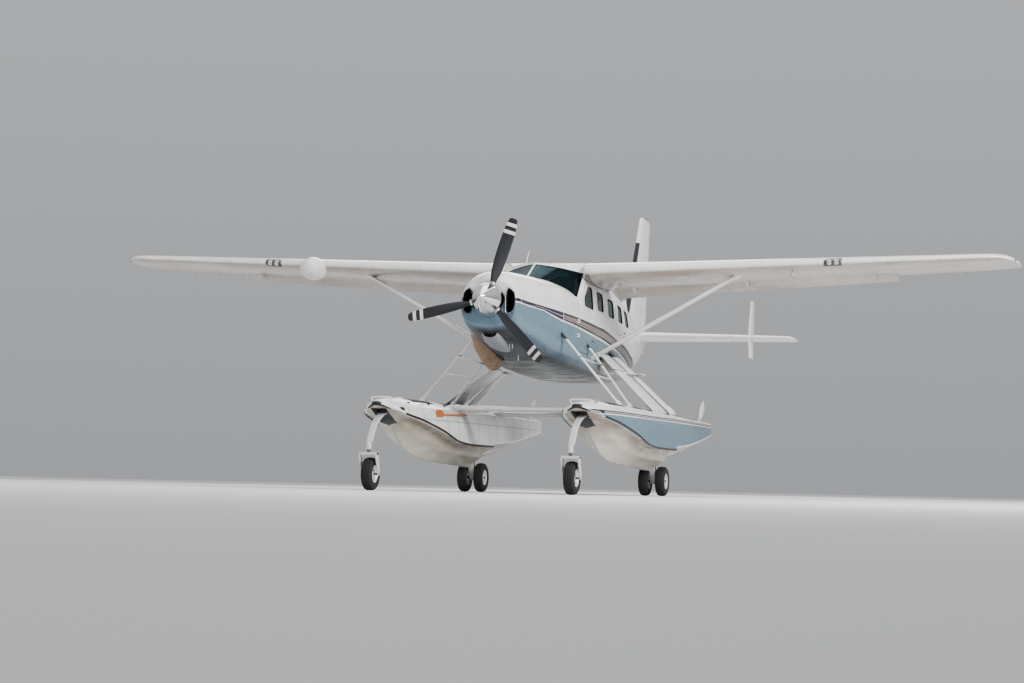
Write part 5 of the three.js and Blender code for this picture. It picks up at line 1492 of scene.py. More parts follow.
def make_nose_fittings():
    # a ram scoop under the cowl with a dark screen in its mouth, and drain tubes beside it
    scoop = []
    for y, half, drop in (
        (0.62, 0.115, 0.075), (0.66, 0.14, 0.105), (0.80, 0.155, 0.12), (1.05, 0.15, 0.11), (1.35, 0.12, 0.07),
        (1.62, 0.07, 0.012),
    ):
        under = cowl_body.at(y)[2]
        ring = []
        for k in range(33):
            t = math.pi * k / 32
            ring.append((half * math.cos(t), y, under + 0.02 - (drop + 0.02) * math.sin(t) ** 0.7))
        scoop.append(ring)
    outer = build("intake_scoop", *grid(scoop, True, (False, True)), smooth=0)
    thickened(outer, 0.008, 0)
    coat(
        outer, finish_of("scoop_grey", speckled, (0.30, 0.31, 0.33), (0.24, 0.25, 0.27), 120.0, (0.35, 0.5), 0.0004),
        40,
    )
    settle(outer, "airframe")
    back = [
        [(p[0] * 0.93, 0.70, p[2] + 0.004) for p in scoop[1]], [(p[0] * 0.93, 0.71, p[2] + 0.004) for p in scoop[1]],
    ]
    settle(build("intake_screen", *grid(back), materials=(dark_duct(),)), "airframe")
    drains = []
    for x, y, long in ((0.16, 1.2, 0.07), (0.21, 1.2, 0.055), (0.13, 1.85, 0.09)):
        z = cowl_body.at(y)[2] + 0.03
        drains.append(build(
            "drain", *sweep([(x, y, z), (x, y + 0.01, z - long * 0.6), (x, y + 0.03, z - long - 0.03)], 0.008, 12),
            materials=(leg_metal(),),
        ))
    settle(merge("drain_tubes", drains), "airframe")


# Tail
def make_tail():
    cone = tail_body.solid(CABIN_END_Y + CLEAR, TAIL_END_Y, 0, 0.06, name="tail_cone_skin")
    room = tail_body.solid(CABIN_END_Y - 0.05, BULKHEAD_Y, WALL, 0.12)
    slot = [foil_solid(STABILIZER, -0.05, 0.6, "slot", sign) for _, sign in SIDES]
    _, _, centre, _ = nose_at(ELEVATOR, 0.0)
    tube = build("tube", *sweep([(-0.3, centre.y, centre.z), (0.3, centre.y, centre.z)], 0.027, 24), smooth=0)
    combine(cone, [room] + slot + [tube])
    coat(cone, paint_fuselage(), 32)
    settle(cone, "airframe", ("tail_cone",))
    tail_white = finish_of(
        "tail_white_paint", white_paint, AIR, (
            ("Y", (10.2, 10.55)), ("Z", (0.9, 1.5, 2.1, 2.6)),
        ), (("Z", "Y", (0.92, 1.52, 2.12, 2.62)),), 0.2
    )
    halves = []
    for _, sign in SIDES:
        half = foil_solid(STABILIZER, 0.0, STABILIZER_TIP_X, "half", sign)
        combine(half, [cove_cut(ELEVATOR, sign)])
        halves.append(half)
    plane = combine(halves[0], [halves[1]], "UNION")
    combine(plane, [block(-0.1, 0.1, 10.7, 12.0, 0.3, 0.7)])
    finlet = {
        "sections": (
            (0.110, 10.330, 0.400, 0, 0.08), (0.560, 10.230, 0.510, 0, 0.08), (1.210, 10.400, 0.330, 0, 0.08),
        ),
        "camber": 0, "incidence": 0, "straight": 2.0, "upright": True,
    }
    for _, sign in SIDES:
        fin = foil_solid(finlet, 0.110, 1.210, "finlet")
        fin.data.transform(AIR @ Matrix.Translation((sign * 2.3, 0, 0)) @ AIR.inverted())
        combine(plane, [fin], "UNION")
    plane.name = "tailplane_skin"
    coat(plane, tail_white, 32)
    settle(plane, "airframe", ("tailplane",))
    parts = []
    for _, sign in SIDES:
        half = hinged_solid(ELEVATOR, "half", sign)
        room_outline = [(0, 10.7), (0.095, 10.7), (0.12, 10.84), (0.33, 11.3), (0, 11.3)]
        combine(half, [prism("z", [(sign * x, y) for x, y in room_outline], 0.2, 0.8)])
        parts.append(half)
    parts.append(build("tube", *sweep([(-0.2, centre.y, centre.z), (0.2, centre.y, centre.z)], 0.02, 24), smooth=0))
    for part in parts:
        coat(part, tail_white, 32)
    settle(merge("elevator_skin", parts), "elevator", ("elevator",))
    blade = foil_solid(FIN, FIN["sections"][0][0], FIN_TOP_Z, "tail_fin_skin")
    trim = tail_body.solid(CABIN_END_Y, TAIL_END_Y, -CLEAR, 0.1)
    combine(blade, [cove_cut(RUDDER), trim, block(-0.4, 0.4, 9.0, 12.0, 0, 0.56)])
    boot = Shade("fin_paint", AIR, Coat_Weight=0.35)
    y, z = boot.axis("Y"), boot.axis("Z")
    lead = boot.math("SUBTRACT", y, boot.remap(z, 0.9, 2.85, 9.72, 10.68))
    base = weathered(boot, WHITE, 0.2)
    strip = boot.times(boot.math("LESS_THAN", lead, 0.10), boot.math("LESS_THAN", z, 2.35))
    boot.colour(boot.mix(strip, base, (0.025, 0.026, 0.03)))
    lines = boot.near(z, (1.2, 1.8, 2.4), 0.0025)
    boot.bump(boot.math("SUBTRACT", boot.noise(12.0, 2.0), lines), 0.001)
    coat(blade, boot.made, 32)
    settle(blade, "airframe", ("tail_fin",))
    # a dorsal fillet runs forward from the fin along the top of the cone
    rings = []
    for y, half, high in (
        (7.9, 0.012, 0.015), (8.3, 0.035, 0.07), (8.8, 0.055, 0.17), (9.3, 0.07, 0.31), (9.62, 0.075, 0.42),
    ):
        top = tail_body.at(y)[1]
        rings.append([
            (half * math.cos(t) * (1 - 0.2 * math.sin(t)), y, top - 0.05 + (high + 0.05) * math.sin(t))
            for t in np.linspace(0, math.pi, 17)
        ])
    fillet = build("dorsal_fillet", *grid(rings), smooth=0)
    coat(fillet, paint_fuselage(), 40)
    settle(fillet, "airframe")
    rudder = hinged_solid(RUDDER, "rudder_skin")
    coat(rudder, tail_white, 32)
    settle(rudder, "rudder", ("tail_rudder",))
    beacon = [(0, -0.01), (0.03, -0.01), (0.03, 0.02), (0.028, 0.05), (0.018, 0.07), (0, 0.076)]
    red = finish_of(
        "beacon_red", speckled, (0.5, 0.02, 0.015), (0.38, 0.02, 0.015), 90.0, (0.08, 0.15), 0.0001, 0.0,
        Coat_Weight=1.0,
    )
    settle(turned("beacon", beacon, "z", 28, (0, 11.15, 2.875), AIR, (red,), 35), "airframe")
    ring = []
    for span in (0.55, 1.15):
        section = nose_at(RUDDER, span)[0]
        p = foil_point(FIN, section, 0.97, 1)
        x0, x1, y0, y1 = p[0] + 0.001, p[0] + 0.004, p[1] - 0.09, p[1]
        ring.append([(x0, y0, span), (x0, y1, span), (x1, y1, span), (x1, y0, span)])
    tab = build("rudder_trim_tab", *grid(ring), materials=(tail_white,))
    settle(tab, "rudder")


# Wings
def wing_finish(name, matrix, sign):
    spans = (1.5, 2.2, 3.1, 4.0, 4.7, 5.2, 5.865, 6.7, 7.48)
    return finish_of(
        name, white_paint, matrix, (("X", [sign * s for s in spans]), ("Y", (3.95, 4.45, 4.9))), (
            ("X", "Y", [sign * (s + 0.02) for s in spans]), ("Y", "X", (3.97, 4.47)),
        ), 0.3, under=True
    )


def make_wings():
    for side, sign in SIDES:
        paint = wing_finish("wing_paint_" + side, AIR, sign)
        wing = foil_solid(WING, WING_ROOT_X, WING_TIP_X, "wing_skin_" + side, sign)
        cuts = [cove_cut(FLAP, sign), cove_cut(AILERON, sign)]
        combine(wing, cuts)
        coat(wing, paint, 30)
        settle(wing, "airframe", ("wing_" + side,))
        brackets = []
        for x in FLAP_BRACKETS:
            pivot = flap_pivot(x)
            _, _, centre, radius = nose_at(FLAP, x)
            skin = foil_point(WING, foil_section(WING, x), 0.6, -1)
            cove = centre.y - radius - COVE - 0.01
            line = [
                (skin[1] - 0.16, skin[2] + 0.02),
                (skin[1] - 0.02, skin[2] - 0.035),
                (skin[1] + 0.12, skin[2] - 0.085),
                (pivot.y - 0.04, pivot.z - 0.03),
                (pivot.y + 0.02, pivot.z - 0.02),
                (pivot.y + 0.02, pivot.z + 0.014),
                (pivot.y - 0.045, pivot.z + 0.032),
                (cove, centre.z - radius),
                (cove, centre.z),
            ]
            pod = build("pod", *grid([[(sign * (x + d), a, b) for a, b in line] for d in (-0.013, 0.013)]), smooth=0)
            pod.data.materials.append(paint)
            bevelled(pod, 0.006)
            tidy(pod, 50)
            pin = build(
                "pin",
                *sweep([(sign * (x - 0.02), pivot.y, pivot.z), (sign * (x + 0.045), pivot.y, pivot.z)], 0.009, 20),
                materials=(leg_metal(),),
            )
            brackets += [pod, pin]
        settle(merge("flap_brackets_" + side, brackets), "airframe")
        place = flap_matrix(sign)
        flap_paint = finish_of(
            "flap_paint_" + side, white_paint, place, (("X", [sign * s for s in (1.9, 2.9, 3.9, 4.9)]),),
            (("X", "Y", [sign * s for s in (1.92, 2.92, 3.92, 4.92)]),), 0.35, under=True,
        )
        flap = hinged_solid(FLAP, "flap_skin_" + side, sign, place)
        coat(flap, flap_paint, 30)
        settle(flap, "flap_" + side, ("flap_" + side,))
        lugs = []
        for x in FLAP_BRACKETS:
            pivot = flap_pivot(x)
            _, _, centre, radius = nose_at(FLAP, x)
            low = [
                (pivot.y - 0.017, pivot.z - 0.016), (pivot.y + 0.017, pivot.z - 0.016),
                (pivot.y + 0.095, centre.z - radius * 0.2), (pivot.y - 0.015, centre.z - radius * 0.2),
            ]
            lugs.append(build(
                "lug", *grid([[(sign * (x + d), a, b) for a, b in low] for d in (0.025, 0.038)]), place,
                (flap_paint,), 30,
            ))
        settle(merge("flap_lugs_" + side, lugs), "flap_" + side)
        aileron = hinged_solid(AILERON, "aileron_skin_" + side, sign)
        coat(aileron, paint, 30)
        settle(aileron, "aileron_" + side, ("aileron_" + side,))
        make_wing_fittings(side, sign)


def leading_patch(x0, x1, sign, reach, out):
    """A strip that wraps the wing's nose between two spans."""
    rings = []
    shares = [reach * (k / 12) ** 2 for k in range(12, 0, -1)] + [0.0] + [reach * (k / 12) ** 2 for k in range(1, 13)]
    for x in np.linspace(x0, x1, 7):
        section = foil_section(WING, x)
        ring = []
        for k, s in enumerate(shares):
            p = Vector(foil_point(WING, section, s, 1 if k < 12 else -1))
            ring.append((sign * p.x, p.y - out * (1 - s / reach), p.z + out * (1 if k < 12 else -1 if k > 12 else 0)))
        rings.append(ring)
    return grid(rings, False, (False, False))


# Profiles of the lamps in the leading edge and at the wing tip
LAMP = ((0, 0.0), (0.035, 0.003), (0.045, 0.012), (0.03, 0.03), (0, 0.04))
TIP_LAMP = ((0, -0.06), (0.018, -0.045), (0.024, 0.0), (0.018, 0.045), (0, 0.06))


def make_wing_fittings(side, sign):
    dark, darker = (0.09, 0.09, 0.1), (0.05, 0.055, 0.06)
    lamp_dark = finish_of("lamp_dark", speckled, darker, dark, 60.0, (0.06, 0.12), 0.0001, 0.0, Coat_Weight=1.0)
    patch = leading_patch(4.80, 5.10, sign, 0.05, 0.0015)
    cover = build("landing_lamp_cover_" + side, *patch, materials=(lamp_dark,))
    thickened(cover, 0.003)
    settle(cover, "airframe")
    lamps = []
    for x in (4.89, 5.01):
        p = foil_point(WING, foil_section(WING, x), 0.0, 1)
        at = (sign * x, p[1] - 0.0045, p[2])
        lamp_glass = finish_of(
            "lamp_glass", speckled, (0.75, 0.77, 0.8), (0.9, 0.9, 0.92), 60.0, (0.05, 0.1), 0.0001, 0.6
        )
        lamps.append(turned("lamp", LAMP, "y", 28, at, AIR, (lamp_glass,), 35))
    settle(merge("landing_lamps_" + side, lamps), "airframe")
    # a tip lamp, static wicks along the aileron, and a pitot tube under the left wing
    tip = foil_section(WING, 7.86)
    red, green = ((0.5, 0.02, 0.02), (0.02, 0.32, 0.12))
    tint = red if sign > 0 else green
    lamp_finish = finish_of(
        "tip_lamp_" + side, speckled, tint, tuple(c * 0.8 for c in tint), 60.0, (0.08, 0.14), 0.0001, 0.0,
        Coat_Weight=1.0,
    )
    at, scale = (sign * 7.893, tip[1] + 0.13, 1.152), (0.9, 1, 0.8)
    lamp = turned("tip_lamp_" + side, TIP_LAMP, "y", 24, at, AIR, (lamp_finish,), 35, scale)
    settle(lamp, "airframe")
    wicks = []
    for span in (6.1, 6.55, 7.0, 7.35):
        p = Vector(foil_point(WING, foil_section(WING, span), 1.0, 1))
        p.x *= sign
        wicks.append(build(
            "wick",
            *sweep(
                [p + Vector((0, -0.01, 0)), p + Vector((0, 0.07, -0.008)), p + Vector((0, 0.13, -0.016))],
                [0.0035, 0.003, 0.0015], 8,
            ),
            materials=(seal_rubber(),),
        ))
    settle(merge("aileron_wicks_" + side, wicks), "aileron_" + side)
    if sign > 0:
        root = Vector(foil_point(WING, foil_section(WING, 4.25), 0.12, -1))
        path = smooth_path(
            [
                root + Vector((0, 0.02, 0.01)), root + Vector((0, 0.0, -0.09)), root + Vector((0, -0.05, -0.12)),
                root + Vector((0, -0.24, -0.12)),
            ],
            8,
        )
        radii = [0.016 - 0.005 * min(1, k / 16) for k in range(len(path))]
        settle(build("pitot_tube", *sweep(path, radii, 16), materials=(leg_metal(),)), "airframe")


def make_pod():
    at, radii = Vector((-4.18, 3.735, 0.935)), (0.22, 0.33, 0.2)
    pod = turned("radar_pod_skin", egg(41, 1.52), "y", 64, at, smooth=0, scale=radii)
    combine(pod, [foil_solid(WING, WING_ROOT_X, 6.0, "near", -1)])
    shade = Shade("pod_paint", AIR, Coat_Weight=0.4)
    seam = shade.near(shade.axis("Y"), (3.56,), 0.003)
    base = weathered(shade, WHITE, 0.15)
    shade.colour(shade.mix(shade.times(seam, 0.6), base, (0.2, 0.2, 0.2)))
    shade.bump(shade.math("SUBTRACT", shade.noise(10.0), seam), 0.001)
    coat(pod, shade.made, 40)
    settle(pod, "airframe", ("radar_pod",))


def faired(low, high, chord, thickness, sides=40, flare=0.0):
    """A streamlined strut with a sharper rear edge, swelling at its ends by a share of its size."""
    low, high = Vector(low), Vector(high)
    along = Vector((0, 1, 0))
    across = (high - low).normalized().cross(along).normalized()
    rings = []
    for k in range(25):
        t = k / 24
        width = chord[0] + (chord[1] - chord[0]) * t
        swell = 1 + flare * (math.exp(-t * 14) + math.exp(-(1 - t) * 14))
        ring = []
        for j in range(sides):
            a = 2 * math.pi * j / sides
            x = math.cos(a)
            y = math.sin(a) * (1 - 0.28 * x) * 0.97
            ring.append(low.lerp(high, t) + along * (width / 2 * x * swell) + across * (thickness / 2 * y * swell))
        rings.append(ring)
    return grid(rings)


STRUT = {"low": (0.722, 4.250, -0.575), "high": (3.390, 4.160, 0.930), "chord": (0.215, 0.215), "thickness": 0.062}


def make_wing_struts():
    for side, sign in SIDES:
        flip = mirror(AIR, sign)
        strut = build(
            "wing_strut_skin_" + side, *faired(STRUT["low"], STRUT["high"], STRUT["chord"], STRUT["thickness"]), flip,
            smooth=0,
        )
        combine(strut, [foil_solid(WING, WING_ROOT_X, 6.0, "near", sign), cabin_body.solid(3.2, 5.5, -CLEAR)])
        coat(strut, wing_strut_white(), 40)
        settle(strut, "airframe", ("wing_strut_" + side,))
        # fairings at both ends
        cuffs = []
        for t in (0.035, 0.965):
            centre = Vector(STRUT["low"]).lerp(Vector(STRUT["high"]), t)
            way = (Vector(STRUT["high"]) - Vector(STRUT["low"])).normalized() * 0.09
            cuffs.append(build(
                "cuff", *faired(centre - way, centre + way, (0.245, 0.245), 0.085, flare=0.08), flip,
                (wing_strut_white(),), 40,
            ))
        settle(merge("strut_cuffs_" + side, cuffs), "airframe")


# Cabin pieces
def finish_cabin():
    outer, doors = make_cabin()
    settle(outer, "airframe", ("cabin_shell",))
    for (name, *_), panel in zip(DOORS, doors):
        panel.name = name + "_skin"
        settle(panel, name, (name,))


def side_sheet(outline, sign, corner, depth, thickness):
    """A curved pane that follows the skin over an outline, set in by a depth."""
    line = rounded(outline, corner, 8)
    centre = sum((Vector(p) for p in line), Vector((0, 0))) / len(line)
    layers = []
    for scale in np.linspace(1.0, 0.05, 9):
        layers.append([centre + (p - centre) * scale for p in line])
    count = len(line)
    verts, faces = [], []
    for inset in (depth, depth + thickness):
        for layer in layers:
            verts += [(sign * (side_x(p.x, p.y) - inset), p.x, p.y) for p in layer]
    half = len(layers) * count
    for base in (0, half):
        for i in range(len(layers) - 1):
            for j in range(count):
                a, b = base + i * count + j, base + i * count + (j + 1) % count
                faces.append((a, b, b + count, a + count))
        faces.append(tuple(base + (len(layers) - 1) * count + j for j in range(count)))
    for j in range(count):
        n = (j + 1) % count
        faces.append((j, n, n + half, j + half))
    return verts, faces


def side_ring(outline, sign, corner, out, into, inner, outer):
    """A flat ring that follows the skin round an outline; inner and outer are its reach in and out of it."""
    inside = [Vector(p) for p in rounded(grown(outline, -inner), max(0.01, corner - inner), 8)]
    outside = [Vector(p) for p in rounded(grown(outline, outer), corner + outer, 8)]
    rings = []
    for line, depth in ((inside, into), (inside, -out), (outside, -out), (outside, into)):
        rings.append([(sign * (side_x(p.x, p.y) - depth), p.x, p.y) for p in line])
    return grid(rings + rings[:1], True, (False, False))


SEALANT = 0.014  # width of the dark strip round the windshield


def make_windows():
    glass_finish = (window_glass(),)
    seal = (seal_rubber(),)
    owner = {}
    for name, sign, _, windows, _ in DOORS:
        if windows:
            owner[name] = (sign, windows, name, (name + "_glass",))
    for side, sign in SIDES:
        owner["cabin_windows_" + side] = (
            sign, [WINDOWS[n] for n in FIXED_WINDOWS[sign]], "airframe", ("cabin_windows_" + side,),
        )
    for name, (sign, windows, body, nodes) in owner.items():
        panes, seals = [], []
        for outline in windows:
            panes.append(build("pane", *side_sheet(outline, sign, 0.07, 0.012, 0.006), AIR, glass_finish, 40))
            seals.append(build("seal", *side_ring(outline, sign, 0.07, 0.0015, 0.016, 0.012, 0.0), AIR, seal, 40))
        settle(merge(name + "_panes", panes), body, nodes)
        settle(merge(name + "_seals", seals), body)
    panes = glass_slab(PANE["u"], PANE["v"], 0.004, 0.014, "pane")
    for pane in panes:
        coat(pane, window_glass(), 40)
    settle(merge("windshield_panes", panes), "airframe", ("windshield",))
    # dark sealant round each half of the windshield
    (u0, u1), (v0, v1) = PANE["u"], PANE["v"]
    du, dv, lift = SEALANT / 1.1, SEALANT / 0.6, -0.003
    path = [(u, v0) for u in np.linspace(u0, u1, 24)] + [(u1, v) for v in np.linspace(v0, v1, 16)[1:]]
    path += [(u, v1) for u in np.linspace(u1, u0, 24)[1:]] + [(u0, v) for v in np.linspace(v1, v0, 16)[1:-1]]
    strips = []
    for sign in (1, -1):
        rings = []
        for into, back in ((1, lift + 0.012), (1, lift), (-0.25, lift), (-0.25, lift + 0.012)):
            ring = []
            for u, v in path:
                a = u + du * into * (int(u == u0) - int(u == u1))
                b = v + dv * into * (int(v == v0) - int(v == v1))
                p = glass_point(a, b, back)
                ring.append((sign * p.x, p.y, p.z))
            rings.append(ring)
        strips.append(build("strip", *grid(rings + rings[:1], True, (False, False)), AIR, (seal_rubber(),), 40))
    settle(merge("windshield_seals", strips), "airframe")
    wipers = []
    for sign in (1, -1):
        root = glass_point(0.10, -0.02, -0.012)
        tip = glass_point(0.42, 0.34, -0.022)
        arm = [Vector((sign * p.x, p.y, p.z)) for p in (root, root.lerp(tip, 0.5) + Vector((0, -0.01, 0.01)), tip)]
        wipers.append(tube_piece("arm", arm, [0.008, 0.006, 0.004], AIR, dark_metal(), 12, (1, 0.6)))
        low, high = glass_point(0.34, 0.06, -0.012), glass_point(0.52, 0.62, -0.012)
        blade = [
            Vector((sign * p.x, p.y, p.z)) for p in (low, low.lerp(high, 0.5) + Vector((0, -0.012, 0.006)), high)
        ]
        wipers.append(tube_piece("blade", blade, 0.006, AIR, seal_rubber(), 8, (0.6, 1)))
        hub = Vector((sign * root.x, root.y, root.z))
        wipers.append(tube_piece(
            "pivot", [hub + Vector((0, 0.02, -0.02)), hub + Vector((0, -0.01, 0.012))], 0.014, AIR, dark_metal(), 20,
        ))
    settle(merge("windshield_wipers", wipers), "airframe")


# Hinges: door, side, ends of the pin line in (y, z), distance out from the skin, knuckle places along the pin,
# and on which side of the pin the moving strap lies
HINGES = (
    ("crew_door_left", 1, ((3.1865, -0.380), (3.1865, 0.060)), 0.024, (0.110, 0.350), 1),
    ("crew_door_right", -1, ((3.1865, -0.380), (3.1865, 0.060)), 0.024, (0.110, 0.350), 1),
    ("cargo_door_upper", 1, ((5.900, 0.6535), (7.010, 0.6535)), 0.030, (0.150, 0.960), -1),
    ("cargo_door_lower", 1, ((5.8265, -0.470), (5.8265, 0.010)), 0.024, (0.090, 0.390), 1),
    ("airstair_upper", -1, ((6.500, 0.6535), (7.020, 0.6535)), 0.030, (0.110, 0.410), -1),
    ("airstair_lower", -1, ((6.500, -0.5935), (7.020, -0.5935)), 0.032, (0.110, 0.410), 1),
)
KNUCKLE = {"radius": 0.016 * 0.62, "half": 0.0095, "pitch": 0.0205, "pin": 0.006}


def make_hinges():
    """Knuckles on the same pin lines as the joints: the outer thirds are fixed and the middle one is the door's."""
    for door, sign, ends, out, places, moving_side in HINGES:
        start, end = (Vector((sign * (side_x(y, z) + out), y, z)) for y, z in ends)
        way = (end - start).normalized()
        inward = Vector((-sign, 0, 0))
        moving, fixed = [], []
        for place in places:
            centre = start + way * place
            for offset, group in ((-KNUCKLE["pitch"], fixed), (0.0, moving), (KNUCKLE["pitch"], fixed)):
                a, b = centre + way * (offset - KNUCKLE["half"]), centre + way * (offset + KNUCKLE["half"])
                group.append(tube_piece("knuckle", [a, b], KNUCKLE["radius"], AIR, paint_plain(), 24))
                aside = Vector((0, 0, 1)) if abs(way.z) < 0.5 else Vector((0, 1, 0))
                towards = aside * (moving_side if group is moving else -moving_side)
                foot = inward * (out + 0.004) + towards * 0.03
                strap = [
                    a + towards * 0.009 - inward * 0.002,
                    a - inward * -0.002 - towards * 0.003,
                    a + foot + towards * -0.004,
                    a + foot + towards * 0.02 - inward * 0.004,
                ]
                plate = grid([strap, [p + (b - a) for p in strap]])
                group.append(build("strap", *plate, AIR, (paint_plain(),), 40))
            fixed.append(tube_piece(
                "pin", [centre - way * 0.032, centre + way * 0.032], KNUCKLE["pin"], AIR, leg_metal(), 16,
            ))
        settle(merge(door + "_hinge_leaves", moving), door)
        settle(merge(door + "_hinge_knuckles", fixed), "airframe")


def make_handles():
    for door, sign, y, z, angle in (
        ("crew_door_left", 1, 4.10, -0.28, 0.15),
        ("crew_door_right", -1, 4.10, -0.28, 0.15),
        ("cargo_door_upper", 1, 6.46, 0.13, 0.0),
        ("cargo_door_lower", 1, 6.95, -0.25, 0.0),
        ("airstair_upper", -1, 6.52, 0.14, 0.0),
        ("airstair_lower", -1, 6.76, -0.05, 0.0),
    ):
        parts = []
        plate = [
            (y + 0.055 * math.cos(t), z + 0.028 * math.sin(t))
            for t in np.linspace(0, 2 * math.pi, 40, endpoint=False)
        ]
        rings = []
        for scale, lift in ((1.0, -0.001), (1.0, 0.002), (0.9, 0.0035), (0.3, 0.004)):
            rings.append([(sign * (side_x(a, b) + lift), y + (a - y) * scale, z + (b - z) * scale) for a, b in plate])
        parts.append(build("plate", *grid(rings), AIR, (leg_metal(),), 40))
        lever = []
        for k in range(9):
            t = k / 8
            a, b = y - 0.045 + 0.105 * t, z + angle * 0.1 * t
            lever.append((sign * (side_x(a, b) + 0.006 + 0.008 * math.sin(math.pi * t)), a, b))
        parts.append(tube_piece("lever", lever, 0.008, AIR, dark_metal(), 16, (0.7, 1)))
        settle(merge(door + "_handle", parts), door)


def make_antennas():
    parts = []
    for x, y, high in ((-0.30, 3.66, 0.24), (0.16, 5.60, 0.30)):
        base = Vector((x, y, cabin_body.at(y)[1] - 0.002))
        foot = sweep([base - Vector((0, 0, 0.03)), base + Vector((0, 0.01, 0.03))], [0.03, 0.016], 20)
        parts.append(build("whip_foot", *foot, AIR, (paint_plain(),), 40))
        whip = [base, base + Vector((0.01, 0.02, high * 0.5)), base + Vector((0.03, 0.06, high))]
        parts.append(tube_piece("whip", whip, [0.009, 0.008, 0.006], AIR, paint_plain(), 12))
    for y, high, chord in ((6.05, 0.26, 0.17), (7.6, 0.17, 0.22)):
        top = (cabin_body if y < CABIN_END_Y else tail_body).at(y)[1]
        rings = []
        for t in np.linspace(0, 1, 7):
            width = chord * (1 - 0.45 * t)
            ring = []
            for k in range(28):
                a = 2 * math.pi * k / 28
                ring.append((
                    0.012 * (1 - 0.5 * t) * math.sin(a), y + 0.1 * t + width / 2 * math.cos(a),
                    top - 0.02 + (high + 0.02) * t,
                ))
            rings.append(ring)
        parts.append(build("fin", *grid(rings), AIR, (paint_plain(),), 40))
    puck = Vector((0.0, 5.35, cabin_body.at(5.35)[1] + 0.012))
    profile = [(0, -0.02), (0.06, -0.02), (0.06, 0.006), (0.05, 0.02), (0, 0.026)]
    parts.append(turned("puck", profile, "z", 40, puck, AIR, (paint_plain(),)))
    settle(merge("antennas", parts), "airframe")


def make_belly():
    """Leg root fairings and lap straps under the cabin."""
    for side, sign in SIDES:
        root = leg_root("leg_root_" + side, sign, LEG_ROOT["skin"], 31, 56)
        combine(root, [cabin_body.solid(4.0, 6.4, 0.002, 0.11)])
        coat(root, finish_of("root_cream", white_paint, AIR, (), (), 0.2, (0.80, 0.77, 0.70)), 50)
        settle(root, "airframe")
    strips = []
    for y in (2.62, 3.3, 4.15, 4.85, 5.55, 6.25, 6.95):
        line = []
        half, _, bottom, middle, _, lower, _ = cabin_body.at(y)
        for x in np.linspace(-0.62, 0.62, 21):
            rise = (1 - (abs(x) / half) ** lower) ** (1 / lower)
            line.append((x, middle + (bottom - middle) * rise))
        rings = []
        for dy, drop in ((-0.010, -0.001), (-0.010, 0.0022), (0.010, 0.0022), (0.010, -0.001)):
            rings.append([(x, y + dy, z - drop) for x, z in line])
        verts = [p for ring in rings for p in ring]
        count = len(line)
        faces = [
            (i * count + j, i * count + j + 1, ((i + 1) % 4) * count + j + 1, ((i + 1) % 4) * count + j)
            for i in range(4) for j in range(count - 1)
        ]
        faces += [(0, count, 2 * count, 3 * count), (count - 1, 2 * count - 1, 3 * count - 1, 4 * count - 1)]
        strips.append(build("strip", verts, faces, AIR, (belly_grey(),), 40))
    settle(merge("belly_straps", strips), "airframe")


# Interior
SEAT = {"crew": (0.33, 3.64), "rows": (4.56, 5.26, 5.96), "aisle": 0.40}
FLOOR_Z = -0.600


def seat_frame(x, y):
    parts = []
    for dx in (-0.15, 0.15):
        for dy in (0.10, 0.38):
            parts.append(tube_piece(
                "leg", [(x + dx, y + dy, FLOOR_Z + 0.018), (x + dx, y + dy + 0.02, -0.372)], 0.014, AIR, leg_metal(),
                14,
            ))
        parts.append(tube_piece(
            "rail", [(x + dx, y + 0.04, -0.385), (x + dx, y + 0.46, -0.385)], 0.016, AIR, leg_metal(), 14,
        ))
        parts.append(tube_piece(
            "foot", [(x + dx, y + 0.06, FLOOR_Z + 0.026), (x + dx, y + 0.42, FLOOR_Z + 0.026)], 0.012, AIR,
            dark_metal(), 12,
        ))
    shell = [(y + 0.50, -0.36), (y + 0.535, -0.36), (y + 0.655, 0.385), (y + 0.615, 0.385)]
    back = prism("x", shell, x - 0.205, x + 0.205)
    back.data.materials.append(finish_of(
        "seat_shell", speckled, (0.10, 0.10, 0.11), (0.14, 0.14, 0.15), 120.0, (0.45, 0.6),
    ))
    bevelled(back, 0.012)
    tidy(back, 50)
    parts.append(back)
    return parts


def cushion(name, size, crown, matrix):
    """A crowned cushion with a pinched welt round it and shallow channels across, as a closed mesh."""
    wide, deep, high = size
    n, m = 28, 28
    verts, faces = [], []

    def height(u, v, top):
        edge = (1 - abs(u) ** 4) * (1 - abs(v) ** 4)
        channelled = top and abs(v) < 0.85 and abs(u) < 0.93
        channel = 0.012 * math.exp(-((v * 3 - round(v * 3)) / 0.09) ** 2) if channelled else 0.0
        bolster = 0.022 * math.exp(-((abs(u) - 0.82) / 0.13) ** 2) if top else 0.0
        side = (high / 2) * (0.35 + 0.65 * edge**0.4)
        return side + (crown * edge if top else 0) + bolster * (1 - abs(v) ** 6) - channel

    for top in (True, False):
        for i in range(n + 1):
            for j in range(m + 1):
                u, v = (math.sin(math.pi / 2 * (2 * i / n - 1)), math.sin(math.pi / 2 * (2 * j / m - 1)))
                k = 1 - 0.06 * (abs(u) * abs(v)) ** 6
                z = height(u, v, top)
                verts.append((wide / 2 * u * k, deep / 2 * v * k, z if top else -z))
    half = (n + 1) * (m + 1)
    for base in (0, half):
        for i in range(n):
            for j in range(m):
                a = base + i * (m + 1) + j
                faces.append((a, a + 1, a + m + 2, a + m + 1))
    rim = [i * (m + 1) for i in range(n + 1)] + [n * (m + 1) + j for j in range(1, m + 1)]
    rim += [i * (m + 1) + m for i in range(n - 1, -1, -1)] + [j for j in range(m - 1, 0, -1)]
    for k, a in enumerate(rim):
        b = rim[(k + 1) % len(rim)]
        faces.append((a, b, b + half, a + half))
    return build(name, verts, faces, matrix, (fabric(),), 60)


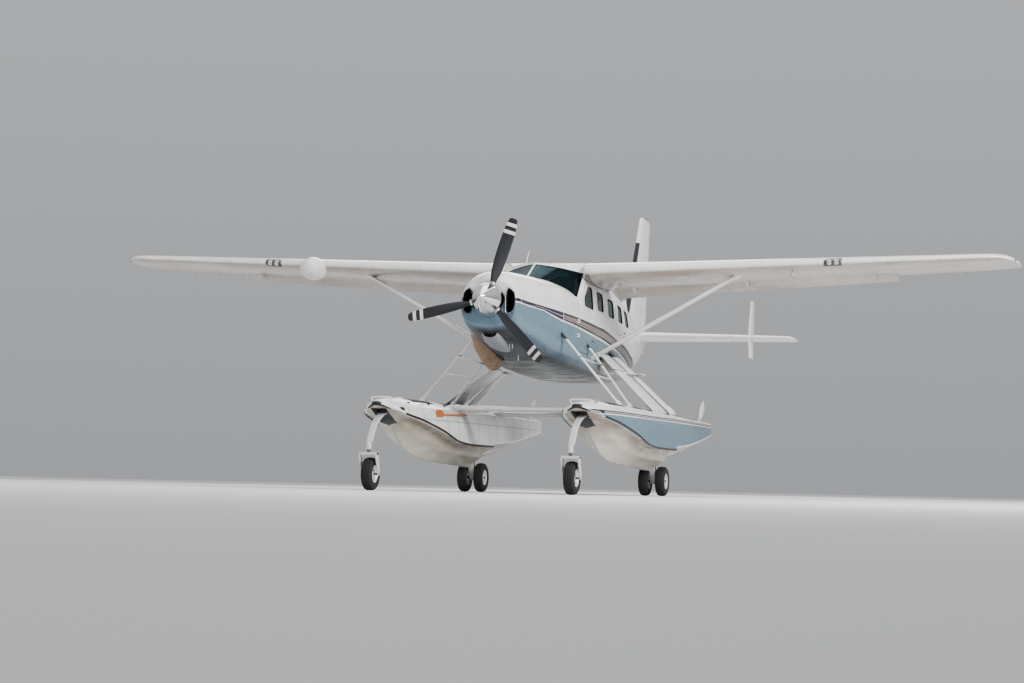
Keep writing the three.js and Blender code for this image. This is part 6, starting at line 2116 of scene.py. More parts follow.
def fabric():
    if "seat_fabric" not in MATERIALS:
        shade = Shade("seat_fabric", None, Sheen_Weight=0.25)
        weave = shade.noise(900.0, 3.0, stretch=(1, 1, 0.4))
        broad = shade.noise(7.0, 4.0)
        shade.colour(shade.mix(
            shade.times(shade.math("ADD", weave, broad), 0.5), (0.10, 0.125, 0.165), (0.19, 0.215, 0.26),
        ))
        shade.rough(shade.remap(weave, 0.3, 0.7, 0.75, 0.95))
        shade.bump(weave, 0.0008)
        MATERIALS["seat_fabric"] = shade.made
    return MATERIALS["seat_fabric"]


def inflate(piece, seconds=20):
    """Fills a cushion with the cloth solver: a little pressure on its own skin, then smoothed."""
    mesh = piece.modifiers.new("even", "REMESH")
    mesh.mode = "VOXEL"
    mesh.voxel_size = 0.006
    apply_modifiers(piece)
    before = np.array([v.co for v in piece.data.vertices])
    cloth = piece.modifiers.new("fill", "CLOTH")
    cloth.settings.quality = 4
    cloth.settings.mass = 0.25
    cloth.settings.use_pressure = True
    cloth.settings.uniform_pressure_force = 4.0
    cloth.settings.tension_stiffness = 22
    cloth.settings.shear_stiffness = 12
    cloth.settings.bending_stiffness = 1.2
    cloth.settings.effector_weights.gravity = 0
    cloth.point_cache.frame_start, cloth.point_cache.frame_end = 1, seconds
    for frame_at in range(1, seconds + 1):
        scene.frame_set(frame_at)
    apply_modifiers(piece)
    scene.frame_set(1)
    after = np.array([v.co for v in piece.data.vertices])
    moved = after - before
    reach = np.linalg.norm(moved, axis=1, keepdims=True)
    allowed = 0.014
    after = before + moved * np.minimum(1.0, allowed / np.maximum(reach, 1e-9))
    for vertex, point in zip(piece.data.vertices, after):
        vertex.co = point
    soften = piece.modifiers.new("soften", "SMOOTH")
    soften.iterations = 4
    soften.factor = 0.5
    fewer = piece.modifiers.new("fewer", "DECIMATE")
    fewer.ratio = 0.3
    apply_modifiers(piece)
    piece.data.shade_smooth()
    return piece


def make_seats():
    back_turn = Matrix.Rotation(math.atan2(0.12, 0.76), 4, "X").inverted()
    pan = inflate(cushion("pan", (0.40, 0.45, 0.10), 0.012, None))
    rest = inflate(cushion("rest", (0.40, 0.60, 0.09), 0.012, None))
    head = inflate(cushion("head", (0.24, 0.15, 0.07), 0.006, None))
    stand = Matrix.Rotation(math.radians(90), 4, "X")
    groups = {"crew_seat_left": [(1, SEAT["crew"])], "crew_seat_right": [(-1, SEAT["crew"])]}
    groups["passenger_seats"] = [(sign, (SEAT["aisle"], y)) for y in SEAT["rows"] for _, sign in SIDES]
    for name, places in groups.items():
        frames, cushions = [], []
        for sign, (x, y) in places:
            at = (sign * x, y)
            frames += seat_frame(*at)
            for source, place in (
                (pan, Matrix.Translation((at[0], y + 0.235, -0.305))),
                (rest, Matrix.Translation((at[0], y + 0.525, 0.03)) @ back_turn @ stand),
                (head, Matrix.Translation((at[0], y + 0.595, 0.375)) @ back_turn @ stand),
            ):
                made = copy_of(source, "cushion")
                made.data.transform(AIR @ place)
                cushions.append(made)
        frame_piece = merge(name + "_frames", frames)
        if name == "passenger_seats":
            rails = []
            for rail_x in (-0.53, -0.27, 0.27, 0.53):
                line = [
                    (rail_x - 0.014, FLOOR_Z + CLEAR), (rail_x + 0.014, FLOOR_Z + CLEAR),
                    (rail_x + 0.014, FLOOR_Z + 0.018), (rail_x - 0.014, FLOOR_Z + 0.018),
                ]
                rails.append(build(
                    "rail", *grid([[(a, at_y, b) for a, b in line] for at_y in (4.5, 6.6)]), AIR, (leg_metal(),), 40,
                ))
            frame_piece = merge(name + "_frames", [frame_piece] + rails)
        settle(frame_piece, "airframe", (name,))
        soft = merge(name + "_cushions", cushions)
        settle(soft, "airframe")
    discard(pan, rest, head)


def dial_finish():
    if "dial_face" not in MATERIALS:
        shade = Shade("dial_face", None)
        shade.colour(shade.mix(shade.noise(400.0, 2.0), (0.02, 0.022, 0.025), (0.05, 0.055, 0.06)))
        shade.rough(shade.remap(shade.noise(30.0), 0.3, 0.7, 0.08, 0.2))
        MATERIALS["dial_face"] = shade.made
    return MATERIALS["dial_face"]


PANEL_Y = 3.038  # face of the instrument panel
DIAL = ((0, 0.004), (0.040, 0.004), (0.042, 0.009), (0.047, 0.009), (0.049, 0.0), (0, -0.002))


def make_cockpit():
    board = finish_of("panel_grey", speckled, (0.085, 0.09, 0.095), (0.13, 0.13, 0.14), 220.0, (0.5, 0.7), 0.0004)
    parts = []
    outline = rounded([(0.045, -0.64), (0.40, -0.62), (0.43, -0.50), (0.43, 0.50), (0.40, 0.62), (0.045, 0.64)], 0.05)
    parts.append(prism("y", outline, 2.968, PANEL_Y))
    hood = [(2.775, 0.412), (3.075, 0.412), (3.085, 0.424), (3.070, 0.438), (2.780, 0.432)]
    parts.append(prism("x", hood, -0.56, 0.56))
    for part in parts:
        bevelled(part, 0.006)
        coat(part, board, 50)
    bezel = dark_metal()
    back = AIR.inverted()
    for sign in (1, -1):
        for row in (0.33, 0.22):
            for col in (0.20, 0.31, 0.42):
                dial = turned("dial", DIAL, "y", 40, (sign * col, PANEL_Y, row), AIR, (dial_finish(), bezel))
                for f in dial.data.polygons:
                    ys = [(back @ dial.data.vertices[v].co).y for v in f.vertices]
                    f.material_index = 0 if all(abs(y - PANEL_Y - DIAL[0][1]) < 1e-4 for y in ys) else 1
                parts.append(dial)
    for x, z, wide, high in ((0.0, 0.33, 0.15, 0.12), (0.0, 0.19, 0.17, 0.05), (0.0, 0.12, 0.17, 0.05)):
        z0, z1, x0, x1 = z - high / 2, z + high / 2, x - wide / 2, x + wide / 2
        outline = rounded([(z0, x0), (z1, x0), (z1, x1), (z0, x1)], 0.008, 3)
        screen = prism("y", outline, 3.036, 3.046)
        coat(screen, dial_finish(), 40)
        parts.append(screen)
    pedestal = [(3.04, 0.06), (3.16, 0.06), (3.22, -0.10), (3.22, -0.42), (3.04, -0.42)]
    box = prism("x", pedestal, -0.11, 0.11)
    coat(box, board, 40)
    parts.append(box)
    for k, x in enumerate((-0.05, 0.0, 0.05)):
        lever = [(x, 3.12, 0.05), (x, 3.15, 0.13 + 0.01 * k)]
        parts.append(tube_piece("lever", lever, 0.006, AIR, leg_metal(), 12))
        knob = [(0, -0.018), (0.014, -0.010), (0.016, 0.004), (0.010, 0.016), (0, 0.019)]
        parts.append(turned("knob", knob, "z", 20, (x, 3.153, 0.14 + 0.01 * k), AIR, (seal_rubber(),)))
    settle(merge("panel_board", parts), "airframe", ("instrument_panel",))
    yokes = []
    for sign in (1, -1):
        x, y, z = sign * 0.33, 3.04, 0.21
        yokes.append(tube_piece("column", [(x, y, z), (x, y + 0.17, z)], 0.015, AIR, leg_metal(), 20))
        horn = smooth_path(
            [
                (x - 0.14, y + 0.165, z + 0.09), (x - 0.13, y + 0.17, z + 0.02), (x - 0.07, y + 0.175, z - 0.02),
                (x, y + 0.175, z - 0.01), (x + 0.07, y + 0.175, z - 0.02), (x + 0.13, y + 0.17, z + 0.02),
                (x + 0.14, y + 0.165, z + 0.09),
            ],
            6,
        )
        yokes.append(tube_piece("horn", horn, 0.013, AIR, seal_rubber(), 16))
    settle(merge("control_yokes", yokes), "airframe")


# Floats: y, deck half width, chine half width, z of the crown, deck edge, chine and keel
FOREBODY = (
    (-0.110, 0.095, 0.105, -1.690, -1.715, -1.735, -1.755),
    (0.060, 0.225, 0.255, -1.650, -1.745, -1.800, -1.850),
    (0.450, 0.330, 0.375, -1.620, -1.757, -1.885, -2.010),
    (0.850, 0.368, 0.430, -1.605, -1.757, -1.935, -2.215),
    (1.350, 0.390, 0.468, -1.600, -1.757, -2.010, -2.425),
    (2.020, 0.400, 0.486, -1.605, -1.757, -2.110, -2.555),
    (2.900, 0.402, 0.492, -1.610, -1.757, -2.265, -2.605),
    (3.600, 0.402, 0.492, -1.620, -1.757, -2.300, -2.630),
    (4.900, 0.400, 0.490, -1.645, -1.757, -2.305, -2.670),
)
AFTERBODY = (
    (4.870, 0.398, 0.480, -1.645, -1.757, -2.260, -2.545),
    (6.200, 0.375, 0.430, -1.670, -1.757, -2.195, -2.420),
    (7.600, 0.325, 0.350, -1.705, -1.757, -2.080, -2.230),
    (8.850, 0.255, 0.262, -1.710, -1.757, -1.960, -2.030),
)
STEP_Y = 4.900


def float_half(crown, deck, chine, keel, deck_half, chine_half):
    """Half of a float's section from the keel up to the crown, with many points between its corners."""
    drop = chine - keel
    corners = [
        (0.0, keel),
        (0.55 * chine_half, keel + 0.5 * drop),
        (0.74 * chine_half, chine - 0.06 * drop),
        (chine_half, chine),
        (0.45 * deck_half + 0.55 * chine_half, chine + 0.75 * (deck - chine)),
        (deck_half, deck),
        (0.6 * deck_half, deck + 0.7 * (crown - deck)),
        (0.0, crown),
    ]
    line = []
    for k, (a, b) in enumerate(zip(corners, corners[1:])):
        steps = (6, 5, 4, 6, 6, 6, 8)[k]
        for t in range(steps):
            s = t / steps
            x, z = a[0] + (b[0] - a[0]) * s, a[1] + (b[1] - a[1]) * s
            if k == 2:
                z += 0.012 * math.sin(math.pi * s) * min(1, drop / 0.2)
            if k in (5, 6):
                # the deck is a smooth arch through its three points
                u = x / max(deck_half, 1e-6)
                z = deck + (crown - deck) * (1 - u * u) ** 0.9 if u < 1 else deck
            line.append((x, z))
    line.append(corners[-1])
    return line


def float_solid(rows, sign, name, step=0.06):
    y0, y1 = rows[0][0], rows[-1][0]
    curves = [spline([r[0] for r in rows], [r[k] for r in rows]) for k in range(1, 7)]
    ys = np.linspace(y0, y1, max(2, int((y1 - y0) / step)))
    if y0 < 0:
        ys = sorted(set(ys) | {y0 + 0.17 * (1 - math.cos(a)) for a in np.linspace(0, math.pi / 2, 9)})
    rings = []
    for y in ys:
        deck_half, chine_half, crown, deck, chine, keel = (c(y) for c in curves)
        half = float_half(crown, deck, chine, keel, deck_half, chine_half)
        ring = [(x, z) for x, z in half] + [(-x, z) for x, z in half[-2:0:-1]]
        rings.append([(sign * FLOAT_X + x, y, z) for x, z in ring])
    return build(name, *grid(rings), LEVEL, smooth=0)


def whole_float(sign, name, step=0.06):
    """Forebody and afterbody in one solid."""
    fore = float_solid(FOREBODY, sign, name, step)
    return combine(fore, [float_solid(AFTERBODY, sign, "aft", step)], "UNION")


def float_top(y, across=0.0):
    """Height of a float's deck at a station and a share of its half width."""
    rows = FOREBODY if y < STEP_Y else AFTERBODY
    crown, deck = (spline([r[0] for r in rows], [r[k] for r in rows])(y) for k in (3, 4))
    return deck + (crown - deck) * (1 - min(1.0, abs(across)) ** 2) ** 0.9


# Wheel wells: outline in (y, z), corner radius, half width
BOW_WELL = (((-0.30, -2.30), (0.54, -2.30), (0.54, -1.800), (-0.30, -1.795)), 0.05, 0.13)
MAIN_WELL = (((4.96, -2.80), (5.42, -2.80), (5.42, -2.345), (4.96, -2.345)), 0.04, 0.11)


def in_well(p, x):
    """Whether the middle of a face lies on a wall, the roof or an end of a wheel well."""
    bow = p.y < 0.5405 and -2.299 < p.z < -1.79
    main = 4.959 < p.y < 5.421 and p.z < -2.33
    off = abs(p.x - x)
    if off >= 0.1301 or not (bow or main):
        return False
    half, roof = (0.13, -1.8) if p.y < 1 else (0.11, -2.345)
    on_end = any(abs(p.y - y) < 0.01 for y in (0.54, 4.96, 5.42))
    return abs(off - half) < 0.002 or abs(p.z - roof) < 0.02 or on_end


def make_floats():
    paint = finish_of("float_paint", float_paint)
    for side, sign in SIDES:
        fore = whole_float(sign, "float_skin_" + side)
        x = sign * FLOAT_X
        bow, well = (
            prism("x", rounded(outline, corner), x - half, x + half, LEVEL)
            for outline, corner, half in (BOW_WELL, MAIN_WELL)
        )
        combine(fore, [bow, well])
        fore.data.materials.append(paint)
        coat(fore, finish_of("well_grey", speckled, (0.16, 0.17, 0.17), (0.10, 0.105, 0.11), 60.0, (0.5, 0.7)), 28)
        back = LEVEL.inverted()
        for face in fore.data.polygons:
            face.material_index = int(in_well(back @ face.center, x))
        settle(fore, "airframe", ("float_" + side,))
        make_float_fittings(side, sign)


def strip_along(side_sign, y0, y1, spot, half_wide, thick, name, material, steps=60):
    """A strip of fixed width that follows a line on the float, given by a function of y to (x, z)."""
    rings = []
    for y in np.linspace(y0, y1, steps):
        (x, z), (nx, nz) = spot(y)
        tx, tz = -nz, nx
        ring = []
        for a, b in ((-1, -0.3), (-1, 1), (1, 1), (1, -0.3)):
            across, up = x + tx * half_wide * a + nx * thick * b, z + tz * half_wide * a + nz * thick * b
            ring.append((side_sign * FLOAT_X + across, y, up))
        rings.append(ring)
    return build(name, *grid(rings), LEVEL, (material,), 40)


def make_float_fittings(side, sign):
    white = fitting_white()
    rubber = seal_rubber()
    x = sign * FLOAT_X
    curves = {
        rows: [spline([r[0] for r in rows], [r[k] for r in rows]) for k in range(1, 7)]
        for rows in (FOREBODY, AFTERBODY)
    }

    def values(y):
        return [c(y) for c in curves[FOREBODY if y < STEP_Y - 0.01 else AFTERBODY]]

    pieces = []
    # a rubber bumper round the bow and a rub strake along each chine and each deck edge
    bow = []
    for t in np.linspace(-1, 1, 33):
        y = -0.112 + 0.42 * abs(t) ** 2.2
        deck_half, chine_half, _, deck, chine, _ = values(max(y, -0.11))
        reach = deck_half + 0.3 * (chine_half - deck_half)
        bow.append((
            x + math.copysign(min(1, abs(t) ** 0.55), t) * (reach + 0.004), y - 0.012 * (1 - abs(t)),
            (deck + chine) / 2 + 0.006,
        ))
    pieces.append(tube_piece("bumper", smooth_path(bow[::2], 3), 0.026, LEVEL, rubber, 18, (1, 1.3)))
    for edge in (1, -1):
        def chine_spot(y, edge=edge):
            _, chine_half, _, _, chine, _ = values(y)
            return (edge * (chine_half - 0.002), chine + 0.004), (edge * 0.9, -0.43)

        def deck_spot(y, edge=edge):
            deck_half, _, _, deck, _, _ = values(y)
            return (edge * (deck_half - 0.001), deck - 0.008), (edge, 0.0)

        dark = finish_of("strake_dark", metal, (0.10, 0.09, 0.10), (0.4, 0.6))
        pieces.append(strip_along(sign, 0.35, 4.885, chine_spot, 0.016, 0.007, "strake", dark))
        pieces.append(strip_along(sign, 0.35, 4.885, deck_spot, 0.012, 0.005, "gunwale", white))
        pieces.append(strip_along(sign, 4.905, 8.84, deck_spot, 0.012, 0.005, "gunwale", white))
        pieces.append(strip_along(sign, 4.905, 8.84, chine_spot, 0.012, 0.005, "strake", white))
    # a keel strip of metal
    def keel_spot(y):
        return (0.0, values(y)[5] + 0.001), (0.0, -1.0)

    pieces.append(strip_along(sign, 0.60, 4.80, keel_spot, 0.016, 0.006, "keel", leg_metal()))
    pieces.append(strip_along(sign, 5.45, 8.80, keel_spot, 0.014, 0.005, "keel", leg_metal()))
    # walkway pads on the deck
    for y0, y1 in ((1.05, 2.15), (2.75, 3.35), (3.70, 4.45), (4.62, 5.35), (6.0, 6.9), (7.1, 7.9)):
        rings = []
        for y in np.linspace(y0, y1, 16):
            deck_half = values(y)[0]
            wide = deck_half * 0.62
            top = [(x + wide * s, y, float_top(y, wide * s / deck_half) + 0.003) for s in np.linspace(-1, 1, 11)]
            low = [(p[0], p[1], p[2] - 0.006) for p in top[::-1]]
            rings.append(top + low)
        pieces.append(build("pad", *grid(rings), LEVEL, (walkway_grit(),), 40))
    # cleats, pump-out caps and hatch covers
    for y in (0.42, 3.45, 6.35, 8.45):
        z = float_top(y, 0.55)
        cx = x + sign * 0.55 * values(y)[0]
        for dy in (-0.03, 0.03):
            pieces.append(tube_piece(
                "post", [(cx, y + dy, z - 0.01), (cx, y + dy, z + 0.035)], 0.010, LEVEL, leg_metal(), 14,
            ))
        pieces.append(tube_piece(
            "horn",
            smooth_path(
                [
                    (cx, y - 0.10, z + 0.046), (cx, y - 0.04, z + 0.036), (cx, y + 0.04, z + 0.036),
                    (cx, y + 0.10, z + 0.046),
                ],
                5,
            ),
            0.010, LEVEL, leg_metal(), 14,
        ))
    for y in (0.72, 1.7, 2.55, 3.55, 4.55, 5.75, 6.95, 8.1):
        cx, z = x - sign * 0.7 * values(y)[0], float_top(y, 0.7)
        cap = [(0, -0.01), (0.030, -0.01), (0.030, 0.006), (0.025, 0.010), (0, 0.011)]
        pieces.append(turned("cap", cap, "z", 28, (cx, y, z), LEVEL, (rubber,)))
    for y in (0.95, 2.45, 5.55, 7.0):
        z = float_top(y, 0.0)
        lid = [
            (0, -0.012), (0.085, -0.012), (0.085, 0.006), (0.078, 0.012), (0.030, 0.014), (0.026, 0.010), (0, 0.010),
        ]
        pieces.append(turned("hatch", lid, "z", 48, (x, y, z), LEVEL, (white,)))
    # an anchor bar across the top of the bow
    deck = float_top(0.13, 0.5)
    bar = [(x + dx, 0.13, deck + rise) for dx, rise in ((-0.15, 0.002), (-0.15, 0.05), (0.15, 0.05), (0.15, 0.002))]
    pieces.append(tube_piece("bar", smooth_path(bar, 8), 0.013, LEVEL, white, 16))
    settle(merge("float_fittings_" + side, pieces), "airframe")
    # a paddle on the inboard side of the right float, held by two clips
    if sign < 0:
        wood = finish_of("paddle_orange", speckled, (0.62, 0.17, 0.035), (0.52, 0.13, 0.03), 40.0, (0.35, 0.5))
        y0, y1 = 2.1, 3.35
        inner = x + 0.415
        shaft = [(inner + 0.03, y0, -1.83), (inner + 0.03, y1, -1.80)]
        parts = [tube_piece("shaft", shaft, 0.015, LEVEL, wood, 16)]
        rings = []
        for t, half in ((0.0, 0.016), (0.12, 0.05), (0.3, 0.075), (0.7, 0.082), (0.93, 0.075), (1.0, 0.05)):
            y = y0 - 0.02 - 0.42 * t
            rings.append([
                (inner + 0.03 + 0.008 * math.sin(a), y, -1.832 + half * math.cos(a))
                for a in np.linspace(0, 2 * math.pi, 24, endpoint=False)
            ])
        parts.append(build("blade", *grid(rings), LEVEL, (wood,), 40))
        for y in (2.3, 3.1):
            z = -1.83 + 0.03 * (y - y0) / (y1 - y0)
            x0, x1 = inner - 0.02, inner + 0.052
            line = [(x0, z - 0.025), (x1, z - 0.025), (x1, z - 0.017), (x0, z - 0.017)]
            clip = grid([[(a, y + d, b) for a, b in line] for d in (-0.015, 0.015)])
            parts.append(build("clip", *clip, LEVEL, (leg_metal(),), 40))
        settle(merge("paddle", parts), "airframe")


# Struts between the cabin and the floats
def strut_paint():
    """White with a dark cuff line and a dark boot near the top."""
    if "strut_white" not in MATERIALS:
        shade = Shade("strut_white", AIR, Coat_Weight=0.3)
        z = shade.axis("Z")
        base = weathered(shade, WHITE, 0.35, 6.0)
        band = shade.near(z, (-0.71,), 0.007)
        boot = shade.math("GREATER_THAN", z, -0.42)
        shade.colour(shade.mix(shade.math("MAXIMUM", band, boot), base, (0.05, 0.05, 0.055)))
        shade.bump(shade.noise(16.0, 3.0), 0.0008)
        MATERIALS["strut_white"] = shade.made
    return MATERIALS["strut_white"]


def strut_piece(name, low, high, chord, thickness, sign):
    piece = build(name, *faired(low, high, chord, thickness), mirror(LEVEL, sign), smooth=0)
    return coat(piece, strut_paint(), 40)


MAIN_FRONT = {
    "low": (1.656, 4.636, -1.450), "high": (0.588, 5.100, -0.500), "chord": (1.020, 0.660), "thickness": 0.090,
}
MAIN_REAR = {
    "low": (1.650, 5.544, -1.430), "high": (0.683, 5.416, -0.500), "chord": (0.440, 0.400), "thickness": 0.070,
}
LADDER_FRONT = {"low": (1.586, 2.390, -1.470), "high": (0.649, 2.390, -0.380)}
LADDER_REAR = {"low": (1.448, 3.760, -1.450), "high": (0.720, 3.770, -0.461)}
# How far the struts run on past their lower and upper ends, before the floats and the cabin trim them
MAIN_RUN_ON, LADDER_RUN_ON = (0.34, 0.10), (0.30, 0.16)


def stretched(strut, below, above):
    low, high = Vector(strut["low"]), Vector(strut["high"])
    way = (high - low).normalized()
    return low - way * below, high + way * above


def make_struts():
    for side, sign in SIDES:
        def obstacles():
            return [whole_float(sign, "fore", 0.12), cabin_body.solid(2.2001, CABIN_END_Y, -CLEAR, 0.11)]

        main = []
        for strut in (MAIN_FRONT, MAIN_REAR):
            low, high = stretched(strut, *MAIN_RUN_ON)
            run = (Vector(strut["high"]) - Vector(strut["low"])).length
            grow = (strut["chord"][1] - strut["chord"][0]) / run
            chord = (strut["chord"][0], strut["chord"][1] + MAIN_RUN_ON[1] * grow)
            main.append(strut_piece("strut", low, high, chord, strut["thickness"], sign))
        whole = combine(main[0], [main[1]], "UNION")
        whole.name = "main_strut_skin_" + side
        plate = prism(
            "z", rounded([(1.110, 4.820), (1.340, 4.820), (1.340, 5.820), (1.110, 5.820)], 0.03), -1.000, -0.974,
            mirror(LEVEL, sign),
        )
        combine(whole, [plate], "UNION")
        combine(whole, obstacles())
        tidy(whole, 40)
        settle(whole, "airframe", ("main_struts_" + side,))
        pad = prism(
            "z", rounded([(1.125, 4.90), (1.325, 4.90), (1.325, 5.80), (1.125, 5.80)], 0.02), -0.9745, -0.9715,
            mirror(LEVEL, sign),
        )
        coat(pad, walkway_grit(), 40)
        settle(pad, "airframe")
        pad.name = "step_pad_" + side
        parts = []
        for strut in (LADDER_FRONT, LADDER_REAR):
            low, high = stretched(strut, *LADDER_RUN_ON)
            parts.append(strut_piece("strut", low, high, (0.095, 0.095), 0.042, sign))
        rails = combine(parts[0], [parts[1]], "UNION")
        front, rear = ([Vector(s["low"]), Vector(s["high"])] for s in (LADDER_FRONT, LADDER_REAR))
        for share in (0.30, 0.56):
            a, b = front[0].lerp(front[1], share), rear[0].lerp(rear[1], share)
            rung = build("rung", *sweep([a, b], 0.016, 32, shape=(2.3, 0.8)), mirror(LEVEL, sign), smooth=0)
            combine(rails, [rung], "UNION")
        combine(rails, obstacles())
        rails.name = "ladder_skin_" + side
        tidy(rails, 40)
        settle(rails, "airframe", ("ladder_struts_" + side,))
        # shoes where the struts meet the deck
        cuffs = []
        for strut, size, thick in ((MAIN_REAR, 0.46, 0.11), (LADDER_FRONT, 0.15, 0.075), (LADDER_REAR, 0.15, 0.075)):
            low, high = Vector(strut["low"]), Vector(strut["high"])
            way = (high - low).normalized()
            t = (-1.60 - low.z) / (high.z - low.z)
            foot = low.lerp(high, t)
            ends = (foot - way * 0.06, foot + way * 0.045)
            cuffs.append(strut_piece("shoe", *ends, (size, size * 0.92), thick, sign))
        settle(merge("strut_shoes_" + side, cuffs), "airframe")
    for name, y, z, chord, thickness in (
        ("spreader_front", 3.090, -1.690, 0.290, 0.095), ("spreader_rear", 5.700, -1.715, 0.260, 0.090),
    ):
        piece = build(
            name + "_skin", *faired((-1.46, y, z), (1.46, y, z), (chord, chord), thickness), LEVEL, smooth=0,
        )
        cuts = []
        for _, sign in SIDES:
            cuts.append(float_solid(FOREBODY if y < STEP_Y else AFTERBODY, sign, "hull", 0.12))
        combine(piece, cuts)
        coat(piece, fitting_white(), 40)
        settle(piece, "airframe", (name,))
        cuffs = []
        for _, sign in SIDES:
            cuffs.append(build(
                "cuff",
                *faired((sign * 1.215, y, z), (sign * 1.285, y, z), (chord * 1.14, chord * 1.14), thickness * 1.3),
                LEVEL, (fitting_white(),), 40,
            ))
        settle(merge(name + "_cuffs", cuffs), "airframe")


# Wheels and their legs
NOSE_WHEEL = {"radius": 0.260, "half": 0.090, "axle": 0.0155, "y": -0.320, "z": -2.840}
CASTER_Y = -0.430  # upright pin that the nose fork turns on
MAIN_WHEEL = {"radius": 0.255, "half": 0.0825, "axle": 0.024, "y": 5.290, "z": -2.845, "x": 0.150}


def wheel(kind, at, ribs):
    """Tyre with grooves round it, rim with bolts, and hub, as separate skins."""
    radius, half, axle = kind["radius"], kind["half"], kind["axle"]
    parts = []
    side = []
    bead, shoulder = 0.52 * radius, 0.93 * radius
    for r, h in (
        (bead, 0.80), (bead + 0.02 * radius, 0.87), (0.62 * radius, 0.955), (0.74 * radius, 0.995),
        (0.82 * radius, 0.985), (0.89 * radius, 0.90), (shoulder, 0.80),
    ):
        side.append((r, h * half))
    tread = []
    for k in range(49):
        s = 1 - 2 * k / 48
        crown = radius - 0.066 * radius * abs(s * 0.80) ** 2.4 * 1.3
        groove = 0.0
        for rib in ribs:
            groove = max(groove, 0.007 * (1 if abs(s * 0.78 - rib) < 0.035 else 0))
        tread.append((crown - groove, 0.78 * half * s))
    profile = side + tread + [(r, -h) for r, h in side[::-1]] + [(bead - 0.015, 0), side[0]]
    parts.append(turned("tyre", profile, "x", 96, at, LEVEL, (tyre_rubber(),), 50))
    hub_white = finish_of(
        "hub_white", speckled, (0.70, 0.70, 0.69), (0.60, 0.60, 0.59), 25.0, (0.3, 0.5), 0.0003, 0.0, Coat_Weight=0.3,
    )
    for way in (1, -1):
        rim = [
            (axle + 0.001, 0.66), (0.20 * radius, 0.68), (0.245 * radius, 0.64), (0.28 * radius, 0.50),
            (0.40 * radius, 0.42), (0.47 * radius, 0.56), (0.50 * radius, 0.78), (0.53 * radius, 0.84),
            (0.535 * radius, 0.80), (0.50 * radius, 0.60), (0.49 * radius, 0.05), (axle + 0.001, 0.05),
            (axle + 0.001, 0.66),
        ]
        parts.append(turned("rim", [(r, way * h * half) for r, h in rim], "x", 64, at, LEVEL, (hub_white,)))
        for k in range(8):
            a = 2 * math.pi * k / 8
            p = Vector((
                at[0] + way * 0.45 * half, at[1] + 0.34 * radius * math.cos(a), at[2] + 0.34 * radius * math.sin(a),
            ))
            parts.append(build(
                "bolt", *sweep([p - Vector((way * 0.01, 0, 0)), p + Vector((way * 0.010, 0, 0))], 0.009, 6), LEVEL,
                (leg_metal(),), 30,
            ))
    return parts


def leg_plate(outline, x0, x1, sign, material, round_by=0.02, edge=0.006):
    piece = prism("x", rounded(outline, round_by, 5), x0, x1, mirror(LEVEL, sign))
    return coat(bevelled(piece, edge, sharp_only=True), material, 45)


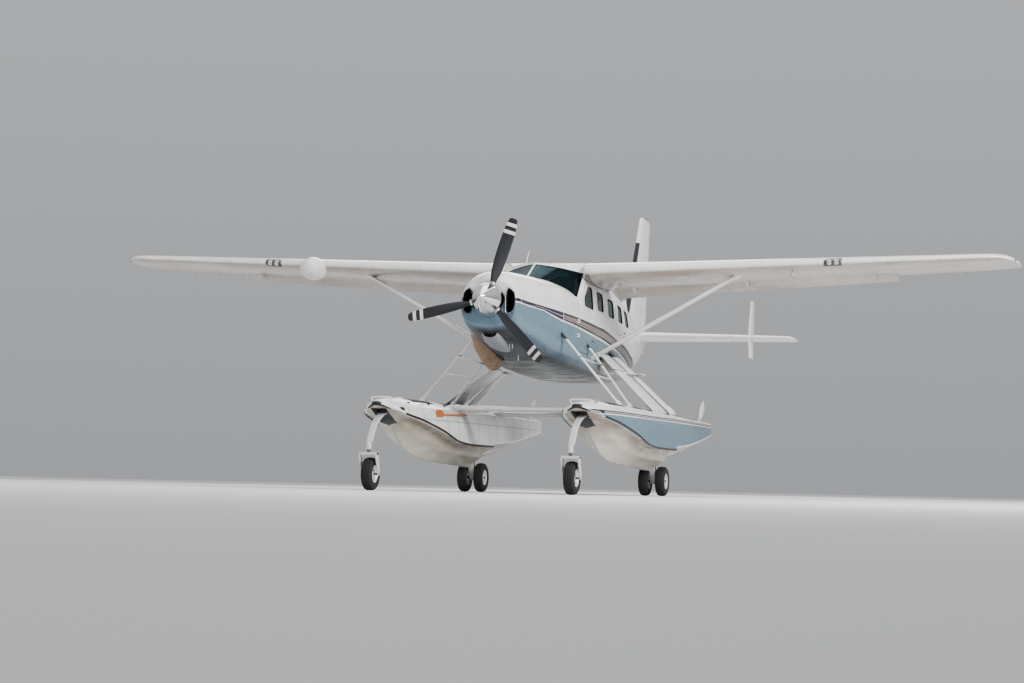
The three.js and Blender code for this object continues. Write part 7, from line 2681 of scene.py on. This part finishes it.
def make_gear():
    for side, sign in SIDES:
        x, flip = FLOAT_X, mirror(LEVEL, sign)
        # nose leg: a leaf that curves forward and down to a caster head
        leg = finish_of(
            "gear_white", speckled, (0.68, 0.68, 0.67), (0.58, 0.58, 0.57), 30.0, (0.3, 0.5), 0.0004, 0.0,
            Coat_Weight=0.3,
        )
        leaf = smooth_path([(x, 0.520, -1.850), (x, 0.150, -1.890), (x, -0.180, -2.060), (x, -0.400, -2.340)], 12)
        rings = []
        for k, p in enumerate(leaf):
            way = (leaf[min(k + 1, len(leaf) - 1)] - leaf[max(k - 1, 0)]).normalized()
            rise = Vector((1, 0, 0)).cross(way).normalized()
            narrow = 0.055 - 0.006 * k / len(leaf)
            ring = []
            for a in np.linspace(0, 2 * math.pi, 33)[:-1]:
                across, up = (math.copysign(abs(t) ** 0.35, t) for t in (math.cos(a), math.sin(a)))
                ring.append(p + Vector((narrow * across, 0, 0)) + rise * 0.0215 * up)
            rings.append(ring)
        parts = [build("leaf", *grid(rings), flip, (leg,), 45)]
        head = [
            (0.0, -2.4545), (0.036, -2.4545), (0.0415, -2.449), (0.0415, -2.342), (0.036, -2.332), (0.014, -2.3305),
            (0.0, -2.3305),
        ]
        parts.append(turned("head", head, "z", 48, (x, CASTER_Y, 0), flip, (leg,)))
        block_outline = [(0.332, -1.878), (0.543, -1.878), (0.543, -1.797), (0.332, -1.797)]
        parts.append(leg_plate(block_outline, x - 0.099, x + 0.099, sign, dark_metal(), 0.01))
        for dx in (-0.07, 0.07):
            parts.append(tube_piece(
                "bolt", [(x + dx, 0.44, -1.90), (x + dx, 0.44, -1.87)], 0.011, flip, leg_metal(), 6,
            ))
        settle(merge("nose_leg_leaf_" + side, parts), "airframe", ("nose_leg_" + side,))
        arm = [
            (-0.478, -2.502), (-0.478, -2.585), (-0.354, -2.869), (-0.286, -2.869), (-0.281, -2.780),
            (-0.382, -2.502),
        ]
        fork = [leg_plate(arm, x + a, x + b, sign, leg, 0.022) for a, b in ((0.1265, 0.1475), (-0.1475, -0.1265))]
        bridge = [(-0.477, -2.5448), (-0.383, -2.5448), (-0.383, -2.501), (-0.477, -2.501)]
        fork.append(leg_plate(bridge, x - 0.1475, x + 0.1475, sign, leg, 0.01))
        hub = (NOSE_WHEEL["y"], NOSE_WHEEL["z"])
        fork.append(tube_piece(
            "stem", [(x, CASTER_Y, -2.545), (x, CASTER_Y, -2.4585)], 0.0285, flip, dark_metal(), 28,
        ))
        fork.append(tube_piece("axle", [(x - 0.155, *hub), (x + 0.155, *hub)], 0.0145, flip, dark_metal(), 24))
        for way in (-1, 1):
            fork.append(tube_piece(
                "nut", [(x + way * 0.1475, *hub), (x + way * 0.159, *hub)], 0.024, flip, leg_metal(), 6,
            ))
        settle(merge("nose_fork_arms_" + side, fork), "nose_caster_" + side, ("nose_fork_" + side,))
        at = (sign * FLOAT_X, *hub)
        parts = wheel(NOSE_WHEEL, at, (-0.5, 0.0, 0.5))
        settle(merge("nose_wheel_turned_" + side, parts), "nose_wheel_" + side, ("nose_wheel_" + side,))
        # main leg and its two wheels
        outline = [
            (4.992, -2.338), (5.198, -2.338), (5.250, -2.620), (5.342, -2.805), (5.346, -2.880), (5.308, -2.901),
            (5.245, -2.884), (5.202, -2.785), (5.082, -2.560),
        ]
        parts = [leg_plate(outline, x - 0.0495, x + 0.0495, sign, leg, 0.03, 0.010)]
        wheel_x = MAIN_WHEEL["x"]
        parts.append(tube_piece(
            "axle", [(x + dx, MAIN_WHEEL["y"], MAIN_WHEEL["z"]) for dx in (-wheel_x - 0.07, wheel_x + 0.07)], 0.0225,
            flip, dark_metal(), 32,
        ))
        for dx in (-0.056, 0.056):
            parts.append(tube_piece(
                "brake_line",
                smooth_path(
                    [(x + dx, 5.10, -2.36), (x + dx, 5.15, -2.55), (x + dx, 5.24, -2.72), (x + dx, 5.29, -2.80)], 6,
                ),
                0.006, flip, seal_rubber(), 10,
            ))
        settle(merge("main_leg_beam_" + side, parts), "airframe", ("main_leg_" + side,))
        parts = []
        for dx in (-wheel_x, wheel_x):
            at = (sign * FLOAT_X + dx, MAIN_WHEEL["y"], MAIN_WHEEL["z"])
            parts += wheel(MAIN_WHEEL, at, (-0.6, -0.2, 0.2, 0.6))
        settle(merge("main_wheels_turned_" + side, parts), "main_wheels_" + side, ("main_wheels_" + side,))


WATER_RUDDER = (
    (-0.020, 0.022), (0.022, 0.022), (0.060, -0.090), (0.215, -0.210), (0.235, -0.520), (0.060, -0.575),
    (-0.005, -0.430),
)


def make_water_rudders():
    for side, sign in SIDES:
        x = sign * FLOAT_X
        pivot = Vector((x, 8.925, -1.720))
        turn = Matrix.Rotation(math.radians(112), 4, "X")
        place = LEVEL @ Matrix.Translation(pivot) @ turn
        paint = fitting_white()
        blade = prism("x", rounded(WATER_RUDDER, 0.02, 5), -0.0068, 0.0068, place)
        bevelled(blade, 0.003, 2, True)
        coat(blade, paint, 45)
        parts = [blade]
        for z in (-0.20, -0.32, -0.44):
            rib = [(0.03 + 0.06 * (z < -0.3), z), (0.20, z)]
            parts.append(tube_piece(
                "rib", [(0, rib[0][0], z), (0, rib[1][0], z)], 0.0095, place, paint, 10, (1, 0.6),
            ))
        settle(
            merge("water_rudder_blade_" + side, parts), "water_rudder_" + side,
            ("water_rudder_" + side,),
        )


def carried_over():
    """Finishes for the CAD pieces that still show."""
    table = {
        "engine_block": finish_of("engine_grey", metal, (0.30, 0.30, 0.31), (0.35, 0.55), 40.0),
        "cabin_floor": finish_of(
            "floor_carpet", speckled, (0.085, 0.095, 0.11), (0.14, 0.15, 0.165), 500.0, (0.85, 0.98), 0.0015,
        ),
    }
    for piece in bpy.data.objects:
        if piece.type == "MESH" and piece.name in table:
            piece.data.materials.clear()
            piece.data.materials.append(table[piece.name])


for step in (
    finish_cabin,
    make_windows,
    make_hinges,
    make_handles,
    make_antennas,
    make_belly,
    make_cowl,
    make_exhaust,
    make_propeller,
    make_nose_fittings,
    make_tail,
    make_wings,
    make_pod,
    make_wing_struts,
    make_floats,
    make_struts,
    make_gear,
    make_water_rudders,
    make_cockpit,
    make_seats,
    carried_over,
):
    step()
